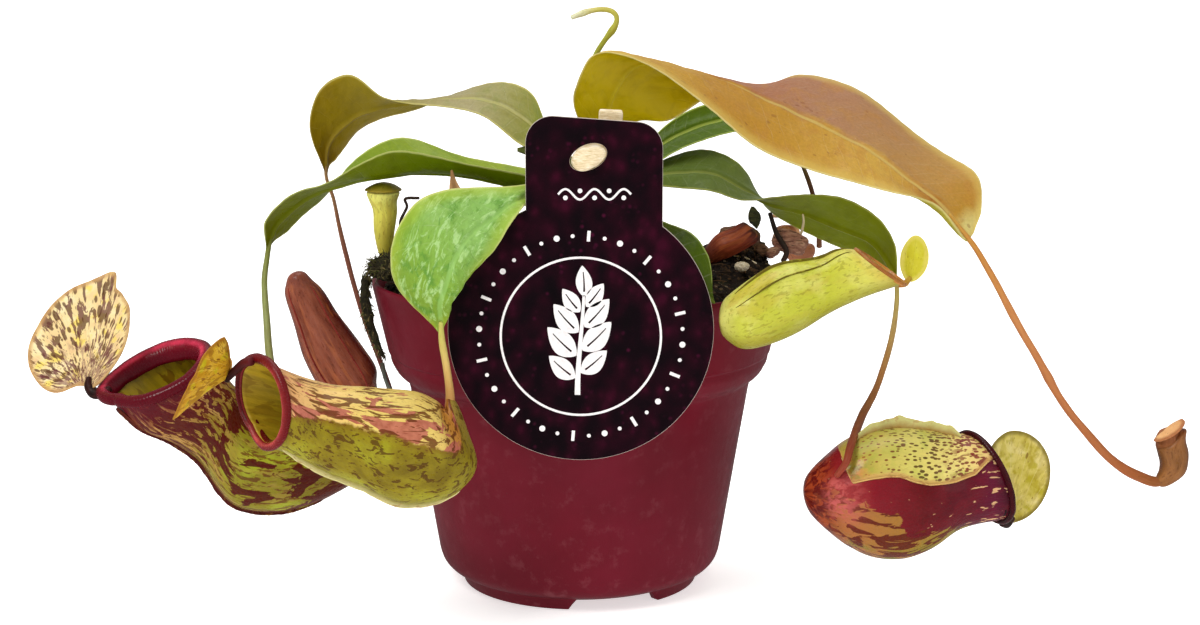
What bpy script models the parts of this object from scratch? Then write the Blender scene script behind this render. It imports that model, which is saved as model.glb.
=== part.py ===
"""Potted pitcher plant in a round nursery pot with a hanging plant tag.

Units are metres, +Z up. The origin is on the standing plane, on the axis of the pot.
-Y is the front, where the tag hangs. Control points below are in millimetres.
"""

import math

import bmesh
import bpy
from mathutils import Vector

MM = 0.001

# ---------------------------------------------------------------- pot
POT_HEIGHT = 90.0
RIM_RADIUS = 60.0
BAND_FOOT_RADIUS = 55.4
BAND_FOOT_Z = 69.0
WALL_TOP_RADIUS = 49.3
WALL_TOP_Z = 58.5
WALL_FOOT_RADIUS = 41.2
WALL_FOOT_Z = 9.5
FOOT_RADIUS = 34.2
FOOT_WIDTH = 2.4
FOOT_HEIGHT = 3.5
POT_WALL = 1.3
FLOOR_TOP_Z = 4.9
BOSS_RADIUS = 9.0
BOSS_Z = 1.5
POT_STEPS = 60
FOOT_COUNT = 3
FOOT_GAP_DEG = 42.0
FIRST_GAP_DEG = -72.0
DRAIN_COUNT = 6
DRAIN_RADIUS = 4.0
DRAIN_CIRCLE = 21.0

# ---------------------------------------------------------------- soil
SOIL_GAP = 0.4
SOIL_EDGE_Z = 86.0
SOIL_RISE = 8.5
SOIL_STEPS = 32

# ---------------------------------------------------------------- tag, stake and peg
TAG_CENTRE = (1.0, 85.6)
TAG_DISC_RADIUS = 34.7
TAG_NECK = (-13.2, 22.2)
TAG_TOP = (141.6, 140.1)
TAG_CORNER = 7.0
TAG_BACK_Y = -62.0
TAG_THICKNESS = 1.0
TAG_HOLE_CENTRE = (3.0, 131.0)
TAG_HOLE_HALF = (5.0, 3.2)
TAG_HOLE_TILT_DEG = 24.0
STAKE_WIDTH = 6.2
STAKE_THICKNESS = 2.2
STAKE_FOOT = (4.6, -44.0, 60.0)
STAKE_TOP = (8.9, -57.6, 142.6)

# ---------------------------------------------------------------- plant
BLADE_THICKNESS = 0.9
PITCHER_WALL = 1.2
LID_THICKNESS = 0.9

STEM = [(2, 4, 80), (3, 3, 100), (4, 2, 112), (5, 3, 124), (5, 5, 131)]
STEM_RADII = [4.4, 3.6, 2.9, 2.4, 1.9]

# A blade is lofted through three rails: midrib, one margin, other margin.
BLADES = {
    "leaf_upper_left": (
        (58, 66, 22),
        [
            ((-1, 7, 119), (-1, 6, 117), (0, 8, 121)),
            ((-9, 9, 127), (-11, 5, 124), (-9, 12, 131)),
            ((-16, 13, 134), (-18, 6, 128), (-14, 19, 141)),
            ((-27, 18, 139), (-28, 12, 135), (-24, 25, 144)),
            ((-39, 22, 139), (-39, 17, 137), (-37, 29, 140)),
            ((-50, 27, 138), (-51, 21, 138), (-50, 33, 135)),
            ((-60, 31, 136), (-59, 22, 140), (-60, 38, 132)),
            ((-68, 35, 133), (-68, 24, 146), (-68, 42, 128)),
            ((-75, 38, 127), (-78, 29, 141), (-73, 43, 122)),
            ((-78, 40, 121), (-82, 34, 128), (-76, 43, 118)),
            ((-78, 41, 114), (-79, 40, 115), (-77, 42, 115)),
        ],
    ),
    "leaf_mid_left": (
        (66, 100, 28),
        [
            ((0, -2, 115), (0, -4, 114), (0, -1, 117)),
            ((-8, -6, 116), (-8, -9, 118), (-7, -2, 120)),
            ((-17, -8, 117), (-16, -14, 121), (-17, 2, 121)),
            ((-30, -9, 120), (-30, -18, 124), (-34, 4, 124)),
            ((-43, -8, 121), (-42, -19, 127), (-48, 5, 129)),
            ((-54, -6, 120), (-52, -18, 128), (-57, 6, 128)),
            ((-64, -4, 118), (-61, -14, 124), (-66, 6, 122)),
            ((-74, -3, 115), (-71, -11, 118), (-74, 6, 112)),
            ((-81, -4, 111), (-81, -12, 115), (-80, 3, 107)),
            ((-87, -6, 105), (-89, -12, 107), (-85, 0, 102)),
            ((-89, -8, 98), (-90, -10, 99), (-89, -6, 98)),
        ],
    ),
    "leaf_front_left": (
        (104, 158, 62),
        [
            ((3, -3, 109), (2, -3, 110), (4, -3, 108)),
            ((0, -22, 114), (0, -21, 117), (0, -23, 112)),
            ((-6, -40, 118), (-6, -38, 121), (-6, -42, 116)),
            ((-13, -58, 120), (-13, -55, 123), (-13, -59, 118)),
            ((-17, -64, 119), (-18, -60, 123), (-14, -65, 118)),
            ((-21, -67, 116), (-25, -62, 123), (-18, -68, 113)),
            ((-27, -71, 112), (-33, -66, 123), (-21, -69, 108)),
            ((-31, -73, 106), (-41, -68, 120), (-26, -69, 103)),
            ((-33, -73, 100), (-47, -67, 111), (-30, -68, 99)),
            ((-35, -71, 94), (-48, -65, 102), (-33, -67, 95)),
            ((-35, -69, 90), (-45, -65, 94), (-34, -67, 90)),
            ((-35, -67, 85), (-36, -67, 85), (-34, -67, 85)),
        ],
    ),
    "leaf_upper_right": (
        (128, 96, 34),
        [
            ((8, 0, 122), (7, -1, 122), (9, 1, 121)),
            ((7, -10, 134), (-1, -18, 139), (15, -6, 135)),
            ((10, -16, 145), (0, -28, 148), (25, -6, 135)),
            ((17, -14, 152), (6, -30, 156), (34, -2, 140)),
            ((30, -8, 150), (23, -26, 150), (41, 8, 143)),
            ((44, -3, 145), (37, -22, 139), (52, 16, 142)),
            ((57, -2, 139), (49, -20, 129), (65, 22, 146)),
            ((70, -4, 133), (63, -20, 123), (80, 20, 143)),
            ((82, -8, 127), (78, -21, 119), (93, 14, 134)),
            ((93, -13, 119), (90, -22, 116), (106, 4, 124)),
            ((102, -17, 112), (100, -20, 113), (114, -6, 119)),
            ((109, -19, 103), (108, -20, 103), (113, -16, 107)),
        ],
    ),
    "leaf_mid_right": (
        (70, 92, 14),
        [
            ((9, 4, 112), (9, 2, 111), (9, 6, 113)),
            ((18, 9, 117), (18, 6, 115), (19, 14, 119)),
            ((30, 15, 118), (30, 10, 114), (31, 24, 123)),
            ((40, 19, 117), (39, 11, 113), (40, 29, 123)),
            ((49, 21, 112), (48, 13, 110), (49, 29, 118)),
            ((57, 22, 108), (58, 13, 111), (56, 30, 106)),
            ((68, 21, 105), (68, 10, 112), (65, 28, 100)),
            ((78, 18, 101), (78, 8, 111), (74, 26, 96)),
            ((86, 14, 98), (88, 6, 105), (82, 22, 93)),
            ((91, 10, 92), (93, 5, 96), (89, 15, 90)),
            ((93, 7, 87), (94, 6, 88), (92, 8, 88)),
        ],
    ),
    "leaf_small_back": (
        (84, 128, 22),
        [
            ((8, 7, 117), (8, 6, 116), (8, 8, 118)),
            ((17, 14, 121), (18, 10, 119), (17, 18, 123)),
            ((27, 24, 127), (30, 17, 125), (26, 28, 131)),
            ((39, 32, 131), (41, 24, 128), (37, 36, 136)),
            ((51, 36, 132), (52, 29, 129), (50, 41, 136)),
            ((61, 36, 127), (61, 32, 125), (61, 40, 131)),
            ((67, 33, 119), (66, 32, 120), (67, 34, 120)),
        ],
    ),
    "leaf_small_right": (
        (42, 78, 24),
        [
            ((6, -2, 107), (7, -2, 108), (5, -2, 106)),
            ((14, -30, 110), (15, -28, 112), (13, -31, 107)),
            ((22, -48, 108), (25, -45, 111), (20, -50, 104)),
            ((28, -55, 104), (31, -52, 109), (24, -57, 100)),
            ((32, -57, 98), (35, -55, 103), (28, -59, 96)),
            ((34, -58, 94), (37, -56, 97), (32, -59, 93)),
            ((36, -58, 92), (37, -58, 92), (35, -59, 92)),
        ],
    ),
    "leaf_stub": (
        (46, 62, 24),
        [
            ((1, 0, 122), (1, -1, 121), (1, 1, 123)),
            ((-6, -7, 124), (-6, -8, 122), (-6, -6, 126)),
            ((-13, -13, 127), (-13, -14, 125), (-13, -12, 130)),
            ((-17, -16, 128), (-17, -17, 126), (-17, -15, 130)),
        ],
    ),
    "dry_leaf_tip": (
        (168, 132, 92),
        [
            ((-2, -3, 105), (-2, -3, 104), (-2, -3, 106)),
            ((-20, -20, 107), (-20, -20, 105), (-20, -21, 109)),
            ((-31, -25, 113), (-33, -25, 111), (-29, -25, 114)),
            ((-34, -24, 118), (-36, -24, 117), (-32, -24, 118)),
            ((-35, -23, 123), (-36, -23, 123), (-34, -23, 123)),
        ],
    ),
}

# Tendrils: spline points and the radius at each end.
TENDRILS = {
    "tendril_upper_left": (
        (112, 70, 48),
        (0.75, 0.85),
        [(-78, 41, 113), (-76, 41, 107), (-74, 40, 97), (-70, 38, 81), (-66, 34, 69),
         (-61, 28, 58), (-57, 22, 48), (-56, 18, 43)],
    ),
    "tendril_mid_left": (
        (100, 112, 48),
        (1.1, 0.9),
        [(-89, -9, 96), (-89.4, -12, 90), (-88.3, -17, 80), (-86.5, -24, 70), (-83, -33, 59),
         (-74, -38, 48), (-63, -34, 41), (-56, -26, 41), (-55, -21, 42)],
    ),
    "tendril_front_left": (
        (170, 160, 78),
        (1.0, 1.3),
        [(-35, -67, 84), (-34, -66, 77), (-33, -67, 70)],
    ),
    "tendril_upper_right": (
        (176, 104, 62),
        (1.1, 1.6),
        [(111, -19, 101), (117, -20, 91), (123, -21, 80), (129, -22, 70), (136, -23, 58),
         (144, -23, 48), (153, -22, 39), (163, -22, 34)],
    ),
    "tendril_mid_right": (
        (176, 116, 70),
        (0.9, 1.3),
        [(93, 6, 86), (92.4, 2, 79), (89.5, -8, 71), (84.3, -20, 61), (79, -30, 55),
         (74, -46, 50), (70, -52, 42), (68, -53, 37)],
    ),
    "tendril_small_back": (
        (96, 62, 44),
        (0.7, 0.9),
        [(67, 34, 119), (70, 36, 112), (72, 37, 105), (73, 36, 98), (73, 34, 93)],
    ),
    "tendril_small_yellow": (
        (110, 96, 40),
        (0.9, 0.9),
        [(-1, 3, 101), (-18, 4, 99), (-38, 3, 96), (-51, 1, 93), (-55, 0, 93)],
    ),
    "young_hook": (
        (92, 122, 40),
        (1.15, 0.75),
        [(5, 5, 132), (4, 4, 142), (4, 2, 151), (7, 1, 157), (10, 0, 161), (11, 0, 164),
         (9, 0, 166), (4, 0, 166), (-2, -1, 164)],
    ),
}

# Open pitchers: base point, then sections as lower point, upper point and side half-vector.
OPEN_PITCHERS = {
    "pitcher_far_left": (
        (118, 112, 40),
        4.6,
        (-56, -19, 42),
        [
            ((-59, -19, 38), (-61, -19, 46), (0, 4, 0)),
            ((-65, -21, 33), (-68, -21, 49), (0, 8, 0)),
            ((-78, -23, 27), (-80, -23, 50), (0, 11, 0)),
            ((-90, -24, 26), (-89, -24, 51), (0, 12, 0)),
            ((-99, -25, 30), (-94, -25, 56), (0, 12, 1)),
            ((-106.4, -26, 41.6), (-96, -26, 61), (0, 11, 1)),
            ((-114, -27, 48), (-99, -27, 65), (0, 11, 2)),
            ((-123, -28, 53), (-101, -28, 69), (0, 10, 4)),
            ((-132.4, -29, 62.3), (-104, -29, 72), (1, 9, 5)),
        ],
    ),
    "pitcher_front_left": (
        (150, 150, 62),
        5.0,
        (-33, -67, 69),
        [
            ((-31, -67, 67), (-34, -67, 68), (0, 2, 0)),
            ((-28, -68, 59), (-34, -68, 66), (0, 4, 0)),
            ((-26, -69, 51), (-35, -69, 66), (0, 7, 0)),
            ((-30, -70, 45), (-36, -70, 68), (0, 10, 0)),
            ((-37, -71, 42), (-41, -71, 71), (0, 11, 0)),
            ((-46, -72, 42), (-49, -72, 72), (0, 12, 0)),
            ((-55, -74, 47), (-56, -74, 73), (0, 11, 0)),
            ((-64, -75, 51), (-64, -75, 74), (0, 10, 0)),
            ((-73, -77, 56), (-72, -77, 77), (-3, 10, 0)),
            ((-80, -79, 59), (-80, -79, 81), (-7, 8, 0)),
        ],
    ),
    "pitcher_rim": (
        (176, 178, 60),
        1.6,
        (37, -60, 88),
        [
            ((39, -60, 83), (39, -60, 93), (0, 4, 0)),
            ((44, -60, 80), (43, -60, 97), (0, 8, 0)),
            ((56, -57, 83), (52, -57, 102), (0, 9, 0)),
            ((67, -54, 89), (63, -54, 103), (0, 8, 0)),
            ((77, -52, 93), (69, -52, 105), (0, 7, 0)),
            ((87, -50, 96), (74, -50, 105), (0, 7, 0)),
        ],
    ),
    "pitcher_lower_right": (
        (112, 28, 40),
        1.6,
        (62, -38, 35),
        [
            ((66, -38, 28), (65, -38, 40), (0, 6, 0)),
            ((72, -38, 22), (70, -38, 47), (0, 11, 0)),
            ((81, -37, 17), (79, -37, 52), (0, 14, 0)),
            ((90, -36, 16), (89, -36, 53), (0, 14, 0)),
            ((98, -36, 19), (98, -36, 52), (0, 13, 0)),
            ((105, -35, 24), (104, -35, 51), (-1, 12, 0)),
            ((111, -35, 26), (106, -35, 51), (-3, 11, 0)),
            ((116.9, -35, 26.8), (109, -35, 51), (-5, 10, 0)),
        ],
    ),
}

# Closed pitchers: base point, sections as lower point, upper point and side radius, end point.
CLOSED_PITCHERS = {
    "pitcher_red": (
        (104, 34, 36),
        (-58, 14, 42),
        [
            ((-61, 14, 42), (-60, 14, 48), 3),
            ((-67, 14, 44), (-61, 14, 54), 5),
            ((-76, 13, 51), (-61, 13, 60), 7),
            ((-82, 12, 62), (-66, 12, 68), 7),
            ((-85, 10, 75), (-72, 10, 77), 6),
            ((-87, 9, 83), (-76, 9, 84), 5),
            ((-86, 8, 87), (-80, 8, 88), 3),
        ],
        (-83, 8, 90),
    ),
    "pitcher_young": (
        (122, 78, 34),
        (164, -22, 34),
        [
            ((167, -22, 32), (166, -22, 37), 2),
            ((172, -22, 36), (165, -22, 40), 4),
            ((173, -22, 42), (164, -22, 43), 4),
            ((172, -22, 46), (164, -22, 44), 4),
            ((172, -22, 49), (167, -22, 46), 3),
        ],
        (170, -22, 49),
    ),
    "pitcher_small_yellow": (
        (206, 190, 88),
        (-56, 0, 94),
        [
            ((-58, -2, 97), (-54, -2, 97), 2),
            ((-59, -3, 103), (-53, -3, 103), 3),
            ((-59, -4, 109), (-52, -4, 109), 3),
            ((-60, -4, 112), (-52, -4, 112), 4),
            ((-61, -4, 114.6), (-51, -4, 114.6), 4.6),
        ],
        (-56, -4, 115.3),
    ),
    "pitcher_small_back": (
        (170, 110, 80),
        (72, 34, 92),
        [
            ((70, 34, 89), (70, 34, 94), 2),
            ((65, 34, 88), (67, 34, 94), 2),
            ((61, 34, 93), (67, 34, 95), 3),
            ((59, 34, 98), (67, 34, 98), 3),
        ],
        (63, 34, 100),
    ),
    "dry_pitcher": (
        (112, 44, 22),
        (36, -4, 95),
        [
            ((38, -4, 94), (36, -4, 98), 2),
            ((43, -4, 96), (39, -4, 102), 4),
            ((49, -4, 99), (44, -4, 104), 4),
            ((52, -4, 101), (47, -4, 106), 3),
        ],
        (50, -4, 104),
    ),
}

# Lids: hinge point, tip point, half-widths to either side as vectors, dome height and outline.
LIDS = {
    "lid_far_left": (
        (222, 196, 130),
        (-137, -27, 64), (-130, -23, 95), (9.5, -6, 2), (-20.5, 1, -3), 2.0, "heart"),
    "lid_front_left": (
        (206, 170, 50),
        (-89, -73, 76), (-102, -84, 66.5), (0, -8, 10), (-1, 8, 5), 0.5, "folded"),
    "lid_rim": (
        (204, 200, 44),
        (88.9, -46.4, 95.8), (90.6, -45.4, 108.0), (3.3, -1.5, -0.3), (-3.0, 1.6, 0.3), 1.0, "round"),
    "lid_lower_right": (
        (150, 148, 58),
        (122.6, -27, 23.2), (122.8, -22, 48.6), (11.8, 5, 0), (-8.5, -3.6, 0), 1.5, "round"),
    "lid_small_yellow": (
        (128, 118, 20),
        (-56, 2, 115), (-56, -9, 115), (5, 0, 0), (-5, 0, 0), 2.0, "round"),
    "lid_small_back": (
        (196, 158, 110),
        (66, 34, 101), (58, 33, 102), (0, -4, 1), (0, 4, 1), 1.0, "round"),
    "lid_young": (
        (204, 158, 102),
        (171, -22, 52), (163, -23, 46), (1, -4, 0), (1, 4, 0), 0.6, "round"),
}

# Outlines of lids, round the middle of the hinge and the tip: across (1 is a half-width, with its
# sign), along (-1 is the hinge, 1 the tip). The first side is positive.
OUTLINES = {
    "round": [
        (0.0, 1.0), (0.71, 0.71), (1.0, 0.0), (0.71, -0.71), (0.0, -0.98), (-0.71, -0.71), (-1.0, 0.0), (-0.71, 0.71),
    ],
    "heart": [
        (0.0, 0.97), (0.20, 0.86), (0.27, 0.66), (0.64, 0.44), (0.92, 0.18), (1.03, -0.08), (1.03, -0.33), (0.91, -0.55),
        (0.72, -0.77), (0.52, -0.94), (0.31, -1.08), (0.10, -1.12), (-0.05, -1.04), (-0.19, -1.02), (-0.30, -1.10),
        (-0.44, -1.12), (-0.61, -1.02), (-0.75, -0.85), (-0.87, -0.63), (-0.94, -0.37), (-0.95, -0.08), (-0.89, 0.16),
        (-0.81, 0.41), (-0.69, 0.62), (-0.53, 0.77), (-0.30, 0.85), (-0.12, 0.92),
    ],
    "folded": [
        (0.0, 1.02), (0.12, 0.84), (0.26, 0.70), (0.36, 0.56), (0.50, 0.35), (0.74, 0.02), (1.05, -0.31), (1.12, -0.70),
        (1.12, -1.10), (0.45, -1.12), (0.0, -1.0), (-0.40, -1.05), (-0.85, -0.90), (-0.98, -0.50), (-0.85, -0.20),
        (-0.62, 0.05), (-0.42, 0.40), (-0.20, 0.74),
    ],
}


# ---------------------------------------------------------------- helpers
def material(name, colour, roughness, metallic=0.0):
    made = bpy.data.materials.new(name)
    made.use_nodes = True
    shader = made.node_tree.nodes["Principled BSDF"]
    linear = [(c / 255.0) ** 2.2 for c in colour]
    shader.inputs["Base Color"].default_value = (*linear, 1.0)
    shader.inputs["Roughness"].default_value = roughness
    shader.inputs["Metallic"].default_value = metallic
    return made


def solid(name, points, faces, finish, smooth=True):
    """A closed object from points in mm and faces, its faces turned outward."""
    mesh = bpy.data.meshes.new(name)
    bm = bmesh.new()
    verts = [bm.verts.new(Vector(p) * MM) for p in points]
    for face in faces:
        bm.faces.new([verts[i] for i in face])
    bmesh.ops.recalc_face_normals(bm, faces=bm.faces)
    bm.to_mesh(mesh)
    bm.free()
    made = bpy.data.objects.new(name, mesh)
    bpy.context.scene.collection.objects.link(made)
    mesh.materials.append(finish)
    if smooth:
        mesh.shade_smooth()
    return made


def spline(points, t):
    """Catmull-Rom through the points; t runs from 0 to len(points) - 1."""
    last = len(points) - 1
    i = min(int(t), last - 1)
    f = t - i
    p1, p2 = Vector(points[i]), Vector(points[i + 1])
    p0 = Vector(points[i - 1]) if i > 0 else 2 * p1 - p2
    p3 = Vector(points[i + 2]) if i + 2 <= last else 2 * p2 - p1
    return 0.5 * (
        2 * p1
        + (p2 - p0) * f
        + (2 * p0 - 5 * p1 + 4 * p2 - p3) * f * f
        + (3 * p1 - p0 - 3 * p2 + p3) * f * f * f
    )


def skin(rings, closed_ends=True):
    """Faces that join rings of equal count, with a cap polygon on either end."""
    n = len(rings[0])
    faces = []
    for a, b in zip(rings[:-1], rings[1:]):
        faces += [(a[k], a[(k + 1) % n], b[(k + 1) % n], b[k]) for k in range(n)]
    if closed_ends:
        faces += [tuple(reversed(rings[0])), tuple(rings[-1])]
    return faces


def sheet(name, grid, thickness, finish):
    """A closed shell of even thickness about a grid of points."""
    rows, cols = len(grid), len(grid[0])
    points, faces = [], []
    for side in (0.5, -0.5):
        for i in range(rows):
            for j in range(cols):
                along = grid[min(i + 1, rows - 1)][j] - grid[max(i - 1, 0)][j]
                across = grid[i][min(j + 1, cols - 1)] - grid[i][max(j - 1, 0)]
                normal = along.cross(across).normalized()
                points.append(grid[i][j] + normal * thickness * side)
    half = rows * cols
    for i in range(rows - 1):
        for j in range(cols - 1):
            a = i * cols + j
            faces.append((a, a + 1, a + cols + 1, a + cols))
            faces.append(tuple(half + k for k in (a, a + cols, a + cols + 1, a + 1)))
    border = [j for j in range(cols)]
    border += [i * cols + cols - 1 for i in range(1, rows)]
    border += [(rows - 1) * cols + j for j in range(cols - 2, -1, -1)]
    border += [i * cols for i in range(rows - 2, 0, -1)]
    for a, b in zip(border, border[1:] + border[:1]):
        faces.append((a, b, half + b, half + a))
    return solid(name, points, faces, finish)


def blade(name, colour, stations, rows_per_span=1.6, cols=5):
    """A leaf blade lofted through midrib and margins, curved across its width."""
    mid = [s[0] for s in stations]
    near = [s[1] for s in stations]
    far = [s[2] for s in stations]
    rows = max(6, int(round((len(stations) - 1) * rows_per_span)) + 1)
    grid = []
    for i in range(rows):
        t = (len(stations) - 1) * i / (rows - 1)
        m, a, b = spline(mid, t), spline(near, t), spline(far, t)
        row = []
        for j in range(cols):
            s = 2.0 * j / (cols - 1) - 1.0
            row.append(m + (b - a) * (0.5 * s) + ((a + b) * 0.5 - m) * (s * s))
        grid.append(row)
    return sheet(name, grid, BLADE_THICKNESS, material(name, colour, 0.42))


def tube(name, colour, radii, points, sides=6, spans=1.7, roughness=0.45):
    """A tapered stalk round a spline, with flat ends."""
    count = max(4, int(round((len(points) - 1) * spans)) + 1)
    path = [spline(points, (len(points) - 1) * i / (count - 1)) for i in range(count)]
    stalk_points, rings = [], []
    previous = None
    for i, p in enumerate(path):
        tangent = (path[min(i + 1, count - 1)] - path[max(i - 1, 0)]).normalized()
        if previous is None:
            helper = Vector((0, 1, 0)) if abs(tangent.y) < 0.8 else Vector((1, 0, 0))
            previous = (helper - tangent * helper.dot(tangent)).normalized()
        else:
            previous = (previous - tangent * previous.dot(tangent)).normalized()
        other = tangent.cross(previous)
        s = i / (count - 1) * (len(radii) - 1)
        k = min(int(s), len(radii) - 2)
        radius = radii[k] + (radii[k + 1] - radii[k]) * (s - k)
        ring = []
        for a in range(sides):
            angle = math.tau * a / sides
            ring.append(len(stalk_points))
            stalk_points.append(
                p + (previous * math.cos(angle) + other * math.sin(angle)) * radius
            )
        rings.append(ring)
    return solid(name, stalk_points, skin(rings), material(name, colour, roughness))


class Body:
    """Points and rings gathered for a turned or lofted solid."""

    def __init__(self):
        self.points, self.faces, self.last = [], [], None

    def pole(self, point):
        self.points.append(point)
        index = len(self.points) - 1
        if self.last is not None:
            n = len(self.last)
            self.faces += [(self.last[k], self.last[(k + 1) % n], index) for k in range(n)]
        self.last = index

    def ring(self, ring_points):
        n = len(ring_points)
        start = len(self.points)
        self.points += ring_points
        ring = list(range(start, start + n))
        if isinstance(self.last, int):
            self.faces += [(self.last, ring[(k + 1) % n], ring[k]) for k in range(n)]
        elif self.last is not None:
            self.faces += [
                (self.last[k], self.last[(k + 1) % n], ring[(k + 1) % n], ring[k])
                for k in range(n)
            ]
        self.last = ring


def ellipse(lower, upper, side, steps, shrink=0.0):
    centre = (lower + upper) * 0.5
    up = (upper - lower) * 0.5
    up = up * max(0.05, 1.0 - shrink / up.length)
    out = side * max(0.05, 1.0 - shrink / side.length)
    return [
        centre + up * math.cos(math.tau * k / steps) + out * math.sin(math.tau * k / steps)
        for k in range(steps)
    ]


def open_pitcher(name, colour, cavity_start, base, sections, steps=18):
    """A hollow trap: outer skin from the base to the mouth, rolled lip, cavity wall."""
    low = [s[0] for s in sections]
    top = [s[1] for s in sections]
    side = [s[2] for s in sections]
    last = len(sections) - 1
    body = Body()
    body.pole(Vector(base))
    rows = int(round(last * 1.3)) + 1
    for i in range(rows):
        t = last * i / (rows - 1)
        if i == rows - 1:
            t = last - 0.22
        body.ring(ellipse(spline(low, t), spline(top, t), spline(side, t), steps))
    lower, upper, out = Vector(low[-1]), Vector(top[-1]), Vector(side[-1])
    centre = (lower + upper) * 0.5
    mouth = ellipse(lower, upper, out, steps)
    normal = (upper - lower).cross(out).normalized()
    before = (Vector(low[-2]) + Vector(top[-2])) * 0.5
    if normal.dot(centre - before) < 0:
        normal = -normal
    for radial, axial in ((0.9, -0.7), (1.0, 0.4), (-0.2, 0.8), (-1.2, 0.1)):
        body.ring([p + (p - centre).normalized() * radial + normal * axial for p in mouth])
    inner_rows = max(4, int(round((last - cavity_start) * 1.3)) + 1)
    for i in range(inner_rows):
        t = (last - 0.3) + (cavity_start - (last - 0.3)) * i / (inner_rows - 1)
        body.ring(
            ellipse(
                spline(low, t), spline(top, t), spline(side, t), steps, PITCHER_WALL
            )
        )
    end = (spline(low, cavity_start) + spline(top, cavity_start)) * 0.5
    deeper = (
        spline(low, max(0.0, cavity_start - 0.6)) + spline(top, max(0.0, cavity_start - 0.6))
    ) * 0.5
    body.pole(end + (deeper - end) * 0.6)
    return solid(name, body.points, body.faces, material(name, colour, 0.3))


def closed_pitcher(name, colour, base, sections, tip, steps=10):
    """A trap that hasn't opened, or one too small or dry to be hollow."""
    low = [s[0] for s in sections]
    top = [s[1] for s in sections]
    wide = [(s[2], 0, 0) for s in sections]
    last = len(sections) - 1
    body = Body()
    body.pole(Vector(base))
    rows = int(round(last * 1.6)) + 1
    for i in range(rows):
        t = last * i / (rows - 1)
        lower, upper = spline(low, t), spline(top, t)
        body.ring(ellipse(lower, upper, Vector((0, spline(wide, t).x, 0)), steps))
    body.pole(Vector(tip))
    return solid(name, body.points, body.faces, material(name, colour, 0.35))


def reach_of(outline, angle):
    """How far an outline lies from its middle at an angle, which is 0 at the tip."""
    stops = sorted((math.atan2(x, y) % math.tau, math.hypot(x, y)) for x, y in outline)
    stops = [(stops[-1][0] - math.tau, stops[-1][1])] + stops + [(stops[0][0] + math.tau, stops[0][1])]
    angle %= math.tau
    for (a0, r0), (a1, r1) in zip(stops[:-1], stops[1:]):
        if angle <= a1:
            return r0 + (r1 - r0) * (angle - a0) / (a1 - a0)
    return stops[-1][1]


def lid(name, colour, hinge, tip, side_a, side_b, dome, outline, rows=9, cols=9):
    """A domed lid. Its grid is a square laid over a disc, which then follows the outline."""
    hinge, tip = Vector(hinge), Vector(tip)
    side_a, side_b = Vector(side_a), Vector(side_b)
    axis = tip - hinge
    normal = axis.cross(side_a - side_b).normalized()
    grid = []
    for i in range(rows):
        v = 2.0 * i / (rows - 1) - 1.0
        row = []
        for j in range(cols):
            u = 2.0 * j / (cols - 1) - 1.0
            x, y = u * math.sqrt(1 - v * v / 2), v * math.sqrt(1 - u * u / 2)
            reach = reach_of(OUTLINES[outline], math.atan2(x, y))
            crown = dome * (1.0 - min(1.0, x * x + y * y) ** 1.2)
            x, y = x * reach, y * reach
            side = side_a if x > 0 else side_b
            row.append(hinge + axis * (0.5 + 0.5 * y) + side * abs(x) + normal * crown)
        grid.append(row)
    return sheet(name, grid, LID_THICKNESS, material(name, colour, 0.4))


def lumps(x, y, z=0.0):
    """A smooth unevenness between about -1 and 1."""
    return (
        math.sin(0.31 * x + 1.3 * math.sin(0.17 * y + 0.4))
        + math.sin(0.43 * y - 0.9 + 1.1 * math.sin(0.23 * x))
        + math.sin(0.52 * z + 0.27 * x - 0.33 * y)
    ) / 3.0


def blob(name, colour, centre, half, rings=7, steps=10, rough=0.16, roughness=0.9):
    """A lumpy closed clump."""
    body = Body()
    centre = Vector(centre)
    for i in range(rings + 1):
        polar = math.pi * i / rings
        if i in (0, rings):
            body.pole(centre + Vector((0, 0, half[2] * math.cos(polar))))
            continue
        ring = []
        for k in range(steps):
            angle = math.tau * k / steps
            d = Vector(
                (
                    math.sin(polar) * math.cos(angle),
                    math.sin(polar) * math.sin(angle),
                    math.cos(polar),
                )
            )
            p = Vector((d.x * half[0], d.y * half[1], d.z * half[2]))
            swell = 1.0 + rough * lumps(
                3.1 * (p.x + centre.x), 3.1 * (p.y + centre.y), 3.1 * p.z
            )
            ring.append(centre + p * swell)
        body.ring(ring)
    return solid(name, body.points, body.faces, material(name, colour, roughness))


def cutter(name, points, faces):
    made = solid(name, points, faces, material(name, (128, 128, 128), 0.5), False)
    made.hide_render = True
    made.display_type = "WIRE"
    return made


def cut(target, tool):
    modifier = target.modifiers.new(tool.name, "BOOLEAN")
    modifier.operation = "DIFFERENCE"
    modifier.solver = "EXACT"
    modifier.object = tool


def prism(outline, axis_point):
    """Points and faces of a prism; axis_point(u, v, side) gives the point of either end."""
    n = len(outline)
    points = [axis_point(u, v, 0) for u, v in outline] + [
        axis_point(u, v, 1) for u, v in outline
    ]
    faces = [tuple(range(n - 1, -1, -1)), tuple(range(n, 2 * n))]
    faces += [(k, (k + 1) % n, n + (k + 1) % n, n + k) for k in range(n)]
    return points, faces


# ---------------------------------------------------------------- pot
def in_foot_gap(degrees):
    """How far into a gap of the foot ring an angle lies: 0 on a foot, 1 in a gap."""
    spacing = 360.0 / FOOT_COUNT
    offset = (degrees - FIRST_GAP_DEG + spacing / 2) % spacing - spacing / 2
    return 1.0 if abs(offset) < FOOT_GAP_DEG / 2 else 0.0


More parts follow.
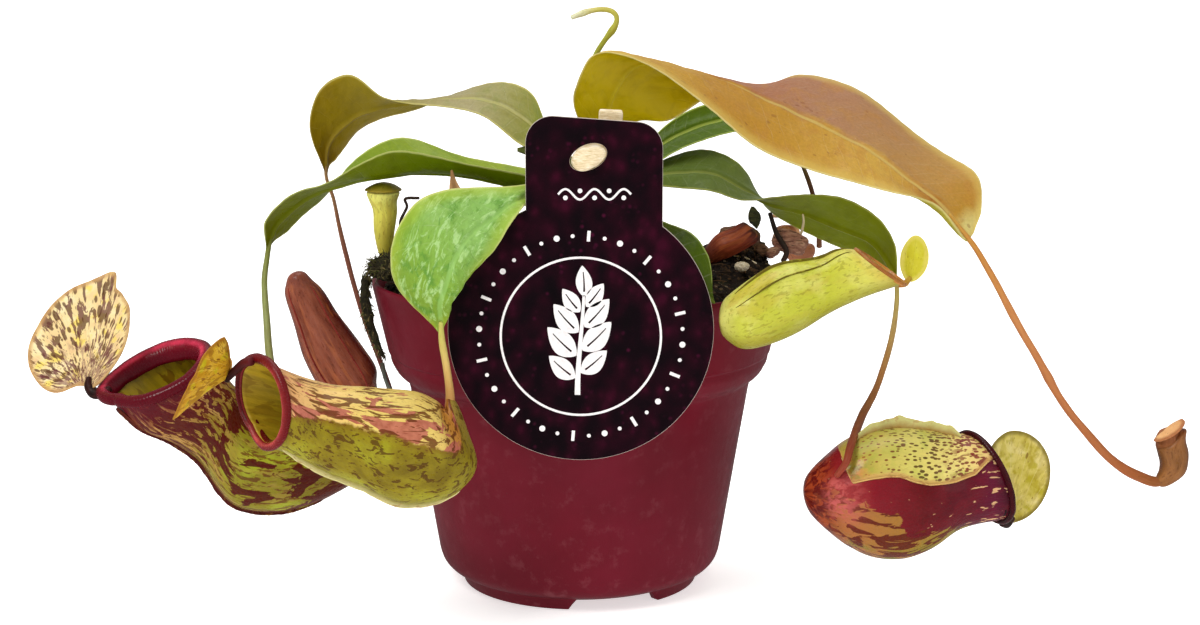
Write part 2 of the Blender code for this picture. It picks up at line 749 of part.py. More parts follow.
def pot_profile(gap):
    """Radius and height round the section of the pot, from the boss up the outside."""
    foot_z = (FOOT_HEIGHT - 0.6) * gap
    inner_foot = FOOT_RADIUS - FOOT_WIDTH
    return [
        (BOSS_RADIUS, BOSS_Z),
        (BOSS_RADIUS + 1.5, FOOT_HEIGHT),
        (inner_foot, FOOT_HEIGHT),
        (inner_foot + 0.4, foot_z),
        (FOOT_RADIUS, foot_z),
        (FOOT_RADIUS + 1.2, FOOT_HEIGHT),
        (FOOT_RADIUS + 4.2, FOOT_HEIGHT + 1.3),
        (WALL_FOOT_RADIUS - 0.9, FOOT_HEIGHT + 3.4),
        (WALL_FOOT_RADIUS, WALL_FOOT_Z),
        (WALL_TOP_RADIUS, WALL_TOP_Z),
        (WALL_TOP_RADIUS + 0.7, WALL_TOP_Z + 2.4),
        (BAND_FOOT_RADIUS - 2.6, WALL_TOP_Z + 4.4),
        (BAND_FOOT_RADIUS - 0.7, BAND_FOOT_Z - 2.6),
        (BAND_FOOT_RADIUS - 0.5, BAND_FOOT_Z - 0.5),
        (BAND_FOOT_RADIUS, BAND_FOOT_Z),
        (RIM_RADIUS - 0.2, POT_HEIGHT - 1.4),
        (RIM_RADIUS - 0.4, POT_HEIGHT - 0.3),
        (RIM_RADIUS - 1.0, POT_HEIGHT),
        (RIM_RADIUS - 1.7, POT_HEIGHT - 0.4),
        (BAND_FOOT_RADIUS - POT_WALL - 0.4, BAND_FOOT_Z - 1.4),
        (WALL_TOP_RADIUS - POT_WALL, WALL_TOP_Z),
        (WALL_FOOT_RADIUS - POT_WALL, WALL_FOOT_Z),
        (WALL_FOOT_RADIUS - POT_WALL - 3.4, FLOOR_TOP_Z + 0.5),
        (FOOT_RADIUS - 1.0, FLOOR_TOP_Z),
    ]


def pot_inner_radius(z):
    """The radius of the inside of the wall at a height."""
    inside = [
        (WALL_FOOT_Z, WALL_FOOT_RADIUS - POT_WALL),
        (WALL_TOP_Z, WALL_TOP_RADIUS - POT_WALL),
        (BAND_FOOT_Z - 1.4, BAND_FOOT_RADIUS - POT_WALL - 0.4),
        (POT_HEIGHT - 0.4, RIM_RADIUS - 1.7),
    ]
    for (z0, r0), (z1, r1) in zip(inside[:-1], inside[1:]):
        if z <= z1:
            return r0 + (r1 - r0) * max(0.0, (z - z0) / (z1 - z0))
    return inside[-1][1]


def make_pot():
    body = Body()
    sections = []
    for k in range(POT_STEPS):
        degrees = 360.0 * k / POT_STEPS
        sections.append((math.radians(degrees), pot_profile(in_foot_gap(degrees))))
    body.pole(Vector((0, 0, BOSS_Z)))
    for i in range(len(sections[0][1])):
        body.ring(
            [
                Vector((p[i][0] * math.cos(a), p[i][0] * math.sin(a), p[i][1]))
                for a, p in sections
            ]
        )
    body.pole(Vector((0, 0, FLOOR_TOP_Z)))
    pot = solid("pot", body.points, body.faces, material("pot", (134, 40, 58), 0.38))
    for k in range(DRAIN_COUNT):
        angle = math.tau * (k + 0.5) / DRAIN_COUNT
        cx, cy = DRAIN_CIRCLE * math.cos(angle), DRAIN_CIRCLE * math.sin(angle)
        outline = [
            (DRAIN_RADIUS * math.cos(math.tau * j / 12), DRAIN_RADIUS * math.sin(math.tau * j / 12))
            for j in range(12)
        ]
        points, faces = prism(
            outline, lambda u, v, s: (cx + u, cy + v, 1.0 if s == 0 else 8.0)
        )
        cut(pot, cutter("drain_cutter_%d" % (k + 1), points, faces))
    return pot


# ---------------------------------------------------------------- soil
def soil_height(x, y):
    r = math.hypot(x, y)
    dome = SOIL_RISE * (1.0 - (r / 58.0) ** 2)
    mound = 8.0 * math.exp(-((x - 48) ** 2 + (y - 4) ** 2) / 150.0)
    return SOIL_EDGE_Z + dome + mound + 0.8 * lumps(2.2 * x, 2.2 * y)


def make_soil():
    body = Body()
    body.pole(Vector((0, 0, FLOOR_TOP_Z + SOIL_GAP)))

    def ring(radius, z=None):
        points = []
        for k in range(SOIL_STEPS):
            a = math.tau * k / SOIL_STEPS
            x, y = radius * math.cos(a), radius * math.sin(a)
            points.append(Vector((x, y, soil_height(x, y) if z is None else z)))
        body.ring(points)

    ring(FOOT_RADIUS - 2.0, FLOOR_TOP_Z + SOIL_GAP)
    ring(WALL_FOOT_RADIUS - POT_WALL - 4.2, FLOOR_TOP_Z + 1.2)
    for z in (WALL_FOOT_Z + 0.6, WALL_TOP_Z - 0.2, BAND_FOOT_Z - 1.2):
        ring(pot_inner_radius(z) - SOIL_GAP - 0.2, z)
    ring(pot_inner_radius(83.0) - SOIL_GAP - 0.2, 83.0)
    for radius in (55.5, 47.0, 37.0, 26.0, 14.0):
        ring(radius)
    body.pole(Vector((0, 0, soil_height(0, 0))))
    soil = solid("soil", body.points, body.faces, material("soil", (38, 30, 26), 0.95))

    def shaft(name, foot, head, half_u, half_v, sides, turn=0.0):
        """A straight cutter along foot to head, with an elliptic or square outline."""
        foot, head = Vector(foot), Vector(head)
        along = (head - foot).normalized()
        across = Vector((1, 0, 0)) - along * along.x
        across.normalize()
        third = along.cross(across)
        outline = [
            (
                half_u * math.cos(math.tau * j / sides + turn),
                half_v * math.sin(math.tau * j / sides + turn),
            )
            for j in range(sides)
        ]
        points, faces = prism(
            outline,
            lambda u, v, s: (head if s else foot) + across * u + third * v,
        )
        cut(soil, cutter(name, points, faces))

    shaft("stem_cutter", (2, 4, 78), (2.6, 3.4, 104), 5.2, 5.2, 10)
    foot, head = Vector(STAKE_FOOT), Vector(STAKE_TOP)
    start = foot - (head - foot) * 0.03
    end = foot + (head - foot) * 0.5
    diagonal = math.sqrt(2.0)
    shaft(
        "stake_cutter",
        start,
        end,
        (STAKE_WIDTH / 2 + 0.5) * diagonal,
        (STAKE_THICKNESS / 2 + 0.5) * diagonal,
        4,
        math.pi / 4,
    )
    return soil


# ---------------------------------------------------------------- tag
def tag_outline():
    """Round lower part with a neck whose top corners are rounded."""
    cx, cz = TAG_CENTRE
    x0, x1 = TAG_NECK
    right = math.atan2(math.sqrt(TAG_DISC_RADIUS**2 - (x1 - cx) ** 2), x1 - cx)
    left = math.atan2(math.sqrt(TAG_DISC_RADIUS**2 - (x0 - cx) ** 2), x0 - cx)
    outline = []
    steps = 44
    for k in range(steps + 1):
        a = left + (right + math.tau - left) * k / steps
        outline.append((cx + TAG_DISC_RADIUS * math.cos(a), cz + TAG_DISC_RADIUS * math.sin(a)))
    for k in range(7):
        a = math.radians(90.0 * k / 6)
        outline.append(
            (
                x1 - TAG_CORNER * (1 - math.cos(a)),
                TAG_TOP[1] - TAG_CORNER * (1 - math.sin(a)),
            )
        )
    for k in range(7):
        a = math.radians(90.0 + 90.0 * k / 6)
        outline.append(
            (
                x0 + TAG_CORNER * (1 + math.cos(a)),
                TAG_TOP[0] - TAG_CORNER * (1 - math.sin(a)),
            )
        )
    return outline


def turned_oval(half_u, half_v, steps):
    tilt = math.radians(TAG_HOLE_TILT_DEG)
    out = []
    for j in range(steps):
        a = math.tau * j / steps
        u, v = half_u * math.cos(a), half_v * math.sin(a)
        out.append(
            (
                TAG_HOLE_CENTRE[0] + u * math.cos(tilt) - v * math.sin(tilt),
                TAG_HOLE_CENTRE[1] + u * math.sin(tilt) + v * math.cos(tilt),
            )
        )
    return out


def make_tag():
    front = TAG_BACK_Y - TAG_THICKNESS
    points, faces = prism(
        tag_outline(), lambda u, v, s: (u, TAG_BACK_Y if s == 0 else front, v)
    )
    tag = solid("plant_tag", points, faces, material("plant_tag", (34, 12, 34), 0.45), False)
    points, faces = prism(
        turned_oval(TAG_HOLE_HALF[0], TAG_HOLE_HALF[1], 20),
        lambda u, v, s: (u, -55.0 if s == 0 else -70.0, v),
    )
    cut(tag, cutter("hole_cutter", points, faces))

    body = Body()
    peg_back, peg_front = -57.9, front - 3.0
    rows = [(0.75, peg_back), (0.92, peg_back - 0.6), (0.92, front - 1.0),
            (0.86, front - 1.9), (0.62, front - 2.7)]
    body.pole(Vector((TAG_HOLE_CENTRE[0], peg_back + 0.1, TAG_HOLE_CENTRE[1])))
    for scale, y in rows:
        body.ring(
            [
                Vector((u, y, v))
                for u, v in turned_oval(
                    TAG_HOLE_HALF[0] * scale, TAG_HOLE_HALF[1] * scale, 14
                )
            ]
        )
    body.pole(Vector((TAG_HOLE_CENTRE[0], peg_front, TAG_HOLE_CENTRE[1])))
    solid("tag_peg", body.points, body.faces, material("tag_peg", (226, 206, 170), 0.6))


def make_stake():
    foot, head = Vector(STAKE_FOOT), Vector(STAKE_TOP)
    along = (head - foot).normalized()
    across = (Vector((1, 0, 0)) - along * along.x).normalized()
    third = along.cross(across)
    half_w, half_t, cut_corner = STAKE_WIDTH / 2, STAKE_THICKNESS / 2, 0.4
    outline = []
    for sx, sy, order in ((1, 1, 0), (-1, 1, 1), (-1, -1, 0), (1, -1, 1)):
        a = (sx * half_w, sy * (half_t - cut_corner))
        b = (sx * (half_w - cut_corner), sy * half_t)
        outline += [a, b] if order == 0 else [b, a]
    body = Body()
    length = (head - foot).length
    body.pole(foot - along * 1.2)
    for along_mm, scale in ((0.0, 0.35), (9.0, 1.0), (length * 0.5, 1.0), (length, 1.0)):
        body.ring(
            [foot + along * along_mm + across * (u * scale) + third * v for u, v in outline]
        )
    body.pole(head)
    solid("tag_stake", body.points, body.faces, material("tag_stake", (222, 200, 160), 0.6), False)


# ---------------------------------------------------------------- litter on the soil
def chip(name, colour, centre, half, turns):
    """An angular bark chip: a box with tapered, skewed sides."""
    points = []
    for sz in (-1, 1):
        for sx, sy in ((-1, -1), (1, -0.7), (0.8, 1), (-0.75, 0.8)):
            shrink = 0.82 if sz > 0 else 1.0
            points.append(Vector((sx * half[0] * shrink, sy * half[1] * shrink, sz * half[2])))
    faces = [(3, 2, 1, 0), (4, 5, 6, 7)]
    faces += [(k, (k + 1) % 4, 4 + (k + 1) % 4, 4 + k) for k in range(4)]
    a, b = math.radians(turns[0]), math.radians(turns[1])
    placed = []
    for p in points:
        x, y, z = p.x * math.cos(a) - p.y * math.sin(a), p.x * math.sin(a) + p.y * math.cos(a), p.z
        x, z = x * math.cos(b) + z * math.sin(b), -x * math.sin(b) + z * math.cos(b)
        placed.append(Vector(centre) + Vector((x, y, z)))
    return solid(name, placed, faces, material(name, colour, 0.9), False)


def make_litter():
    blob("moss_clump", (42, 38, 24), (-54, -16, 94.4), (6.0, 9.0, 3.4))
    tube("moss_tuft", (36, 32, 24), (1.8, 2.2, 0.9),
         [(-60, -16, 92), (-60, -19, 86), (-58, -22, 78), (-55, -24, 71)],
         sides=7, roughness=0.95)
    tube("root_strand", (78, 84, 82), (0.6, 0.5),
         [(-55, -25, 69), (-54, -25, 64), (-52, -25, 60)], sides=5, spans=2.0)
    tube("wiry_twig", (30, 24, 22), (0.5, 0.4),
         [(-46, -36, 92), (-48, -38, 109), (-47, -37, 113), (-46, -37, 115),
          (-47, -37, 117), (-43, -36, 117)], sides=5)
    tube("dark_root", (34, 26, 30), (0.6, 0.8),
         [(55, 0, 108), (57, 0, 102), (60, 0, 97), (59, 0, 94)], sides=5)
    chip("dark_scale", (52, 60, 34), (51, 6, 106), (2.0, 0.7, 3.6), (10, -14))
    chip("bark_chip_1", (40, 26, 20), (50, 12, 97.0), (5.0, 3.4, 1.7), (30, 12))
    chip("bark_chip_2", (58, 40, 28), (28, 12, 97.5), (5.5, 3.2, 1.6), (-40, -8))
    chip("bark_chip_3", (48, 34, 26), (-30, 22, 95.6), (6.0, 3.6, 1.6), (65, 6))
    chip("bark_chip_4", (62, 44, 32), (8, 42, 94.0), (5.2, 3.2, 1.5), (15, -6))
    blob("perlite_1", (206, 190, 160), (46, -12, 94.4), (2.2, 1.8, 1.5), 5, 7, 0.2)
    blob("perlite_2", (214, 200, 176), (-14, 34, 95.4), (2.4, 2.0, 1.5), 5, 7, 0.2)


def main():
    for obj in list(bpy.data.objects):
        bpy.data.objects.remove(obj, do_unlink=True)
    make_pot()
    make_soil()
    make_tag()
    make_stake()
    tube("stem", (96, 92, 44), STEM_RADII, STEM, sides=8)
    for name, (colour, stations) in BLADES.items():
        blade(name, colour, stations)
    for name, (colour, radii, points) in TENDRILS.items():
        tube(name, colour, radii, points)
    for name, (colour, cavity_start, base, sections) in OPEN_PITCHERS.items():
        open_pitcher(name, colour, cavity_start, base, sections)
    for name, (colour, base, sections, tip) in CLOSED_PITCHERS.items():
        closed_pitcher(name, colour, base, sections, tip)
    for name, (colour, hinge, tip, side_a, side_b, dome, outline) in LIDS.items():
        lid(name, colour, hinge, tip, side_a, side_b, dome, outline)
    make_litter()


main()
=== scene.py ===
import math

import bmesh
import bpy
import numpy as np
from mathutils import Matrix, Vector


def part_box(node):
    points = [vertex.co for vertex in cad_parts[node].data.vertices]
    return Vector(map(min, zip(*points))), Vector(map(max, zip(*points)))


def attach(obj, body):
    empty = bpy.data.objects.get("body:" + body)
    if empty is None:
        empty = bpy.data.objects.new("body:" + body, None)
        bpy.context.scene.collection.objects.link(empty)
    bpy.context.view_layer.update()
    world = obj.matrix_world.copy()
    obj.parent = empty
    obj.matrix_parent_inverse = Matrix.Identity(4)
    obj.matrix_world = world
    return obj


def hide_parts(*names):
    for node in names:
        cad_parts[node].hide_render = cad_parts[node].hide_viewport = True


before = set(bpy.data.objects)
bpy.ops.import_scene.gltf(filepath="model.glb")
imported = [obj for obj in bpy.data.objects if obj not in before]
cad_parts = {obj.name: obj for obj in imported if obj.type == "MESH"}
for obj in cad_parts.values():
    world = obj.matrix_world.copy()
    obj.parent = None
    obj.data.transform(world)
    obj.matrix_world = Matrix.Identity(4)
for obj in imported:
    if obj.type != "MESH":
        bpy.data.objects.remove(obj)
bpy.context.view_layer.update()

TAU = math.tau


# ------------------------------------------------------------------ numbers
def tint(r, g, b):
    """A display colour, 0 to 255, as the linear colour that shaders take."""
    out = []
    for c in (r, g, b):
        c = c / 255.0
        out.append(c / 12.92 if c <= 0.04045 else ((c + 0.055) / 1.055) ** 2.4)
    return (out[0], out[1], out[2], 1.0)


def spl(points, t):
    """Catmull-Rom through the points, for an array t that runs from 0 to len - 1."""
    p = np.asarray(points, float)
    t = np.asarray(t, float)
    last = len(p) - 1
    i = np.clip(t.astype(int), 0, last - 1)
    f = (t - i)[:, None]
    ext = np.vstack([2 * p[0] - p[1], p, 2 * p[-1] - p[-2]])
    a, b, c, d = ext[i], ext[i + 1], ext[i + 2], ext[i + 3]
    return 0.5 * (
        2 * b + (c - a) * f + (2 * a - 5 * b + 4 * c - d) * f**2 + (3 * b - a - 3 * c + d) * f**3
    )


def soften(rows, sigma):
    """Smooths rows of points along the first axis and keeps both ends."""
    if sigma <= 0:
        return rows
    n = len(rows)
    reach = int(3 * sigma) + 1
    k = np.exp(-0.5 * (np.arange(-reach, reach + 1) / sigma) ** 2)
    k /= k.sum()
    head = 2 * rows[0] - rows[1 : reach + 1][::-1]
    tail = 2 * rows[-1] - rows[-reach - 1 : -1][::-1]
    ext = np.concatenate([head, rows, tail])
    out = np.zeros_like(rows)
    for j, w in enumerate(k):
        out += w * ext[j : j + n]
    return out


def unit(v):
    return v / np.maximum(np.linalg.norm(v, axis=-1, keepdims=True), 1e-9)


def smooth(x, a, b):
    t = np.clip((x - a) / (b - a), 0, 1)
    return t * t * (3 - 2 * t)


def _cell(ix, iy, iz, seed):
    n = (ix * 374761393 + iy * 668265263 + iz * 1440662683 + seed * 1274126177) & 0xFFFFFFFF
    n = ((n ^ (n >> 13)) * 1274126177) & 0xFFFFFFFF
    return ((n ^ (n >> 16)) & 0xFFFF) / 32767.5 - 1.0


def noise3(p, seed=0):
    """Smooth lattice noise between -1 and 1 at an array of points."""
    p = np.asarray(p, float)
    i = np.floor(p).astype(np.int64)
    f = p - i
    w = f * f * (3 - 2 * f)
    out = np.zeros(p.shape[:-1])
    for dx in (0, 1):
        wx = w[..., 0] if dx else 1 - w[..., 0]
        for dy in (0, 1):
            wy = w[..., 1] if dy else 1 - w[..., 1]
            for dz in (0, 1):
                wz = w[..., 2] if dz else 1 - w[..., 2]
                out += wx * wy * wz * _cell(i[..., 0] + dx, i[..., 1] + dy, i[..., 2] + dz, seed)
    return out


def fbm(p, seed=0, octaves=3):
    p = np.asarray(p, float)
    out, amp, total = 0.0, 1.0, 0.0
    for k in range(octaves):
        out = out + amp * noise3(p * 2.0**k + 17.3 * k, seed + 31 * k)
        total += amp
        amp *= 0.5
    return out / total


# ------------------------------------------------------------------ meshes, in millimetres
def piece(name, points, faces, material, attributes=None, replaces=(), slot=None, smooth_faces=True,
          face_materials=None, turn=True):
    """A mesh piece that rides on the part. points are in mm; attributes hold one value or vector a point."""
    mesh = bpy.data.meshes.new(name)
    points = np.asarray(points, float) * 0.001
    if isinstance(faces, np.ndarray):
        faces = faces.tolist()
    mesh.from_pydata(points.tolist(), [], faces)
    for key, values in (attributes or {}).items():
        values = np.asarray(values, np.float32)
        if values.ndim == 1:
            a = mesh.attributes.new(key, "FLOAT", "POINT")
            a.data.foreach_set("value", values)
        else:
            a = mesh.attributes.new(key, "FLOAT_VECTOR", "POINT")
            a.data.foreach_set("vector", values.ravel())
    for m in material if isinstance(material, (list, tuple)) else [material]:
        mesh.materials.append(m)
    if face_materials is not None:
        mesh.polygons.foreach_set("material_index", np.asarray(face_materials, np.int32))
    if turn:
        bm = bmesh.new()
        bm.from_mesh(mesh)
        bmesh.ops.recalc_face_normals(bm, faces=bm.faces)
        bm.to_mesh(mesh)
        bm.free()
    if smooth_faces:
        mesh.shade_smooth()
    mesh.update()
    obj = bpy.data.objects.new(name, mesh)
    bpy.context.scene.collection.objects.link(obj)
    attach(obj, "root")
    if replaces:
        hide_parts(*replaces)
    return obj


def grid_faces(rows, cols, start=0, wrap=False):
    """Quads of a grid of points; wrap joins the last column to the first."""
    i = np.arange(rows - 1)[:, None]
    j = np.arange(cols if wrap else cols - 1)[None, :]
    jn = (j + 1) % cols
    a = start + i * cols + j
    b = start + i * cols + jn
    c = start + (i + 1) * cols + jn
    d = start + (i + 1) * cols + j
    return np.stack([a + 0 * b, b, c, d], -1).reshape(-1, 4)


class Heap:
    """Gathers several meshes and their attributes into one."""

    def __init__(self, *keys):
        self.points, self.faces, self.count = [], [], 0
        self.values = {k: [] for k in keys}
        self.mats = []

    def add(self, points, faces, mat=0, **values):
        points = np.asarray(points, float)
        n = len(points)
        self.points.append(points)
        if isinstance(faces, np.ndarray):
            faces = (faces + self.count).tolist()
        else:
            faces = [[v + self.count for v in f] for f in faces]
        self.faces += faces
        self.mats += [mat] * len(faces)
        for k in self.values:
            v = values.get(k, 0.0)
            v = np.asarray(v, float)
            self.values[k].append(np.broadcast_to(v, (n,)) if v.ndim == 0 else v)
        self.count += n

    def make(self, name, material, **options):
        many = isinstance(material, (list, tuple))
        return piece(
            name,
            np.vstack(self.points),
            self.faces,
            material,
            {k: np.concatenate(v) for k, v in self.values.items()},
            face_materials=self.mats if many else None,
            **options,
        )


def shell(mid, normal, front, back, lip=0.35):
    """A closed thin shell round a grid: returns points, faces and, for each point, 1 on the front, 0 on the back and 0.5 on the rolled edge, with the grid index of each."""
    rows, cols = mid.shape[:2]
    top = mid + normal * front[..., None]
    low = mid - normal * back[..., None]
    idx = np.arange(rows * cols).reshape(rows, cols)
    border = np.concatenate([idx[0, :], idx[1:, -1], idx[-1, -2::-1], idx[-2:0:-1, 0]])
    flat = mid.reshape(-1, 3)
    edge = flat[border]
    inner_r = np.clip(border // cols, 1, rows - 2)
    inner_c = np.clip(border % cols, 1, cols - 2)
    outward = unit(edge - mid[inner_r, inner_c])
    thick = (front + back).reshape(-1)[border][:, None]
    middle = (top.reshape(-1, 3)[border] + low.reshape(-1, 3)[border]) * 0.5
    rim = middle + outward * thick * lip
    points = np.vstack([top.reshape(-1, 3), low.reshape(-1, 3), rim])
    n = rows * cols
    g = grid_faces(rows, cols)
    faces = [g, (g + n)[:, ::-1]]
    m = len(border)
    k = np.arange(m)
    kn = (k + 1) % m
    faces.append(np.stack([border[kn], border[k], 2 * n + k, 2 * n + kn], -1))
    faces.append(np.stack([2 * n + kn, 2 * n + k, n + border[k], n + border[kn]], -1))
    side = np.concatenate([np.ones(n), np.zeros(n), np.full(m, 0.5)])
    index = np.concatenate([np.arange(n), np.arange(n), border])
    return points, np.vstack(faces), side, index


def grid_normals(g):
    along = np.gradient(g, axis=0)
    across = np.gradient(g, axis=1)
    return unit(np.cross(along, across))


def frames(path, start=None):
    """Tangent and two side directions along a path, without twist."""
    tangent = unit(np.gradient(path, axis=0))
    a = np.zeros_like(path)
    ref = np.array(start if start is not None else (0.0, 1.0, 0.0))
    if abs(ref @ tangent[0]) > 0.85:
        ref = np.array((1.0, 0.0, 0.0))
    for i in range(len(path)):
        ref = ref - tangent[i] * (ref @ tangent[i])
        ref = ref / np.linalg.norm(ref)
        a[i] = ref
    return tangent, a, np.cross(tangent, a)


def pipe(path, radii, sides=18, wobble=0.0, seed=0, squash=1.0, round_ends=True):
    """A round stalk along a path: points, faces and values along and round it."""
    path = np.asarray(path, float)
    n = len(path)
    tangent, a, b = frames(path)
    length = np.concatenate([[0], np.cumsum(np.linalg.norm(np.diff(path, axis=0), axis=1))])
    radii = np.broadcast_to(np.asarray(radii, float), (n,)).copy()
    k = np.arange(sides) * TAU / sides
    ring = np.cos(k)[None, :, None] * a[:, None, :] + np.sin(k)[None, :, None] * b[:, None, :] * squash
    r = np.broadcast_to(radii[:, None], (n, sides)).copy()
    if wobble:
        q = np.stack(
            [
                np.broadcast_to(length[:, None] * 0.22, r.shape),
                np.broadcast_to(np.cos(k) * 0.9, r.shape),
                np.broadcast_to(np.sin(k) * 0.9, r.shape),
            ],
            -1,
        )
        r = r * (1 + wobble * fbm(q, seed, 3))
    body = path[:, None, :] + ring * r[..., None]
    points = [body.reshape(-1, 3)]
    faces = [grid_faces(n, sides, 0, True)]
    al = np.repeat(length / length[-1], sides)
    am = np.repeat(length, sides)
    ang = np.tile(k, n)
    count = n * sides
    caps = []
    for end, sign in ((0, -1), (n - 1, 1)):
        base = end * sides
        ringidx = np.arange(sides) + base
        if round_ends:
            inner = path[end] + ring[end] * radii[end] * 0.6 + tangent[end] * sign * radii[end] * 0.32
            points.append(inner)
            i2 = np.arange(sides) + count
            count += sides
            faces.append(np.stack([ringidx, np.roll(ringidx, -1), np.roll(i2, -1), i2], -1))
            points.append((path[end] + tangent[end] * sign * radii[end] * 0.45)[None])
            caps.append((i2, count))
            count += 1
            extra = sides + 1
        else:
            points.append(path[end][None])
            caps.append((ringidx, count))
            count += 1
            extra = 1
        al = np.concatenate([al, np.full(extra, length[end] / length[-1])])
        am = np.concatenate([am, np.full(extra, length[end])])
        ang = np.concatenate([ang, np.concatenate([k, [0]]) if round_ends else [0]])
    faces = np.vstack(faces).tolist()
    for ringidx, pole in caps:
        faces += [[int(p), int(q), pole] for p, q in zip(ringidx, np.roll(ringidx, -1))]
    return np.vstack(points), faces, al, am, ang


# ------------------------------------------------------------------ materials
class Paint:
    """A small builder of node materials."""

    def __init__(self, name, roughness=0.5, specular=0.5, subsurface=0.0, radius=(1.0, 0.6, 0.25),
                 scale=0.001, coat=0.0, coat_roughness=0.2, sheen=0.0):
        self.mat = bpy.data.materials.new(name)
        self.mat.use_nodes = True
        self.tree = self.mat.node_tree
        self.shader = self.tree.nodes["Principled BSDF"]
        s = self.shader.inputs
        s["Roughness"].default_value = roughness
        s["Specular IOR Level"].default_value = specular
        if subsurface:
            s["Subsurface Weight"].default_value = subsurface
            s["Subsurface Radius"].default_value = radius
            s["Subsurface Scale"].default_value = scale
        if coat:
            s["Coat Weight"].default_value = coat
            s["Coat Roughness"].default_value = coat_roughness
        if sheen:
            s["Sheen Weight"].default_value = sheen
            s["Sheen Roughness"].default_value = 0.5
        self._pos = None

    def node(self, kind):
        return self.tree.nodes.new(kind)

    def put(self, socket, value):
        if isinstance(value, bpy.types.NodeSocket):
            self.tree.links.new(value, socket)
        elif value is not None:
            socket.default_value = value

    def pos(self):
        """The place of the point, in mm."""
        if self._pos is None:
            c = self.node("ShaderNodeTexCoord")
            v = self.node("ShaderNodeVectorMath")
            v.operation = "SCALE"
            self.put(v.inputs[0], c.outputs["Object"])
            v.inputs["Scale"].default_value = 1000.0
            self._pos = v.outputs["Vector"]
        return self._pos

    def attr(self, name, vector=False):
        a = self.node("ShaderNodeAttribute")
        a.attribute_name = name
        return a.outputs["Vector"] if vector else a.outputs["Fac"]

    def combine(self, x=0.0, y=0.0, z=0.0):
        c = self.node("ShaderNodeCombineXYZ")
        for s, v in zip(c.inputs, (x, y, z)):
            self.put(s, v)
        return c.outputs["Vector"]

    def xyz(self, vector):
        s = self.node("ShaderNodeSeparateXYZ")
        self.put(s.inputs[0], vector)
        return s.outputs[0], s.outputs[1], s.outputs[2]

    def stretch(self, vector, x=1.0, y=1.0, z=1.0, shift=(0, 0, 0)):
        m = self.node("ShaderNodeMapping")
        self.put(m.inputs["Vector"], vector)
        m.inputs["Scale"].default_value = (x, y, z)
        m.inputs["Location"].default_value = shift
        return m.outputs["Vector"]

    def noise(self, scale, detail=3.0, roughness=0.5, vector=None, distortion=0.0, colour=False):
        n = self.node("ShaderNodeTexNoise")
        self.put(n.inputs["Vector"], self.pos() if vector is None else vector)
        n.inputs["Scale"].default_value = scale
        n.inputs["Detail"].default_value = detail
        n.inputs["Roughness"].default_value = roughness
        n.inputs["Distortion"].default_value = distortion
        return n.outputs["Color"] if colour else n.outputs["Fac"]

    def cells(self, scale, vector=None, feature="F1", randomness=1.0, out="Distance"):
        n = self.node("ShaderNodeTexVoronoi")
        n.feature = feature
        self.put(n.inputs["Vector"], self.pos() if vector is None else vector)
        n.inputs["Scale"].default_value = scale
        n.inputs["Randomness"].default_value = randomness
        return n.outputs[out]

    def math(self, operation, a, b=None, c=None, clamp=False):
        m = self.node("ShaderNodeMath")
        m.operation = operation
        m.use_clamp = clamp
        for s, v in zip(m.inputs, (a, b, c)):
            self.put(s, v)
        return m.outputs[0]

    def span(self, value, a, b, c=0.0, d=1.0, mode="SMOOTHSTEP"):
        """Maps a..b to c..d, clamped."""
        m = self.node("ShaderNodeMapRange")
        m.interpolation_type = mode
        m.clamp = True
        self.put(m.inputs["Value"], value)
        self.put(m.inputs["From Min"], a)
        self.put(m.inputs["From Max"], b)
        self.put(m.inputs["To Min"], c)
        self.put(m.inputs["To Max"], d)
        return m.outputs["Result"]

    def ramp(self, fac, stops, mode="LINEAR"):
        """A colour ramp; a stop is (place, display colour)."""
        r = self.node("ShaderNodeValToRGB")
        r.color_ramp.interpolation = mode
        e = r.color_ramp.elements
        while len(e) < len(stops):
            e.new(0.5)
        for k, (place, colour) in zip(e, stops):
            k.position = place
            k.color = tint(*colour) if len(colour) == 3 else colour
        self.put(r.inputs["Fac"], fac)
        return r.outputs["Color"]

    def curve(self, fac, stops, mode="LINEAR"):
        """A value that follows (place, value) stops, each 0 to 1."""
        return self.ramp(fac, [(p, (v, v, v, 1.0)) for p, v in stops], mode)

    def mix(self, fac, a, b, blend="MIX"):
        m = self.node("ShaderNodeMix")
        m.data_type = "RGBA"
        m.blend_type = blend
        m.clamp_factor = True
        self.put(m.inputs["Factor"], fac)
        for s, v in ((m.inputs["A"], a), (m.inputs["B"], b)):
            pass
        ins = [s for s in m.inputs if s.type == "RGBA"]
        self.put(ins[0], a if not isinstance(a, tuple) else (tint(*a) if len(a) == 3 else a))
        self.put(ins[1], b if not isinstance(b, tuple) else (tint(*b) if len(b) == 3 else b))
        return [s for s in m.outputs if s.type == "RGBA"][0]

    def bump(self, height, distance=0.0003, strength=1.0, normal=None):
        b = self.node("ShaderNodeBump")
        b.inputs["Strength"].default_value = strength
        b.inputs["Distance"].default_value = distance
        self.put(b.inputs["Height"], height)
        if normal is not None:
            self.put(b.inputs["Normal"], normal)
        return b.outputs["Normal"]

    def finish(self, colour, roughness=None, normal=None):
        s = self.shader.inputs
        self.put(s["Base Color"], colour)
        if roughness is not None:
            self.put(s["Roughness"], roughness)
        if normal is not None:
            self.put(s["Normal"], normal)
        return self.mat


# ------------------------------------------------------------------ control points of the CAD part, in mm
STEM = [(2, 4, 80), (3, 3, 100), (4, 2, 112), (5, 3, 124), (5, 5, 131)]
STEM_RADII = [4.4, 3.6, 2.9, 2.4, 1.9]

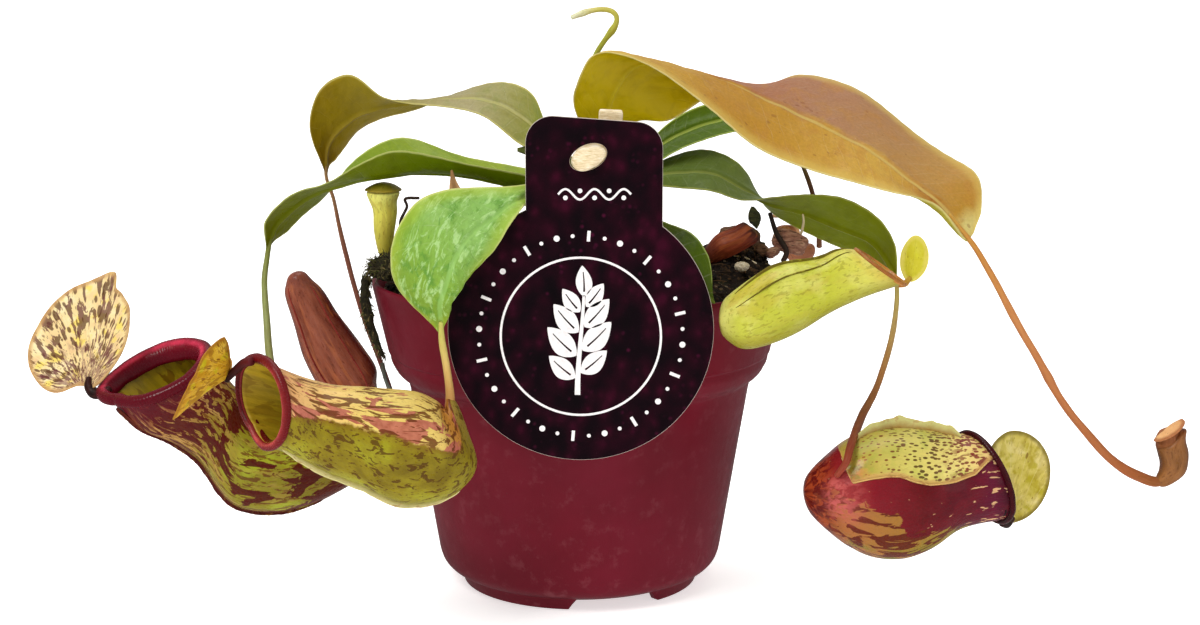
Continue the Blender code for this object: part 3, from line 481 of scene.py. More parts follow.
# midrib, near margin, far margin
BLADES = {
    "leaf_upper_left": [
            ((-1, 7, 119), (-1, 6, 117), (0, 8, 121)),
            ((-9, 9, 127), (-11, 5, 124), (-9, 12, 131)),
            ((-16, 13, 134), (-18, 6, 128), (-14, 19, 141)),
            ((-27, 18, 139), (-28, 12, 135), (-24, 25, 144)),
            ((-39, 22, 139), (-39, 17, 137), (-37, 29, 140)),
            ((-50, 27, 138), (-51, 21, 138), (-50, 33, 135)),
            ((-60, 31, 136), (-59, 22, 140), (-60, 38, 132)),
            ((-68, 35, 133), (-68, 24, 146), (-68, 42, 128)),
            ((-75, 38, 127), (-78, 29, 141), (-73, 43, 122)),
            ((-78, 40, 121), (-82, 34, 128), (-76, 43, 118)),
            ((-78, 41, 114), (-79, 40, 115), (-77, 42, 115)),
        ],
    "leaf_mid_left": [
            ((0, -2, 115), (0, -4, 114), (0, -1, 117)),
            ((-8, -6, 116), (-8, -9, 118), (-7, -2, 120)),
            ((-17, -8, 117), (-16, -14, 121), (-17, 2, 121)),
            ((-30, -9, 120), (-30, -18, 124), (-34, 4, 124)),
            ((-43, -8, 121), (-42, -19, 127), (-48, 5, 129)),
            ((-54, -6, 120), (-52, -18, 128), (-57, 6, 128)),
            ((-64, -4, 118), (-61, -14, 124), (-66, 6, 122)),
            ((-74, -3, 115), (-71, -11, 118), (-74, 6, 112)),
            ((-81, -4, 111), (-81, -12, 115), (-80, 3, 107)),
            ((-87, -6, 105), (-89, -12, 107), (-85, 0, 102)),
            ((-89, -8, 98), (-90, -10, 99), (-89, -6, 98)),
        ],
    "leaf_front_left": [
            ((3, -3, 109), (2, -3, 110), (4, -3, 108)),
            ((0, -22, 114), (0, -21, 117), (0, -23, 112)),
            ((-6, -40, 118), (-6, -38, 121), (-6, -42, 116)),
            ((-13, -58, 120), (-13, -55, 123), (-13, -59, 118)),
            ((-17, -64, 119), (-18, -60, 123), (-14, -65, 118)),
            ((-21, -67, 116), (-25, -62, 123), (-18, -68, 113)),
            ((-27, -71, 112), (-33, -66, 123), (-21, -69, 108)),
            ((-31, -73, 106), (-41, -68, 120), (-26, -69, 103)),
            ((-33, -73, 100), (-47, -67, 111), (-30, -68, 99)),
            ((-35, -71, 94), (-48, -65, 102), (-33, -67, 95)),
            ((-35, -69, 90), (-45, -65, 94), (-34, -67, 90)),
            ((-35, -67, 85), (-36, -67, 85), (-34, -67, 85)),
        ],
    "leaf_upper_right": [
            ((8, 0, 122), (7, -1, 122), (9, 1, 121)),
            ((7, -10, 134), (-1, -18, 139), (15, -6, 135)),
            ((10, -16, 145), (0, -28, 148), (25, -6, 135)),
            ((17, -14, 152), (6, -30, 156), (34, -2, 140)),
            ((30, -8, 150), (23, -26, 150), (41, 8, 143)),
            ((44, -3, 145), (37, -22, 139), (52, 16, 142)),
            ((57, -2, 139), (49, -20, 129), (65, 22, 146)),
            ((70, -4, 133), (63, -20, 123), (80, 20, 143)),
            ((82, -8, 127), (78, -21, 119), (93, 14, 134)),
            ((93, -13, 119), (90, -22, 116), (106, 4, 124)),
            ((102, -17, 112), (100, -20, 113), (114, -6, 119)),
            ((109, -19, 103), (108, -20, 103), (113, -16, 107)),
        ],
    "leaf_mid_right": [
            ((9, 4, 112), (9, 2, 111), (9, 6, 113)),
            ((18, 9, 117), (18, 6, 115), (19, 14, 119)),
            ((30, 15, 118), (30, 10, 114), (31, 24, 123)),
            ((40, 19, 117), (39, 11, 113), (40, 29, 123)),
            ((49, 21, 112), (48, 13, 110), (49, 29, 118)),
            ((57, 22, 108), (58, 13, 111), (56, 30, 106)),
            ((68, 21, 105), (68, 10, 112), (65, 28, 100)),
            ((78, 18, 101), (78, 8, 111), (74, 26, 96)),
            ((86, 14, 98), (88, 6, 105), (82, 22, 93)),
            ((91, 10, 92), (93, 5, 96), (89, 15, 90)),
            ((93, 7, 87), (94, 6, 88), (92, 8, 88)),
        ],
    "leaf_small_back": [
            ((8, 7, 117), (8, 6, 116), (8, 8, 118)),
            ((17, 14, 121), (18, 10, 119), (17, 18, 123)),
            ((27, 24, 127), (30, 17, 125), (26, 28, 131)),
            ((39, 32, 131), (41, 24, 128), (37, 36, 136)),
            ((51, 36, 132), (52, 29, 129), (50, 41, 136)),
            ((61, 36, 127), (61, 32, 125), (61, 40, 131)),
            ((67, 33, 119), (66, 32, 120), (67, 34, 120)),
        ],
    "leaf_small_right": [
            ((6, -2, 107), (7, -2, 108), (5, -2, 106)),
            ((14, -30, 110), (15, -28, 112), (13, -31, 107)),
            ((22, -48, 108), (25, -45, 111), (20, -50, 104)),
            ((28, -55, 104), (31, -52, 109), (24, -57, 100)),
            ((32, -57, 98), (35, -55, 103), (28, -59, 96)),
            ((34, -58, 94), (37, -56, 97), (32, -59, 93)),
            ((36, -58, 92), (37, -58, 92), (35, -59, 92)),
        ],
    "leaf_stub": [
            ((1, 0, 122), (1, -1, 121), (1, 1, 123)),
            ((-6, -7, 124), (-6, -8, 122), (-6, -6, 126)),
            ((-13, -13, 127), (-13, -14, 125), (-13, -12, 130)),
            ((-17, -16, 128), (-17, -17, 126), (-17, -15, 130)),
        ],
    "dry_leaf_tip": [
            ((-2, -3, 105), (-2, -3, 104), (-2, -3, 106)),
            ((-20, -20, 107), (-20, -20, 105), (-20, -21, 109)),
            ((-31, -25, 113), (-33, -25, 111), (-29, -25, 114)),
            ((-34, -24, 118), (-36, -24, 117), (-32, -24, 118)),
            ((-35, -23, 123), (-36, -23, 123), (-34, -23, 123)),
        ],
}

# radii at the ends, then points
TENDRILS = {
    "tendril_upper_left": (
        (0.75, 0.85),
        [(-78, 41, 113), (-76, 41, 107), (-74, 40, 97), (-70, 38, 81), (-66, 34, 69),
         (-61, 28, 58), (-57, 22, 48), (-56, 18, 43)],
    ),
    "tendril_mid_left": (
        (1.1, 0.9),
        [(-89, -9, 96), (-89.4, -12, 90), (-88.3, -17, 80), (-86.5, -24, 70), (-83, -33, 59),
         (-74, -38, 48), (-63, -34, 41), (-56, -26, 41), (-55, -21, 42)],
    ),
    "tendril_front_left": (
        (1.0, 1.3),
        [(-35, -67, 84), (-34, -66, 77), (-33, -67, 70)],
    ),
    "tendril_upper_right": (
        (1.1, 1.6),
        [(111, -19, 101), (117, -20, 91), (123, -21, 80), (129, -22, 70), (136, -23, 58),
         (144, -23, 48), (153, -22, 39), (163, -22, 34)],
    ),
    "tendril_mid_right": (
        (0.9, 1.3),
        [(93, 6, 86), (92.4, 2, 79), (89.5, -8, 71), (84.3, -20, 61), (79, -30, 55),
         (74, -46, 50), (70, -52, 42), (68, -53, 37)],
    ),
    "tendril_small_back": (
        (0.7, 0.9),
        [(67, 34, 119), (70, 36, 112), (72, 37, 105), (73, 36, 98), (73, 34, 93)],
    ),
    "tendril_small_yellow": (
        (0.9, 0.9),
        [(-1, 3, 101), (-18, 4, 99), (-38, 3, 96), (-51, 1, 93), (-55, 0, 93)],
    ),
    "young_hook": (
        (1.15, 0.75),
        [(5, 5, 132), (4, 4, 142), (4, 2, 151), (7, 1, 157), (10, 0, 161), (11, 0, 164),
         (9, 0, 166), (4, 0, 166), (-2, -1, 164)],
    ),
}

# cavity start, base, then lower point, upper point and half side
OPEN_PITCHERS = {
    "pitcher_far_left": (
        4.6,
        (-56, -19, 42),
        [
            ((-59, -19, 38), (-61, -19, 46), (0, 4, 0)),
            ((-65, -21, 33), (-68, -21, 49), (0, 8, 0)),
            ((-78, -23, 27), (-80, -23, 50), (0, 11, 0)),
            ((-90, -24, 26), (-89, -24, 51), (0, 12, 0)),
            ((-99, -25, 30), (-94, -25, 56), (0, 12, 1)),
            ((-106.4, -26, 41.6), (-96, -26, 61), (0, 11, 1)),
            ((-114, -27, 48), (-99, -27, 65), (0, 11, 2)),
            ((-123, -28, 53), (-101, -28, 69), (0, 10, 4)),
            ((-132.4, -29, 62.3), (-104, -29, 72), (1, 9, 5)),
        ],
    ),
    "pitcher_front_left": (
        5.0,
        (-33, -67, 69),
        [
            ((-31, -67, 67), (-34, -67, 68), (0, 2, 0)),
            ((-28, -68, 59), (-34, -68, 66), (0, 4, 0)),
            ((-26, -69, 51), (-35, -69, 66), (0, 7, 0)),
            ((-30, -70, 45), (-36, -70, 68), (0, 10, 0)),
            ((-37, -71, 42), (-41, -71, 71), (0, 11, 0)),
            ((-46, -72, 42), (-49, -72, 72), (0, 12, 0)),
            ((-55, -74, 47), (-56, -74, 73), (0, 11, 0)),
            ((-64, -75, 51), (-64, -75, 74), (0, 10, 0)),
            ((-73, -77, 56), (-72, -77, 77), (-3, 10, 0)),
            ((-80, -79, 59), (-80, -79, 81), (-7, 8, 0)),
        ],
    ),
    "pitcher_rim": (
        1.6,
        (37, -60, 88),
        [
            ((39, -60, 83), (39, -60, 93), (0, 4, 0)),
            ((44, -60, 80), (43, -60, 97), (0, 8, 0)),
            ((56, -57, 83), (52, -57, 102), (0, 9, 0)),
            ((67, -54, 89), (63, -54, 103), (0, 8, 0)),
            ((77, -52, 93), (69, -52, 105), (0, 7, 0)),
            ((87, -50, 96), (74, -50, 105), (0, 7, 0)),
        ],
    ),
    "pitcher_lower_right": (
        1.6,
        (62, -38, 35),
        [
            ((66, -38, 28), (65, -38, 40), (0, 6, 0)),
            ((72, -38, 22), (70, -38, 47), (0, 11, 0)),
            ((81, -37, 17), (79, -37, 52), (0, 14, 0)),
            ((90, -36, 16), (89, -36, 53), (0, 14, 0)),
            ((98, -36, 19), (98, -36, 52), (0, 13, 0)),
            ((105, -35, 24), (104, -35, 51), (-1, 12, 0)),
            ((111, -35, 26), (106, -35, 51), (-3, 11, 0)),
            ((116.9, -35, 26.8), (109, -35, 51), (-5, 10, 0)),
        ],
    ),
}

# base, lower point, upper point and side radius, end
CLOSED_PITCHERS = {
    "pitcher_red": (
        (-58, 14, 42),
        [
            ((-61, 14, 42), (-60, 14, 48), 3),
            ((-67, 14, 44), (-61, 14, 54), 5),
            ((-76, 13, 51), (-61, 13, 60), 7),
            ((-82, 12, 62), (-66, 12, 68), 7),
            ((-85, 10, 75), (-72, 10, 77), 6),
            ((-87, 9, 83), (-76, 9, 84), 5),
            ((-86, 8, 87), (-80, 8, 88), 3),
        ],
        (-83, 8, 90),
    ),
    "pitcher_young": (
        (164, -22, 34),
        [
            ((167, -22, 32), (166, -22, 37), 2),
            ((172, -22, 36), (165, -22, 40), 4),
            ((173, -22, 42), (164, -22, 43), 4),
            ((172, -22, 46), (164, -22, 44), 4),
            ((172, -22, 49), (167, -22, 46), 3),
        ],
        (170, -22, 49),
    ),
    "pitcher_small_yellow": (
        (-56, 0, 94),
        [
            ((-58, -2, 97), (-54, -2, 97), 2),
            ((-59, -3, 103), (-53, -3, 103), 3),
            ((-59, -4, 109), (-52, -4, 109), 3),
            ((-60, -4, 112), (-52, -4, 112), 4),
            ((-61, -4, 114.6), (-51, -4, 114.6), 4.6),
        ],
        (-56, -4, 115.3),
    ),
    "pitcher_small_back": (
        (72, 34, 92),
        [
            ((70, 34, 89), (70, 34, 94), 2),
            ((65, 34, 88), (67, 34, 94), 2),
            ((61, 34, 93), (67, 34, 95), 3),
            ((59, 34, 98), (67, 34, 98), 3),
        ],
        (63, 34, 100),
    ),
    "dry_pitcher": (
        (36, -4, 95),
        [
            ((38, -4, 94), (36, -4, 98), 2),
            ((43, -4, 96), (39, -4, 102), 4),
            ((49, -4, 99), (44, -4, 104), 4),
            ((52, -4, 101), (47, -4, 106), 3),
        ],
        (50, -4, 104),
    ),
}

# hinge, tip, half-widths, dome, outline
LIDS = {
    "lid_far_left": (
        (-137, -27, 64), (-130, -23, 95), (9.5, -6, 2), (-20.5, 1, -3), 2.0, "heart"),
    "lid_front_left": (
        (-89, -73, 76), (-102, -84, 66.5), (0, -8, 10), (-1, 8, 5), 0.5, "folded"),
    "lid_rim": (
        (88.9, -46.4, 95.8), (90.6, -45.4, 108.0), (3.3, -1.5, -0.3), (-3.0, 1.6, 0.3), 1.0, "round"),
    "lid_lower_right": (
        (122.6, -27, 23.2), (122.8, -22, 48.6), (11.8, 5, 0), (-8.5, -3.6, 0), 1.5, "round"),
    "lid_small_yellow": (
        (-56, 2, 115), (-56, -9, 115), (5, 0, 0), (-5, 0, 0), 2.0, "round"),
    "lid_small_back": (
        (66, 34, 101), (58, 33, 102), (0, -4, 1), (0, 4, 1), 1.0, "round"),
    "lid_young": (
        (171, -22, 52), (163, -23, 46), (1, -4, 0), (1, 4, 0), 0.6, "round"),
}

# across and along, round the middle of the hinge and the tip
OUTLINES = {
    "round": [
        (0.0, 1.0), (0.71, 0.71), (1.0, 0.0), (0.71, -0.71), (0.0, -0.98), (-0.71, -0.71), (-1.0, 0.0), (-0.71, 0.71),
    ],
    "heart": [
        (0.0, 0.97), (0.20, 0.86), (0.27, 0.66), (0.64, 0.44), (0.92, 0.18), (1.03, -0.08), (1.03, -0.33), (0.91, -0.55),
        (0.72, -0.77), (0.52, -0.94), (0.31, -1.08), (0.10, -1.12), (-0.05, -1.04), (-0.19, -1.02), (-0.30, -1.10),
        (-0.44, -1.12), (-0.61, -1.02), (-0.75, -0.85), (-0.87, -0.63), (-0.94, -0.37), (-0.95, -0.08), (-0.89, 0.16),
        (-0.81, 0.41), (-0.69, 0.62), (-0.53, 0.77), (-0.30, 0.85), (-0.12, 0.92),
    ],
    "folded": [
        (0.0, 1.02), (0.12, 0.84), (0.26, 0.70), (0.36, 0.56), (0.50, 0.35), (0.74, 0.02), (1.05, -0.31), (1.12, -0.70),
        (1.12, -1.10), (0.45, -1.12), (0.0, -1.0), (-0.40, -1.05), (-0.85, -0.90), (-0.98, -0.50), (-0.85, -0.20),
        (-0.62, 0.05), (-0.42, 0.40), (-0.20, 0.74),
    ],
}


# ------------------------------------------------------------------ leaves
def leaf_paint(name, upper, under, margin, midrib, near=None, mottle=0.25, mottle_colour=(120, 130, 60),
               far_light=None, spots=0.0, spot_colour=(96, 60, 30), gloss=0.34, rib_under=(150, 150, 70),
               vein=0.35, edge_width=0.55, rim_blush=None, under_far=None, painted_sheen_colour=None):
    """Leaf skin. upper and under are colour stops along the leaf; near holds stops of the near half of the upper side."""
    p = Paint(name, gloss, 0.11, 0.08, (1.0, 0.8, 0.2), 0.0016, coat=0.03, coat_roughness=0.3)
    al, ac, am, cm = p.attr("al"), p.attr("ac"), p.attr("am"), p.attr("cm")
    ed, up = p.attr("ed"), p.attr("up")
    place = p.combine(am, cm, p.math("MULTIPLY", up, 40.0))
    drift = p.math("MULTIPLY", p.math("SUBTRACT", p.noise(0.05, 3, 0.55, place), 0.5), 0.22)
    along = p.math("ADD", al, drift)
    top = p.ramp(along, upper)
    if near:
        half = p.math("ADD", ac, p.math("MULTIPLY", p.math("SUBTRACT", p.noise(0.11, 4, 0.6, place), 0.5), 0.5))
        top = p.mix(p.span(half, 0.16, -0.10), top, p.ramp(along, near))
    # clouds of other green, then fine grain
    cloud = p.noise(0.16, 5, 0.62, p.stretch(place, 1.0, 0.8, 1.0), 0.6)
    top = p.mix(p.math("MULTIPLY", p.span(cloud, 0.48, 0.66), mottle), top, mottle_colour)
    if painted_sheen_colour:
        # painted sheen: pale flecks drawn out toward the tip stand in for a whitish reflection on the leaf
        painted_sheen_mask = p.noise(1.0, 5, 0.7, p.stretch(place, 0.22, 0.5, 1.0, (9.0, 4.0, 0.0)), 0.7)
        top = p.mix(p.math("MULTIPLY", p.span(painted_sheen_mask, 0.50, 0.62), 0.75), top, painted_sheen_colour)
        moss = p.noise(1.0, 4, 0.65, p.stretch(place, 0.45, 0.6, 1.0, (1.0, 8.0, 0.0)), 0.5)
        top = p.mix(p.math("MULTIPLY", p.span(moss, 0.55, 0.66), 0.6), top, mottle_colour)
    grain = p.noise(1.1, 4, 0.6, place)
    top = p.mix(p.span(grain, 0.3, 0.7, 0.0, 0.30), top, p.mix(1.0, top, (196, 196, 176), "MULTIPLY"))
    low = p.ramp(along, under)
    if under_far:
        low = p.mix(p.span(ac, -0.1, 0.9), low, p.ramp(along, under_far))
    low = p.mix(p.math("MULTIPLY", p.span(cloud, 0.44, 0.7), 0.35), low, p.mix(1.0, low, (196, 190, 150), "MULTIPLY"))
    # side veins that sweep toward the tip, and long veins beside the midrib
    side = p.math("ABSOLUTE", cm)
    bend = p.math("MULTIPLY", p.math("SUBTRACT", p.noise(0.09, 2, 0.5, place), 0.5), 5.0)
    sweep = p.math("ADD", p.math("SUBTRACT", am, p.math("MULTIPLY", side, 0.62)), bend)
    vein_line = p.math("ABSOLUTE", p.math("SUBTRACT", p.math("FRACT", p.math("MULTIPLY", sweep, 0.21)), 0.5))
    vein_line = p.span(vein_line, 0.44, 0.5, 0.0, 1.0)
    long_line = p.math("ABSOLUTE", p.math("SUBTRACT", p.math("FRACT", p.math("MULTIPLY", p.math("ABSOLUTE", ac), 2.6)), 0.5))
    long_line = p.math("MULTIPLY", p.span(long_line, 0.47, 0.5), p.span(side, 2.0, 4.0))
    faint = p.span(p.noise(0.13, 3, 0.6, place), 0.42, 0.62, 0.25, 1.0)
    lines = p.math("MULTIPLY", p.math("MAXIMUM", p.math("MULTIPLY", vein_line, 0.55), p.math("MULTIPLY", long_line, 0.4)), faint)
    lines = p.math("MULTIPLY", lines, p.span(side, 0.5, 2.0))
    top = p.mix(p.math("MULTIPLY", lines, vein * 0.28), top, p.mix(1.0, top, (255, 250, 220), "SCREEN"))
    low = p.mix(p.math("MULTIPLY", lines, 0.08), low, p.mix(0.4, low, (230, 230, 150)))
    if spots:
        dot = p.cells(0.42, p.stretch(place, 0.8, 1.0, 1.0), "F1", 1.0)
        keep = p.noise(0.10, 3, 0.6, place)
        size = p.span(keep, 0.46, 0.66, 0.03, 0.30)
        mark = p.span(p.math("SUBTRACT", size, dot), -0.05, 0.03)
        top = p.mix(p.math("MULTIPLY", mark, spots), top, spot_colour)
    # scuffs, dust and a few pale flecks
    fleck = p.span(p.noise(2.3, 2, 0.5, place), 0.70, 0.76)
    top = p.mix(p.math("MULTIPLY", fleck, 0.22), top, (226, 224, 190))
    rib = p.span(side, 0.85, 0.35)
    top = p.mix(p.math("MULTIPLY", rib, 0.75), top, midrib)
    low = p.mix(p.math("MULTIPLY", p.span(side, 1.0, 0.5), 0.35), low, rib_under)
    wander = p.math("MULTIPLY", p.noise(0.35, 3, 0.6, place), 0.45)
    edge = p.span(p.math("SUBTRACT", ed, wander), edge_width * 0.6, edge_width * 0.1 - 0.25)
    if rim_blush:
        wide = p.span(p.math("SUBTRACT", ed, p.math("MULTIPLY", wander, 3.0)), 4.2, 0.0)
        top = p.mix(p.math("MULTIPLY", wide, 0.55), top, rim_blush)
    top = p.mix(p.math("MULTIPLY", edge, 0.62), top, margin)
    low = p.mix(p.math("MULTIPLY", edge, 0.55), low, margin)
    colour = p.mix(p.span(up, 0.45, 0.55), low, top)
    rough = p.math("ADD", p.span(grain, 0.25, 0.75, gloss - 0.06, gloss + 0.10), p.math("MULTIPLY", p.span(cloud, 0.4, 0.7), 0.06))
    height = p.math("ADD", p.math("MULTIPLY", lines, -0.55), p.math("MULTIPLY", grain, 0.35))
    height = p.math("ADD", height, p.math("MULTIPLY", p.noise(0.34, 4, 0.55, place), 1.3))
    height = p.math("ADD", height, p.math("MULTIPLY", p.cells(0.75, place, "SMOOTH_F1"), 0.25))
    return p.finish(colour, rough, p.bump(height, 0.00030, 0.55))


def leaf(name, material, rows=144, cols=39, even=2.2, wave=0.55, quilt=0.35, slot="leaf_green", seed=0,
         upper_sign=None, thin=0.34, draw_in=9.0):
    """A blade: grooved above along the midrib, ribbed below it, thin and slightly wavy at the margins."""
    stations = BLADES[name]
    last = len(stations) - 1
    t = np.linspace(0, last, rows)
    m = soften(spl([s[0] for s in stations], t), even)
    a = soften(spl([s[1] for s in stations], t), even)
    b = soften(spl([s[2] for s in stations], t), even)
    # the last millimetres draw in to meet the tendril
    gone = np.concatenate([[0], np.cumsum(np.linalg.norm(np.diff(m, axis=0), axis=1))])
    near_end = (0.16 + 0.84 * smooth(gone[-1] - gone, -2.0, draw_in))[:, None] if draw_in else 1.0
    a, b = m + (a - m) * near_end, m + (b - m) * near_end
    u = np.linspace(-1, 1, cols)
    s = np.sign(u) * np.abs(u) ** 1.25
    g = m[:, None] + (b - a)[:, None] * 0.5 * s[None, :, None] + ((a + b) * 0.5 - m)[:, None] * (s**2)[None, :, None]
    normal = grid_normals(g)
    sign = upper_sign or (1.0 if normal[int(rows * 0.3) : int(rows * 0.8), cols // 2, 2].mean() > 0 else -1.0)
    normal = normal * sign
    am = np.concatenate([[0], np.cumsum(np.linalg.norm(np.diff(m, axis=0), axis=1))])
    am = np.broadcast_to(am[:, None], (rows, cols))
    step = np.linalg.norm(np.diff(g, axis=1), axis=2)
    run = np.concatenate([np.zeros((rows, 1)), np.cumsum(step, axis=1)], axis=1)
    cm = run - run[:, cols // 2][:, None]
    to_side = np.minimum(run, run[:, -1:] - run)
    ed = to_side + 1.5 * (1 - smooth(run[:, -1:] * 0.5, 0.8, 3.2))
    sa = np.abs(s)[None, :]
    q = np.stack([am * 0.085, cm * 0.05 + 3.0, np.full_like(am, seed * 3.7)], -1)
    flutter = noise3(q, seed) * wave * sa**2.2 * smooth(run[:, -1:] * 0.5, 2.0, 9.0)
    q2 = np.stack([am * 0.20, cm * 0.24, np.full_like(am, seed * 1.3 + 9)], -1)
    pillow = fbm(q2, seed + 5, 3) * quilt * smooth(to_side, 0, 3.0)
    groove = -0.50 * np.exp(-((cm / 0.75) ** 2)) + 0.16 * np.exp(-((np.abs(cm) - 1.7) ** 2) / 0.9)
    half = run[:, -1:] * 0.5
    groove = groove * smooth(half, 1.0, 4.0)
    mid = g + normal * (flutter + pillow)[..., None]
    body = thin * (0.45 + 0.55 * smooth(to_side, 0.0, 4.0))
    rib = 0.75 * np.exp(-((cm / 0.8) ** 2)) * smooth(half, 1.0, 4.0)
    veins = 0.05 * np.cos(TAU * (am - 0.62 * np.abs(cm)) * 0.21) * smooth(np.abs(cm), 1.0, 4.0)
    points, faces, side, index = shell(mid, normal, body + groove + veins, body + rib - veins * 0.6, 0.4)
    pick = lambda x: np.broadcast_to(x, (rows, cols)).reshape(-1)[index]
    al = am / am[-1, 0]
    return piece(
        name + "_skin", points, faces, material,
        {"al": pick(al), "ac": pick(s[None, :] + 0 * al), "am": pick(am), "cm": pick(cm), "ed": pick(ed), "up": side},
        (name,), slot,
    )


def make_leaves():
    a = leaf_paint(
        "upper_left_green",
        [(0.0, (96, 124, 20)), (0.10, (124, 140, 40)), (0.22, (140, 138, 66)), (0.42, (160, 150, 108)),
         (0.58, (150, 138, 74)), (0.8, (140, 120, 44)), (1.0, (128, 96, 36))],
        [(0.0, (124, 130, 16)), (0.35, (124, 124, 6)), (0.6, (140, 124, 3)), (0.82, (136, 116, 2)), (1.0, (112, 84, 4))],
        (206, 196, 120), (176, 172, 108), mottle=0.45, mottle_colour=(122, 134, 62),
        rib_under=(146, 128, 44), gloss=0.30, spots=0.12, spot_colour=(110, 76, 52), edge_width=0.9,
    )
    leaf("leaf_upper_left", a, slot="leaf_bronze", seed=1, wave=0.5)
    b = leaf_paint(
        "mid_left_green",
        [(0.0, (110, 136, 24)), (0.2, (140, 158, 44)), (0.45, (132, 152, 44)), (0.75, (112, 134, 36)), (1.0, (104, 124, 28))],
        [(0.0, (94, 120, 3)), (0.4, (98, 120, 2)), (0.75, (108, 122, 2)), (1.0, (104, 108, 4))],
        (206, 212, 134), (180, 192, 104), mottle=0.4, mottle_colour=(104, 130, 44), gloss=0.30,
        rib_under=(128, 134, 46), edge_width=0.8,
    )
    leaf("leaf_mid_left", b, seed=2, wave=0.45)
    # the pale flecks on this leaf are a painted sheen
    c = leaf_paint(
        "front_left_green",
        [(0.0, (96, 130, 56)), (0.3, (112, 156, 68)), (0.5, (128, 176, 82)), (0.72, (136, 178, 92)),
         (0.88, (124, 162, 56)), (1.0, (116, 142, 44))],
        [(0.0, (104, 120, 30)), (1.0, (120, 134, 30))],
        (206, 206, 130), (142, 184, 96), mottle=0.9, mottle_colour=(92, 142, 52), gloss=0.36,
        painted_sheen_colour=(176, 212, 140), vein=0.3, rim_blush=(160, 178, 50), edge_width=0.9, rib_under=(170, 180, 80),
    )
    leaf("leaf_front_left", c, seed=3, wave=0.5, quilt=0.55, even=2.6)
    d = leaf_paint(
        "upper_right_bronze",
        [(0.0, (164, 134, 34)), (0.3, (176, 124, 66)), (0.45, (164, 106, 76)), (0.65, (164, 118, 86)),
         (0.85, (174, 132, 70)), (0.95, (178, 132, 48)), (1.0, (206, 190, 116))],
        [(0.0, (180, 166, 10)), (0.15, (198, 174, 3)), (0.3, (196, 172, 3)), (0.45, (212, 188, 24)), (0.7, (160, 150, 24)), (1.0, (156, 146, 50))],
        (226, 214, 150), (196, 172, 98),
        near=[(0.0, (186, 160, 30)), (0.3, (196, 154, 52)), (0.45, (182, 132, 46)), (0.6, (180, 134, 46)),
              (0.78, (196, 156, 66)), (0.9, (160, 100, 30)), (0.96, (186, 150, 80)), (1.0, (222, 218, 160))],
        mottle=0.45, mottle_colour=(176, 124, 56), gloss=0.36, spots=0.4, spot_colour=(120, 66, 36),
        rib_under=(206, 188, 50), vein=0.3, edge_width=0.9, rim_blush=(204, 178, 92),
    )
    leaf("leaf_upper_right", d, rows=174, cols=49, slot="leaf_bronze", seed=4, wave=0.6, quilt=0.4, even=2.6, upper_sign=1.0, draw_in=3.0)
    f = leaf_paint(
        "mid_right_green",
        [(0.0, (104, 124, 50)), (0.25, (96, 116, 50)), (0.5, (112, 128, 66)), (0.8, (104, 120, 40)), (1.0, (96, 108, 26))],
        [(0.0, (108, 122, 3)), (0.5, (114, 126, 1)), (0.85, (118, 130, 2)), (1.0, (112, 116, 4))],
        (190, 196, 104), (140, 150, 80), mottle=0.4, mottle_colour=(84, 104, 40), gloss=0.32,
        rib_under=(132, 138, 36), edge_width=0.7,
    )
    leaf("leaf_mid_right", f, seed=5, wave=0.4)
    g = leaf_paint(
        "small_back_green",
        [(0.0, (64, 84, 3)), (0.5, (74, 98, 5)), (1.0, (84, 108, 12))],
        [(0.0, (94, 112, 6)), (0.5, (98, 118, 8)), (1.0, (108, 124, 20))],
        (178, 196, 90), (150, 164, 70), mottle=0.4, mottle_colour=(82, 108, 10), gloss=0.34,
        rib_under=(140, 152, 50), edge_width=0.6,
    )
    leaf("leaf_small_back", g, rows=98, cols=31, seed=6, wave=0.3, quilt=0.25)
    h = leaf_paint(
        "small_right_green",
        [(0.0, (50, 66, 4)), (0.5, (56, 74, 4)), (1.0, (70, 90, 10))],
        [(0.0, (68, 84, 6)), (0.5, (72, 88, 8)), (1.0, (80, 96, 16))],
        (166, 182, 98), (104, 122, 44), mottle=0.4, mottle_colour=(52, 70, 8), gloss=0.34,
        rib_under=(96, 110, 30), edge_width=0.7,
    )
    leaf("leaf_small_right", h, rows=98, cols=31, seed=7, wave=0.25, quilt=0.25)
    k = leaf_paint(
        "stub_green",
        [(0.0, (56, 74, 24)), (0.5, (66, 84, 26)), (1.0, (70, 74, 34))],
        [(0.0, (52, 66, 18)), (1.0, (60, 60, 26))],
        (120, 116, 60), (90, 100, 44), mottle=0.6, mottle_colour=(60, 46, 24), gloss=0.45,
        rib_under=(90, 96, 40), edge_width=0.5,
    )
    leaf("leaf_stub", k, rows=60, cols=21, seed=8, wave=0.15, quilt=0.15, even=1.0)
    dry = leaf_paint(
        "dry_tip_tan",
        [(0.0, (120, 92, 58)), (0.5, (168, 134, 92)), (0.8, (196, 160, 116)), (1.0, (178, 132, 84))],
        [(0.0, (112, 86, 52)), (0.5, (156, 122, 80)), (1.0, (170, 126, 80))],
        (206, 178, 132), (140, 104, 66), mottle=0.6, mottle_colour=(126, 92, 58), gloss=0.6,
        rib_under=(130, 96, 60), edge_width=0.4,
    )
    leaf("dry_leaf_tip", dry, rows=80, cols=21, seed=9, wave=0.3, quilt=0.25, even=1.2, slot="dry_leaf")


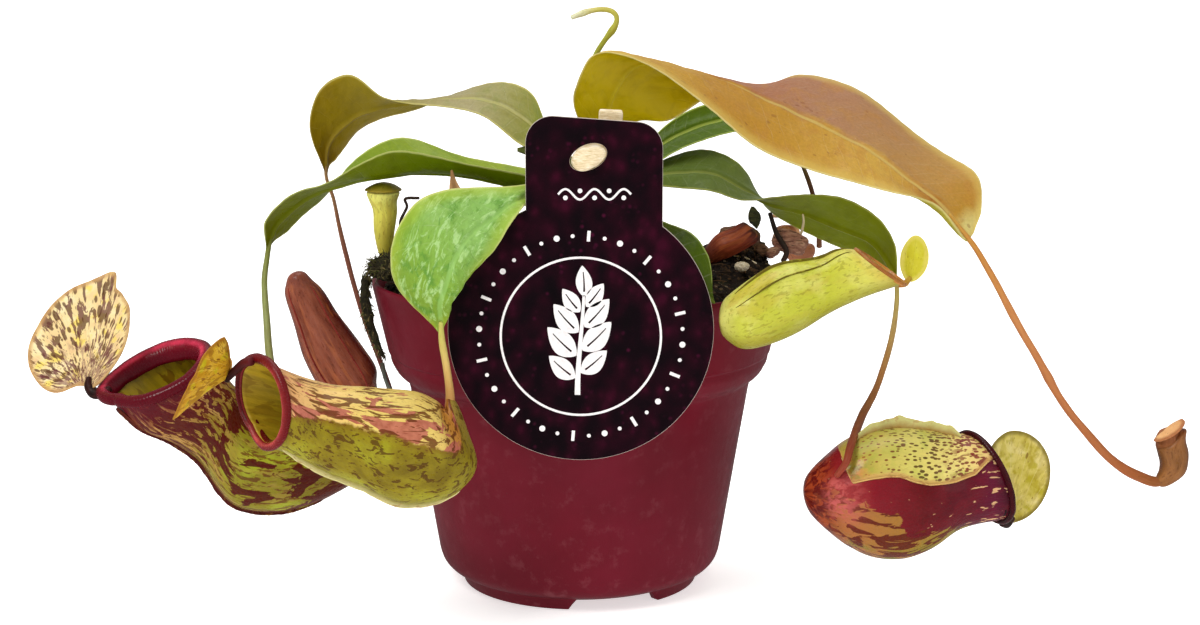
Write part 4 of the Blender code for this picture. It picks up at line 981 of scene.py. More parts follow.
# ------------------------------------------------------------------ stem and tendrils
def stalk_paint(name, stops, gloss=0.36, streak=0.35, streak_colour=(120, 70, 44), lit=None):
    p = Paint(name, gloss, 0.12, 0.08, (1.0, 0.7, 0.3), 0.0012, coat=0.03, coat_roughness=0.25)
    al, am, an = p.attr("al"), p.attr("am"), p.attr("an")
    turn = p.combine(p.math("MULTIPLY", am, 0.16), p.math("COSINE", an), p.math("SINE", an))
    wander = p.math("MULTIPLY", p.math("SUBTRACT", p.noise(0.9, 3, 0.6, turn), 0.5), 0.14)
    colour = p.ramp(p.math("ADD", al, wander), stops)
    fine = p.noise(2.2, 4, 0.6, turn)
    colour = p.mix(p.math("MULTIPLY", p.span(fine, 0.46, 0.66), streak), colour, streak_colour)
    scar = p.cells(1.5, p.combine(p.math("MULTIPLY", am, 0.5), p.math("COSINE", an), p.math("SINE", an)))
    mark = p.span(scar, 0.16, 0.08)
    colour = p.mix(p.math("MULTIPLY", mark, 0.35), colour, p.mix(1.0, colour, (150, 110, 90), "MULTIPLY"))
    if lit:
        colour = p.mix(p.span(p.math("SINE", p.math("ADD", an, 0.6)), 0.3, 1.0, 0.0, 0.35), colour, lit)
    grain = p.noise(3.0, 3, 0.6)
    rough = p.span(grain, 0.3, 0.7, gloss - 0.05, gloss + 0.12)
    height = p.math("ADD", p.math("MULTIPLY", fine, 0.8), p.math("MULTIPLY", grain, 0.4))
    height = p.math("SUBTRACT", height, p.math("MULTIPLY", mark, 0.5))
    return p.finish(colour, rough, p.bump(height, 0.00025, 0.5))


def from_leaf(leaf_name, points, back=0.75):
    """Lets a tendril start inside the tip of its leaf, as the end of the midrib."""
    mid = [s[0] for s in BLADES[leaf_name]]
    last = len(mid) - 1
    start = spl(mid, [last - back, last - back * 0.5])
    return [tuple(start[0]), tuple(start[1])] + list(points)


def stalk(name, material, radii, points, slot="tendril_skin", sides=20, step=0.55, bumps=(), wobble=0.10, seed=0,
          even=2.0, replaces=True, suffix="_skin"):
    """A stalk through the spline, a little uneven, with swellings at (place along 0 to 1, width mm, height mm)."""
    dense = spl(points, np.linspace(0, len(points) - 1, 400))
    arc = np.concatenate([[0], np.cumsum(np.linalg.norm(np.diff(dense, axis=0), axis=1))])
    n = max(12, int(arc[-1] / step))
    want = np.linspace(0, arc[-1], n)
    path = np.stack([np.interp(want, arc, dense[:, i]) for i in range(3)], -1)
    path = soften(path, even)
    f = np.linspace(0, 1, n)
    r = np.interp(f, np.linspace(0, 1, len(radii)), radii)
    r = r * (1 + 0.05 * noise3(np.stack([want * 0.12, 0 * want, 0 * want + seed], -1), seed))
    for place, width, height in bumps:
        r = r + height * np.exp(-(((f - place) * arc[-1] / width) ** 2))
    pts, faces, al, am, an = pipe(path, r, sides, wobble, seed)
    return piece(name + suffix, pts, faces, material, {"al": al, "am": am, "an": an}, (name,) if replaces else (), slot)


def make_stalks():
    t = TENDRILS
    looks = {
        "tendril_upper_left": ([(0.0, (150, 120, 74)), (0.3, (132, 84, 66)), (0.7, (118, 68, 56)), (1.0, (104, 44, 42))], 0.3, (92, 44, 36), ()),
        "tendril_mid_left": ([(0.0, (112, 118, 40)), (0.25, (142, 148, 90)), (0.5, (128, 122, 70)), (0.75, (104, 66, 40)), (1.0, (120, 92, 44))], 0.3, (96, 84, 40), ()),
        "tendril_front_left": ([(0.0, (186, 188, 92)), (0.5, (210, 180, 106)), (1.0, (176, 120, 66))], 0.25, (176, 116, 66), ()),
        "tendril_upper_right": ([(0.0, (196, 154, 70)), (0.12, (190, 130, 60)), (0.35, (192, 128, 76)), (0.6, (180, 112, 66)), (0.85, (156, 88, 46)), (1.0, (120, 72, 30))], 0.3, (166, 96, 66), ((0.52, 3.0, 0.25),)),
        "tendril_mid_right": ([(0.0, (168, 160, 74)), (0.2, (180, 156, 96)), (0.45, (166, 116, 66)), (0.75, (138, 76, 42)), (0.9, (132, 58, 36)), (1.0, (160, 72, 56))], 0.3, (116, 56, 30), ()),
        "tendril_small_back": ([(0.0, (96, 90, 40)), (0.5, (92, 58, 44)), (1.0, (120, 80, 60))], 0.3, (70, 40, 30), ()),
        "tendril_small_yellow": ([(0.0, (96, 80, 40)), (0.5, (120, 104, 50)), (1.0, (170, 160, 70))], 0.3, (86, 64, 36), ()),
    }
    leaf_of = {"tendril_upper_left": "leaf_upper_left", "tendril_mid_left": "leaf_mid_left", "tendril_front_left": "leaf_front_left",
               "tendril_upper_right": "leaf_upper_right", "tendril_mid_right": "leaf_mid_right", "tendril_small_back": "leaf_small_back"}
    on = {"tendril_front_left": [(-33.2, -67.4, 66.0)], "tendril_mid_right": [(72.7, -49.6, 46.9), (71.3, -48.6, 44.4), (70.6, -46.4, 42.4)]}
    for seed, (name, (stops, streak, colour, bumps)) in enumerate(looks.items()):
        radii, points = t[name]
        points = list(points[:-2] if name == "tendril_mid_right" else points) + on.get(name, [])
        if name == "tendril_upper_right":
            points = points + [(165.8, -22.0, 34.6), (168.2, -22.0, 37.2)]
        if name in leaf_of:
            points = from_leaf(leaf_of[name], points)
            radii = (radii[0] * 0.6, radii[0]) + tuple(radii)
        if name == "tendril_mid_right":
            radii = radii + (0.9,)
        paint = stalk_paint(name + "_colour", stops, streak=streak, streak_colour=colour)
        stalk(name, paint, radii, points, bumps=bumps, seed=seed + 3)
    radii, points = t["young_hook"]
    hook = stalk_paint("young_hook_colour", [(0.0, (90, 120, 40)), (0.4, (138, 148, 52)), (0.65, (176, 176, 70)), (0.85, (196, 188, 96)), (1.0, (222, 224, 190))],
                       streak=0.35, streak_colour=(150, 110, 34), gloss=0.3)
    stalk("young_hook", hook, (1.25, 0.95, 0.75, 0.72, 0.66), points, slot="stem_green", bumps=((0.62, 2.0, 0.35), (0.93, 1.8, 0.25)), seed=20, sides=22)
    stem = stalk_paint("stem_colour", [(0.0, (86, 66, 38)), (0.35, (110, 96, 46)), (0.7, (112, 116, 46)), (1.0, (128, 140, 56))],
                       streak=0.4, streak_colour=(84, 60, 34), gloss=0.5)
    stalk("stem", stem, STEM_RADII, STEM, slot="stem_green", sides=40, step=0.5, wobble=0.14, seed=30,
          bumps=((0.24, 1.6, 0.5), (0.42, 1.4, 0.5), (0.56, 1.4, 0.45), (0.70, 1.2, 0.4), (0.84, 1.2, 0.35), (0.96, 1.0, 0.3)))


# ------------------------------------------------------------------ pitchers
class Trap:
    """The smooth skin of a pitcher: rings between a lower line and an upper line."""

    def __init__(self, sections, even=0.16, mouth=None):
        self.mouth = mouth
        self.low = [s[0] for s in sections]
        self.top = [s[1] for s in sections]
        self.side = [s[2] if isinstance(s[2], tuple) else (0, s[2], 0) for s in sections]
        self.last = len(sections) - 1
        self.dense = np.linspace(0, self.last, 60 * self.last + 1)
        sigma = 60 * even
        self.lines = [soften(spl(x, self.dense), sigma) for x in (self.low, self.top, self.side)]
        centre = (self.lines[0] + self.lines[1]) / 2
        self.arc = np.concatenate([[0], np.cumsum(np.linalg.norm(np.diff(centre, axis=0), axis=1))])
        self.length = self.arc[-1]

    def at(self, t):
        t = np.clip(t, 0, self.last)
        pick = lambda line: np.stack([np.interp(t, self.dense, line[:, i]) for i in range(3)], -1)
        low, top, side = (pick(x) for x in self.lines)
        return (low + top) / 2, (top - low) / 2, side, np.interp(t, self.dense, self.arc)

    def ring(self, t, theta, shrink=0.0):
        """Points of rings at the places t (n) and angles theta (k)."""
        c, u, s, _ = self.at(t)
        lu = np.linalg.norm(u, axis=1, keepdims=True)
        ls = np.linalg.norm(s, axis=1, keepdims=True)
        u = u * np.maximum(0.05, 1 - shrink / lu)
        s = s * np.maximum(0.05, 1 - shrink / ls)
        spoke = u[:, None] * np.cos(theta)[None, :, None] + s[:, None] * np.sin(theta)[None, :, None]
        if self.mouth is not None:
            t = np.clip(np.asarray(t, float), 0, self.last)
            push = np.array([self.mouth((math.degrees(x) + 180.0) % 360.0 - 180.0) for x in theta])
            spoke = spoke + unit(spoke) * (push[None, :] * smooth(t, self.last - 1.3, self.last)[:, None])[..., None]
        return c[:, None] + spoke


def trap_values(trap, t, theta, edge, arc=None):
    c, u, s, a = trap.at(t)
    if arc is not None:
        a = arc
    r = (np.linalg.norm(u, axis=1) + np.linalg.norm(s, axis=1)) / 2
    cz = np.cos(theta)[None, :] + 0 * r[:, None]
    sz = np.sin(theta)[None, :] + 0 * r[:, None]
    pv = np.stack([a[:, None] + 0 * cz, r[:, None] * cz, r[:, None] * sz], -1)
    al = np.clip(t / trap.last, 0, 1)
    zd = cz - np.array([edge(x) for x in al])[:, None]
    return {"al": np.broadcast_to(al[:, None], cz.shape), "cz": cz, "sz": sz, "pv": pv, "zd": zd}


def trap_body(name, paints, trap, base, cavity=None, tip=None, around=132, rows=92, uneven=0.35, edge=lambda x: 0.0,
              seed=0, slot="pitcher_speckled", end=0.03, wall=1.0, ribs=0.0, rib_count=7, round_base=4.5, round_tip=3.0):
    """Skin, and the cavity wall of an open pitcher, as one closed piece."""
    theta = np.arange(around) * TAU / around
    nose = np.linspace(0, 1, 9)[1:-1]
    t_out = np.linspace(0, trap.last - (end if cavity is not None else 0), rows)
    ring0 = trap.ring(np.array([0.0]), theta)[0]
    base = np.asarray(base, float)
    g = np.sqrt(1 - (1 - nose) ** 2)
    nose_rows = base + (ring0 - base) * g[:, None, None] + (ring0.mean(0) - base) * (nose - g)[:, None, None]
    body = trap.ring(t_out, theta)
    outer = np.concatenate([nose_rows, body])
    # the rounded base: rows near it are evened out together with the pole
    pad = 26
    over = np.roll(outer[pad - 1 :: -1], around // 2, axis=1)
    even_rows = soften(np.concatenate([over, np.broadcast_to(base, outer[:1].shape), outer]), round_base)[pad:]
    settle = even_rows[0].mean(0)
    even_rows = even_rows[1:] + (base - settle) * 0.8 * (1 - smooth(np.arange(len(outer)), 0, 30))[:, None, None]
    base = base * 0.8 + settle * 0.2
    keep = np.concatenate([np.zeros(len(nose)), smooth(t_out, 0.35, 1.5)])[:, None, None]
    outer = outer * keep + even_rows * (1 - keep)
    t_all = np.concatenate([np.zeros(len(nose)), t_out])
    arc_all = np.concatenate([-3.0 * (1 - nose), trap.at(t_out)[3]])
    values = trap_values(trap, t_all, theta, edge, arc_all)
    along = np.gradient(outer, axis=0)
    across = (np.roll(outer, -1, axis=1) - np.roll(outer, 1, axis=1)) / 2
    normal = unit(np.cross(along, across))
    centre = outer.mean(axis=1, keepdims=True)
    flip = np.sign((normal * (outer - centre)).sum(-1).mean())
    normal = normal * flip
    hush = np.concatenate([nose * 0.5, smooth(trap.last - t_out, 0.0, 0.5)])[:, None]
    swell = uneven * fbm(values["pv"] * np.array([0.07, 0.16, 0.16]) + seed, seed, 3)
    swell += 0.10 * uneven * fbm(values["pv"] * np.array([0.30, 0.8, 0.8]) + seed, seed + 9, 2)
    swell += ribs * np.cos(theta * rib_count)[None, :] * smooth(t_all, 0.5, 2.0)[:, None]
    outer = outer + normal * (swell * hush)[..., None]
    rows_points = [outer]
    inn = [np.zeros(outer.shape[:2])]
    if cavity is not None:
        t_in = np.concatenate([np.linspace(trap.last - end * 1.2, cavity, 60)])
        inner = trap.ring(t_in, theta, wall)
        v_in = trap_values(trap, t_in, theta, edge)
        wob = 0.2 * fbm(v_in["pv"] * np.array([0.1, 0.3, 0.3]) + 5.0, seed + 3, 2)
        radial = unit(inner - inner.mean(axis=1, keepdims=True))
        fade = smooth(trap.last - t_in, 0.0, 0.4)[:, None]
        inner = inner + radial * (wob * fade - 0.1)[..., None]
        c_end = inner[-1].mean(0)
        deeper = trap.at(np.array([max(0.0, cavity - 0.6)]))[0][0]
        dome = np.linspace(0, 1, 8)[1:-1]
        cap = [
            c_end + (inner[-1] - c_end) * math.sqrt(1 - x * x) + (deeper - c_end) * 0.6 * x for x in dome
        ]
        v_cap = trap_values(trap, np.full(len(dome), cavity), theta, edge)
        rows_points += [inner, np.array(cap)]
        inn += [np.ones(inner.shape[:2]), np.ones((len(dome), around))]
        values = {k: np.concatenate([values[k], v_in[k], v_cap[k]]) for k in values}
        pole = c_end + (deeper - c_end) * 0.6
    else:
        tipp = np.asarray(tip, float)
        last_ring = outer[-1]
        f = np.linspace(0, 1, 8)[1:-1]
        cap = [
            tipp + (last_ring - tipp) * math.sqrt(1 - x * x) + (last_ring.mean(0) - tipp) * ((1 - x) - math.sqrt(1 - x * x))
            for x in f
        ]
        v_cap = trap_values(trap, np.full(len(f), trap.last), theta, edge, trap.length + 2 * f)
        cap = np.array(cap)
        whole = np.concatenate([outer, cap, np.broadcast_to(tipp, cap[:1].shape)])
        over = np.roll(whole[-2:-22:-1], around // 2, axis=1)
        whole_even = soften(np.concatenate([whole, over]), round_tip)[: len(whole)]
        shift = tipp - whole_even[-1].mean(0)
        whole_even = whole_even + shift * 0.7 * smooth(np.arange(len(whole)), len(whole) - 24, len(whole))[:, None, None]
        tipp = whole_even[-1].mean(0)
        keep = np.concatenate([np.zeros(len(nose)) + 1, smooth(trap.last - t_out, 0.1, 0.9), np.zeros(len(cap))])[:, None, None]
        whole = whole[:-1] * keep + whole_even[:-1] * (1 - keep)
        rows_points[0], cap = whole[: len(outer)], whole[len(outer):]
        rows_points += [cap]
        inn += [np.zeros((len(f), around))]
        values = {k: np.concatenate([values[k], v_cap[k]]) for k in values}
        pole = tipp
    allp = np.concatenate(rows_points)
    inn = np.concatenate(inn)
    n = len(allp)
    points = np.vstack([allp.reshape(-1, 3), base[None], pole[None]])
    faces = grid_faces(n, around, 0, True).tolist()
    b, e = n * around, n * around + 1
    faces += [[b, (k + 1) % around, k] for k in range(around)]
    top = (n - 1) * around
    faces += [[top + k, top + (k + 1) % around, e] for k in range(around)]
    attributes = {}
    for k, v in values.items():
        flat = v.reshape(-1, 3) if v.ndim == 3 else v.reshape(-1)
        attributes[k] = np.concatenate([flat, flat[:1], flat[-1:]])
    attributes["inn"] = np.concatenate([inn.reshape(-1), [0.0], [1.0 if cavity is not None else 0.0]])
    return piece(name + "_skin", points, faces, paints, attributes, (name,), slot)


def lip(name, material, trap, width, lift=1.0, around=450, ribs=96, section_scale=1.0, slot="pitcher_speckled",
        end=0.0, wave=0.0, wave_count=5, teeth=0.0, ride_up=None):
    """The rolled, ribbed rim of a mouth. width(theta) scales how far it reaches inward."""
    profile = np.array([
        (0.55, -1.5), (1.15, -1.25), (1.45, -0.65), (1.4, 0.0), (1.05, 0.55), (0.45, 0.85), (-0.35, 0.88), (-1.15, 0.55),
        (-1.9, -0.1), (-2.5, -0.95), (-2.85, -1.8), (-2.7, -2.3), (-2.25, -2.2), (-1.8, -1.6), (-1.2, -1.1), (-0.5, -1.15),
    ]) * section_scale
    closed = np.vstack([profile, profile[:1]])
    m = 34
    fine = spl(np.vstack([profile[-1:], closed, profile[1:2]]), np.linspace(1, len(profile) + 1, m + 1))[:-1]
    theta = np.arange(around) * TAU / around
    t = trap.last - end
    ring = trap.ring(np.array([t]), theta)[0]
    c, u, s, _ = (x[0] for x in trap.at(np.array([t])))
    normal = unit(np.cross(u, s))
    before = trap.at(np.array([trap.last - 1.0]))[0][0]
    if normal @ (c - before) < 0:
        normal = -normal
    # outward in the plane of the mouth, square to the rim's own line
    line = unit(np.roll(ring, -1, axis=0) - np.roll(ring, 1, axis=0))
    out = unit(np.cross(line, normal))
    if (out * (ring - c)).sum() < 0:
        out = -out
    w = np.array([width(a) for a in theta])
    rib = 0.5 + 0.5 * np.cos(theta * ribs)
    rough = noise3(np.stack([np.cos(theta) * 5, np.sin(theta) * 5, 0 * theta + 3.0], -1), 11)
    grow = 1 + 0.022 * (rib - 0.5) + 0.06 * rough
    radial, axial = fine[:, 0][None, :], fine[:, 1][None, :]
    mid_r, mid_a = -0.3, -0.5
    rr = np.where(radial < 0, radial * w[:, None], radial)
    rr = mid_r + (rr - mid_r) * grow[:, None]
    ax = mid_a + (axial - mid_a) * grow[:, None] * lift
    tooth = teeth * rib[:, None] * smooth(-radial, 2.2, 2.8)
    rr = rr - tooth
    ripple = wave * np.sin(theta * wave_count + 0.7)
    if ride_up is not None:
        ripple = ripple + np.array([ride_up(a) for a in theta])
    points = ring[:, None] + out[:, None] * rr[..., None] + normal * (ax + ripple[:, None])[..., None]
    faces = grid_faces(around, m, 0, True)
    closing = np.stack([
        (around - 1) * m + np.arange(m), (around - 1) * m + (np.arange(m) + 1) % m, (np.arange(m) + 1) % m, np.arange(m)
    ], -1)
    shape = (around, m)
    attributes = {
        "rad": np.broadcast_to(radial, shape).reshape(-1),
        "axi": np.broadcast_to(axial, shape).reshape(-1),
        "cz": np.broadcast_to(np.cos(theta)[:, None], shape).reshape(-1),
        "sz": np.broadcast_to(np.sin(theta)[:, None], shape).reshape(-1),
        "rib": np.broadcast_to(rib[:, None], shape).reshape(-1),
    }
    return piece(name + "_lip", points.reshape(-1, 3), np.vstack([faces, closing]), material, attributes, (), slot)


def wing(name, material, trap, start, stop, angle, height, steps=110, cols=9, thickness=0.5, wave=0.5, pitch=6.0,
         lean=0.0, seed=0, slot="pitcher_speckled", sink=0.5, fringe=0.0):
    """A thin wavy keel along a pitcher. angle(f) is where it stands, height(f) how tall it is, f from 0 to 1."""
    f = np.linspace(0, 1, steps)
    t = start + (stop - start) * f
    c, u, s, arc = trap.at(t)
    an = np.array([angle(x) for x in f])
    root = c + u * np.cos(an)[:, None] + s * np.sin(an)[:, None]
    along = unit(np.gradient(root, axis=0))
    across = -u * np.sin(an)[:, None] + s * np.cos(an)[:, None]
    out = unit(np.cross(along, across))
    out = out * np.sign((out * (root - c)).sum(-1))[:, None]
    aside = np.cross(along, out)
    h = np.array([height(x) for x in f])
    h = h * (1 + 0.16 * noise3(np.stack([arc * 0.5, 0 * arc, 0 * arc + seed], -1), seed))
    if fringe:
        h = h + fringe * np.abs(np.sin(arc * 1.9 + noise3(np.stack([arc * 0.7, 0 * arc, 0 * arc], -1), seed) * 2)) ** 3
    w = np.linspace(0, 1, cols)
    bend = wave * np.sin(arc * TAU / pitch + 1.2 * noise3(np.stack([arc * 0.15, 0 * arc, 0 * arc + 2], -1), seed) * 2) * np.minimum(h / 2, 1)
    mid = root[:, None] + out[:, None] * (-sink + (h[:, None] + sink) * w)[..., None]
    mid = mid + aside[:, None] * (bend[:, None] * w**1.6 + lean * h[:, None] * w**2)[..., None]
    normal = grid_normals(mid)
    body = np.broadcast_to(thickness * 0.5 * (1 - 0.45 * w), mid.shape[:2])
    points, faces, side, index = shell(mid, normal, body, body, 0.45)
    pick = lambda x: np.broadcast_to(x, mid.shape[:2]).reshape(-1)[index]
    return piece(
        name, points, faces, material,
        {"wh": pick(w[None, :]), "al": pick(f[:, None]), "am": pick(arc[:, None])}, (), slot,
    )


def lid_shape(name, material, rows=72, cols=72, seed=0, slot="lid_speckled", rim=0.35, tip_curl=0.0, ridge=0.5,
              ruffle=0.3, body=0.34, bend=0.0):
    """A lid: a square grid laid over a disc that follows the outline, with veins, a rolled margin and a keel at the hinge."""
    hinge, tip, side_a, side_b, dome, outline = LIDS[name]
    hinge, tip, side_a, side_b = (np.array(v, float) for v in (hinge, tip, side_a, side_b))
    axis = tip - hinge
    long = np.linalg.norm(axis)
    normal = unit(np.cross(axis, side_a - side_b))
    v, u = np.meshgrid(np.linspace(-1, 1, rows), np.linspace(-1, 1, cols), indexing="ij")
    x, y = u * np.sqrt(1 - v * v / 2), v * np.sqrt(1 - u * u / 2)
    stops = sorted((math.atan2(px, py) % TAU, math.hypot(px, py)) for px, py in OUTLINES[outline])
    angles = np.array([stops[-1][0] - TAU] + [q[0] for q in stops] + [stops[0][0] + TAU])
    spans = np.array([stops[-1][1]] + [q[1] for q in stops] + [stops[0][1]])
    fine = np.linspace(0, TAU, 721)[:-1]
    reach = np.interp(fine, angles, spans)
    soft = 5.0 if outline != "round" else 10.0
    k = np.exp(-0.5 * (np.arange(-30, 31) / soft) ** 2)
    reach = np.convolve(np.concatenate([reach[-30:], reach, reach[:30]]), k / k.sum(), "valid")
    turn = np.arctan2(x, y) % TAU
    grow = np.interp(turn, np.append(fine, TAU), np.append(reach, reach[0]))
    rho = np.hypot(x, y)
    x, y = x * grow, y * grow
    width = np.where(x > 0, np.linalg.norm(side_a), np.linalg.norm(side_b))
    side = np.where(x[..., None] > 0, side_a, side_b)
    # the two halves blend across the keel, so that there's no crease
    lx, ly = x * width, (y + 1) * 0.5 * long
    crown = dome * (1 - np.minimum(1.0, rho * rho) ** 1.2)
    s = 0.5 + 0.5 * y
    g = hinge + axis * s[..., None] + side * np.abs(x)[..., None] + normal * crown[..., None]
    ed = (1 - rho) * np.hypot(np.sin(turn) * grow * width, np.cos(turn) * grow * long * 0.5)
    g = np.stack([soften(np.swapaxes(soften(g[..., i], 1.5), 0, 1), 1.5).T for i in range(3)], -1)
    n = grid_normals(g)
    q = np.stack([lx * 0.11, ly * 0.11, 0 * lx + seed * 2.3], -1)
    flutter = ruffle * noise3(q * 1.6, seed) * smooth(-ed, -2.5, 0.0) * 1.4 + 0.35 * fbm(q, seed + 4, 3)
    veins = ridge * 0.18 * np.cos(np.arctan2(lx, ly + 2.0) * 26) * smooth(ed, 0.0, 2.0) * smooth(ly, 0, 5)
    keel = ridge * np.exp(-((lx / 0.9) ** 2)) * smooth(ly, -1, 2) * (1 - smooth(ly / long, 0.55, 0.95))
    roll = rim * np.exp(-((ed / 1.1) ** 2))
    curl = tip_curl * smooth(s, 0.90, 1.0) ** 2
    mid = g + n * (flutter + roll * 0.6 + curl)[..., None]
    thick = body * (0.5 + 0.5 * smooth(ed, 0, 2.5))
    points, faces, flag, index = shell(mid, n, thick + keel * 0.5 + veins * 0.5, thick + keel * 0.5 - veins * 0.5, 0.4)
    pick = lambda w: w.reshape(-1)[index]
    return piece(
        name + "_skin", points, faces, material,
        {"lx": pick(lx), "ly": pick(ly), "ls": pick(s), "la": pick(x), "ed": pick(ed), "up": flag},
        (name,), slot,
    )


# ------------------------------------------------------------------ pitcher skins
def trap_start(name, gloss=0.30, coat=0.3):
    p = Paint(name, gloss, 0.13, 0.07, (1.0, 0.55, 0.25), 0.0014, coat=coat * 0.4, coat_roughness=0.16)
    p.pv = p.attr("pv", True)
    return p


def streaks(p, x, yz, lo, hi, detail=3.0, distortion=0.5, seed=0.0, roughness=0.5):
    """Blotches drawn out along the pitcher."""
    n = p.noise(1.0, detail, roughness, p.stretch(p.pv, x, yz, yz, (seed, seed * 0.7, -seed)), distortion)
    return p.span(n, lo, hi)


def trap_end(p, colour, inner, gloss=0.30, bump_extra=None):
    """Adds the inside, the fine grain and the waxy surface."""
    inn = p.attr("inn")
    rib = p.math("SINE", p.math("MULTIPLY", p.xyz(p.pv)[1], 2.6))
    inner = p.mix(p.span(rib, -0.4, 1.0, 0.0, 0.22), inner, p.mix(1.0, inner, (120, 110, 60), "MULTIPLY"))
    colour = p.mix(p.span(inn, 0.3, 0.7), colour, inner)
    grain = p.noise(1.0, 4, 0.6, p.stretch(p.pv, 0.8, 1.5, 1.5))
    colour = p.mix(p.span(grain, 0.35, 0.7, 0.0, 0.20), colour, p.mix(1.0, colour, (190, 180, 160), "MULTIPLY"))
    rough = p.span(grain, 0.3, 0.7, gloss - 0.07, gloss + 0.12)
    rough = p.math("ADD", rough, p.math("MULTIPLY", inn, 0.10))
    height = p.math("ADD", p.math("MULTIPLY", grain, 0.6), p.noise(1.0, 3, 0.5, p.stretch(p.pv, 0.25, 0.6, 0.6)))
    height = p.math("ADD", height, p.math("MULTIPLY", p.cells(1.2, p.pv, "SMOOTH_F1"), 0.25))
    if bump_extra is not None:
        height = p.math("ADD", height, bump_extra)
    return p.finish(colour, rough, p.bump(height, 0.00030, 0.5))


def inside_paint(p, deep, mid, mouth, spots, spot_colour):
    al = p.attr("al")
    base = p.ramp(al, [(0.3, deep), (0.75, mid), (1.0, mouth)])
    mark = streaks(p, 0.16, 0.34, 0.54, 0.60, 3, 0.6, 7.0)
    return p.mix(p.math("MULTIPLY", mark, spots), base, spot_colour)


def far_left_paint():
    p = trap_start("pitcher_far_left_colour", 0.28, 0.35)
    al, cz, sz = p.attr("al"), p.attr("cz"), p.attr("sz")
    base = p.ramp(al, [(0.0, (120, 92, 34)), (0.2, (124, 112, 26)), (0.45, (136, 128, 30)), (0.62, (138, 116, 38)),
                       (0.8, (152, 110, 54)), (0.92, (124, 66, 40)), (1.0, (96, 30, 30))])
    green = p.noise(0.10, 3, 0.5, p.pv)
    base = p.mix(p.math("MULTIPLY", p.span(green, 0.5, 0.66), p.span(al, 0.75, 0.45)), base, (150, 156, 36))
    base = p.mix(p.math("MULTIPLY", streaks(p, 0.06, 0.42, 0.50, 0.60, 3, 0.8, 3.0), p.span(al, 0.40, 0.8, 0.20, 0.7)), base, (186, 142, 78))
    fine = p.noise(1.0, 4, 0.58, p.stretch(p.pv, 0.17, 0.58, 0.58, (4.0, 1.0, 2.0)), 0.8)
    wide = p.noise(1.0, 4, 0.55, p.stretch(p.pv, 0.085, 0.20, 0.20, (2.0, 5.0, 2.0)), 0.8)
    near = p.span(al, 0.50, 0.68)
    limit = p.ramp(al, [(0.0, (0.53,) * 3 + (1.0,)), (0.3, (0.535,) * 3 + (1.0,)), (0.62, (0.515,) * 3 + (1.0,)), (0.82, (0.475,) * 3 + (1.0,)), (1.0, (0.40,) * 3 + (1.0,))])
    both = p.math("ADD", p.math("MULTIPLY", fine, near), p.math("MULTIPLY", wide, p.math("SUBTRACT", 1.0, near)))
    big = p.span(p.math("SUBTRACT", both, limit), -0.006, 0.010)
    small = p.noise(1.0, 4, 0.6, p.stretch(p.pv, 0.24, 0.9, 0.9, (1.0, 5.0, 2.0)), 0.6)
    small = p.span(small, 0.535, 0.56)
    colour = p.mix(p.math("MULTIPLY", small, 0.8), base, (96, 46, 18))
    colour = p.mix(p.math("MULTIPLY", big, 0.95), colour, p.ramp(al, [(0.2, (78, 12, 10)), (0.6, (80, 12, 14)), (1.0, (78, 10, 20))]))
    # underside and the throat are darker, the belly edge carries long brown lines
    line = streaks(p, 0.03, 0.8, 0.50, 0.56, 2, 0.3, 9.0)
    colour = p.mix(p.math("MULTIPLY", line, p.span(cz, -0.62, -0.9)), colour, (96, 44, 28))
    colour = p.mix(p.math("MULTIPLY", p.span(al, 0.86, 0.99), 0.75), colour, (104, 20, 34))
    inner = inside_paint(p, (96, 80, 4), (168, 146, 12), (186, 160, 30), 0.75, (124, 84, 4))
    return trap_end(p, colour, inner, 0.28)


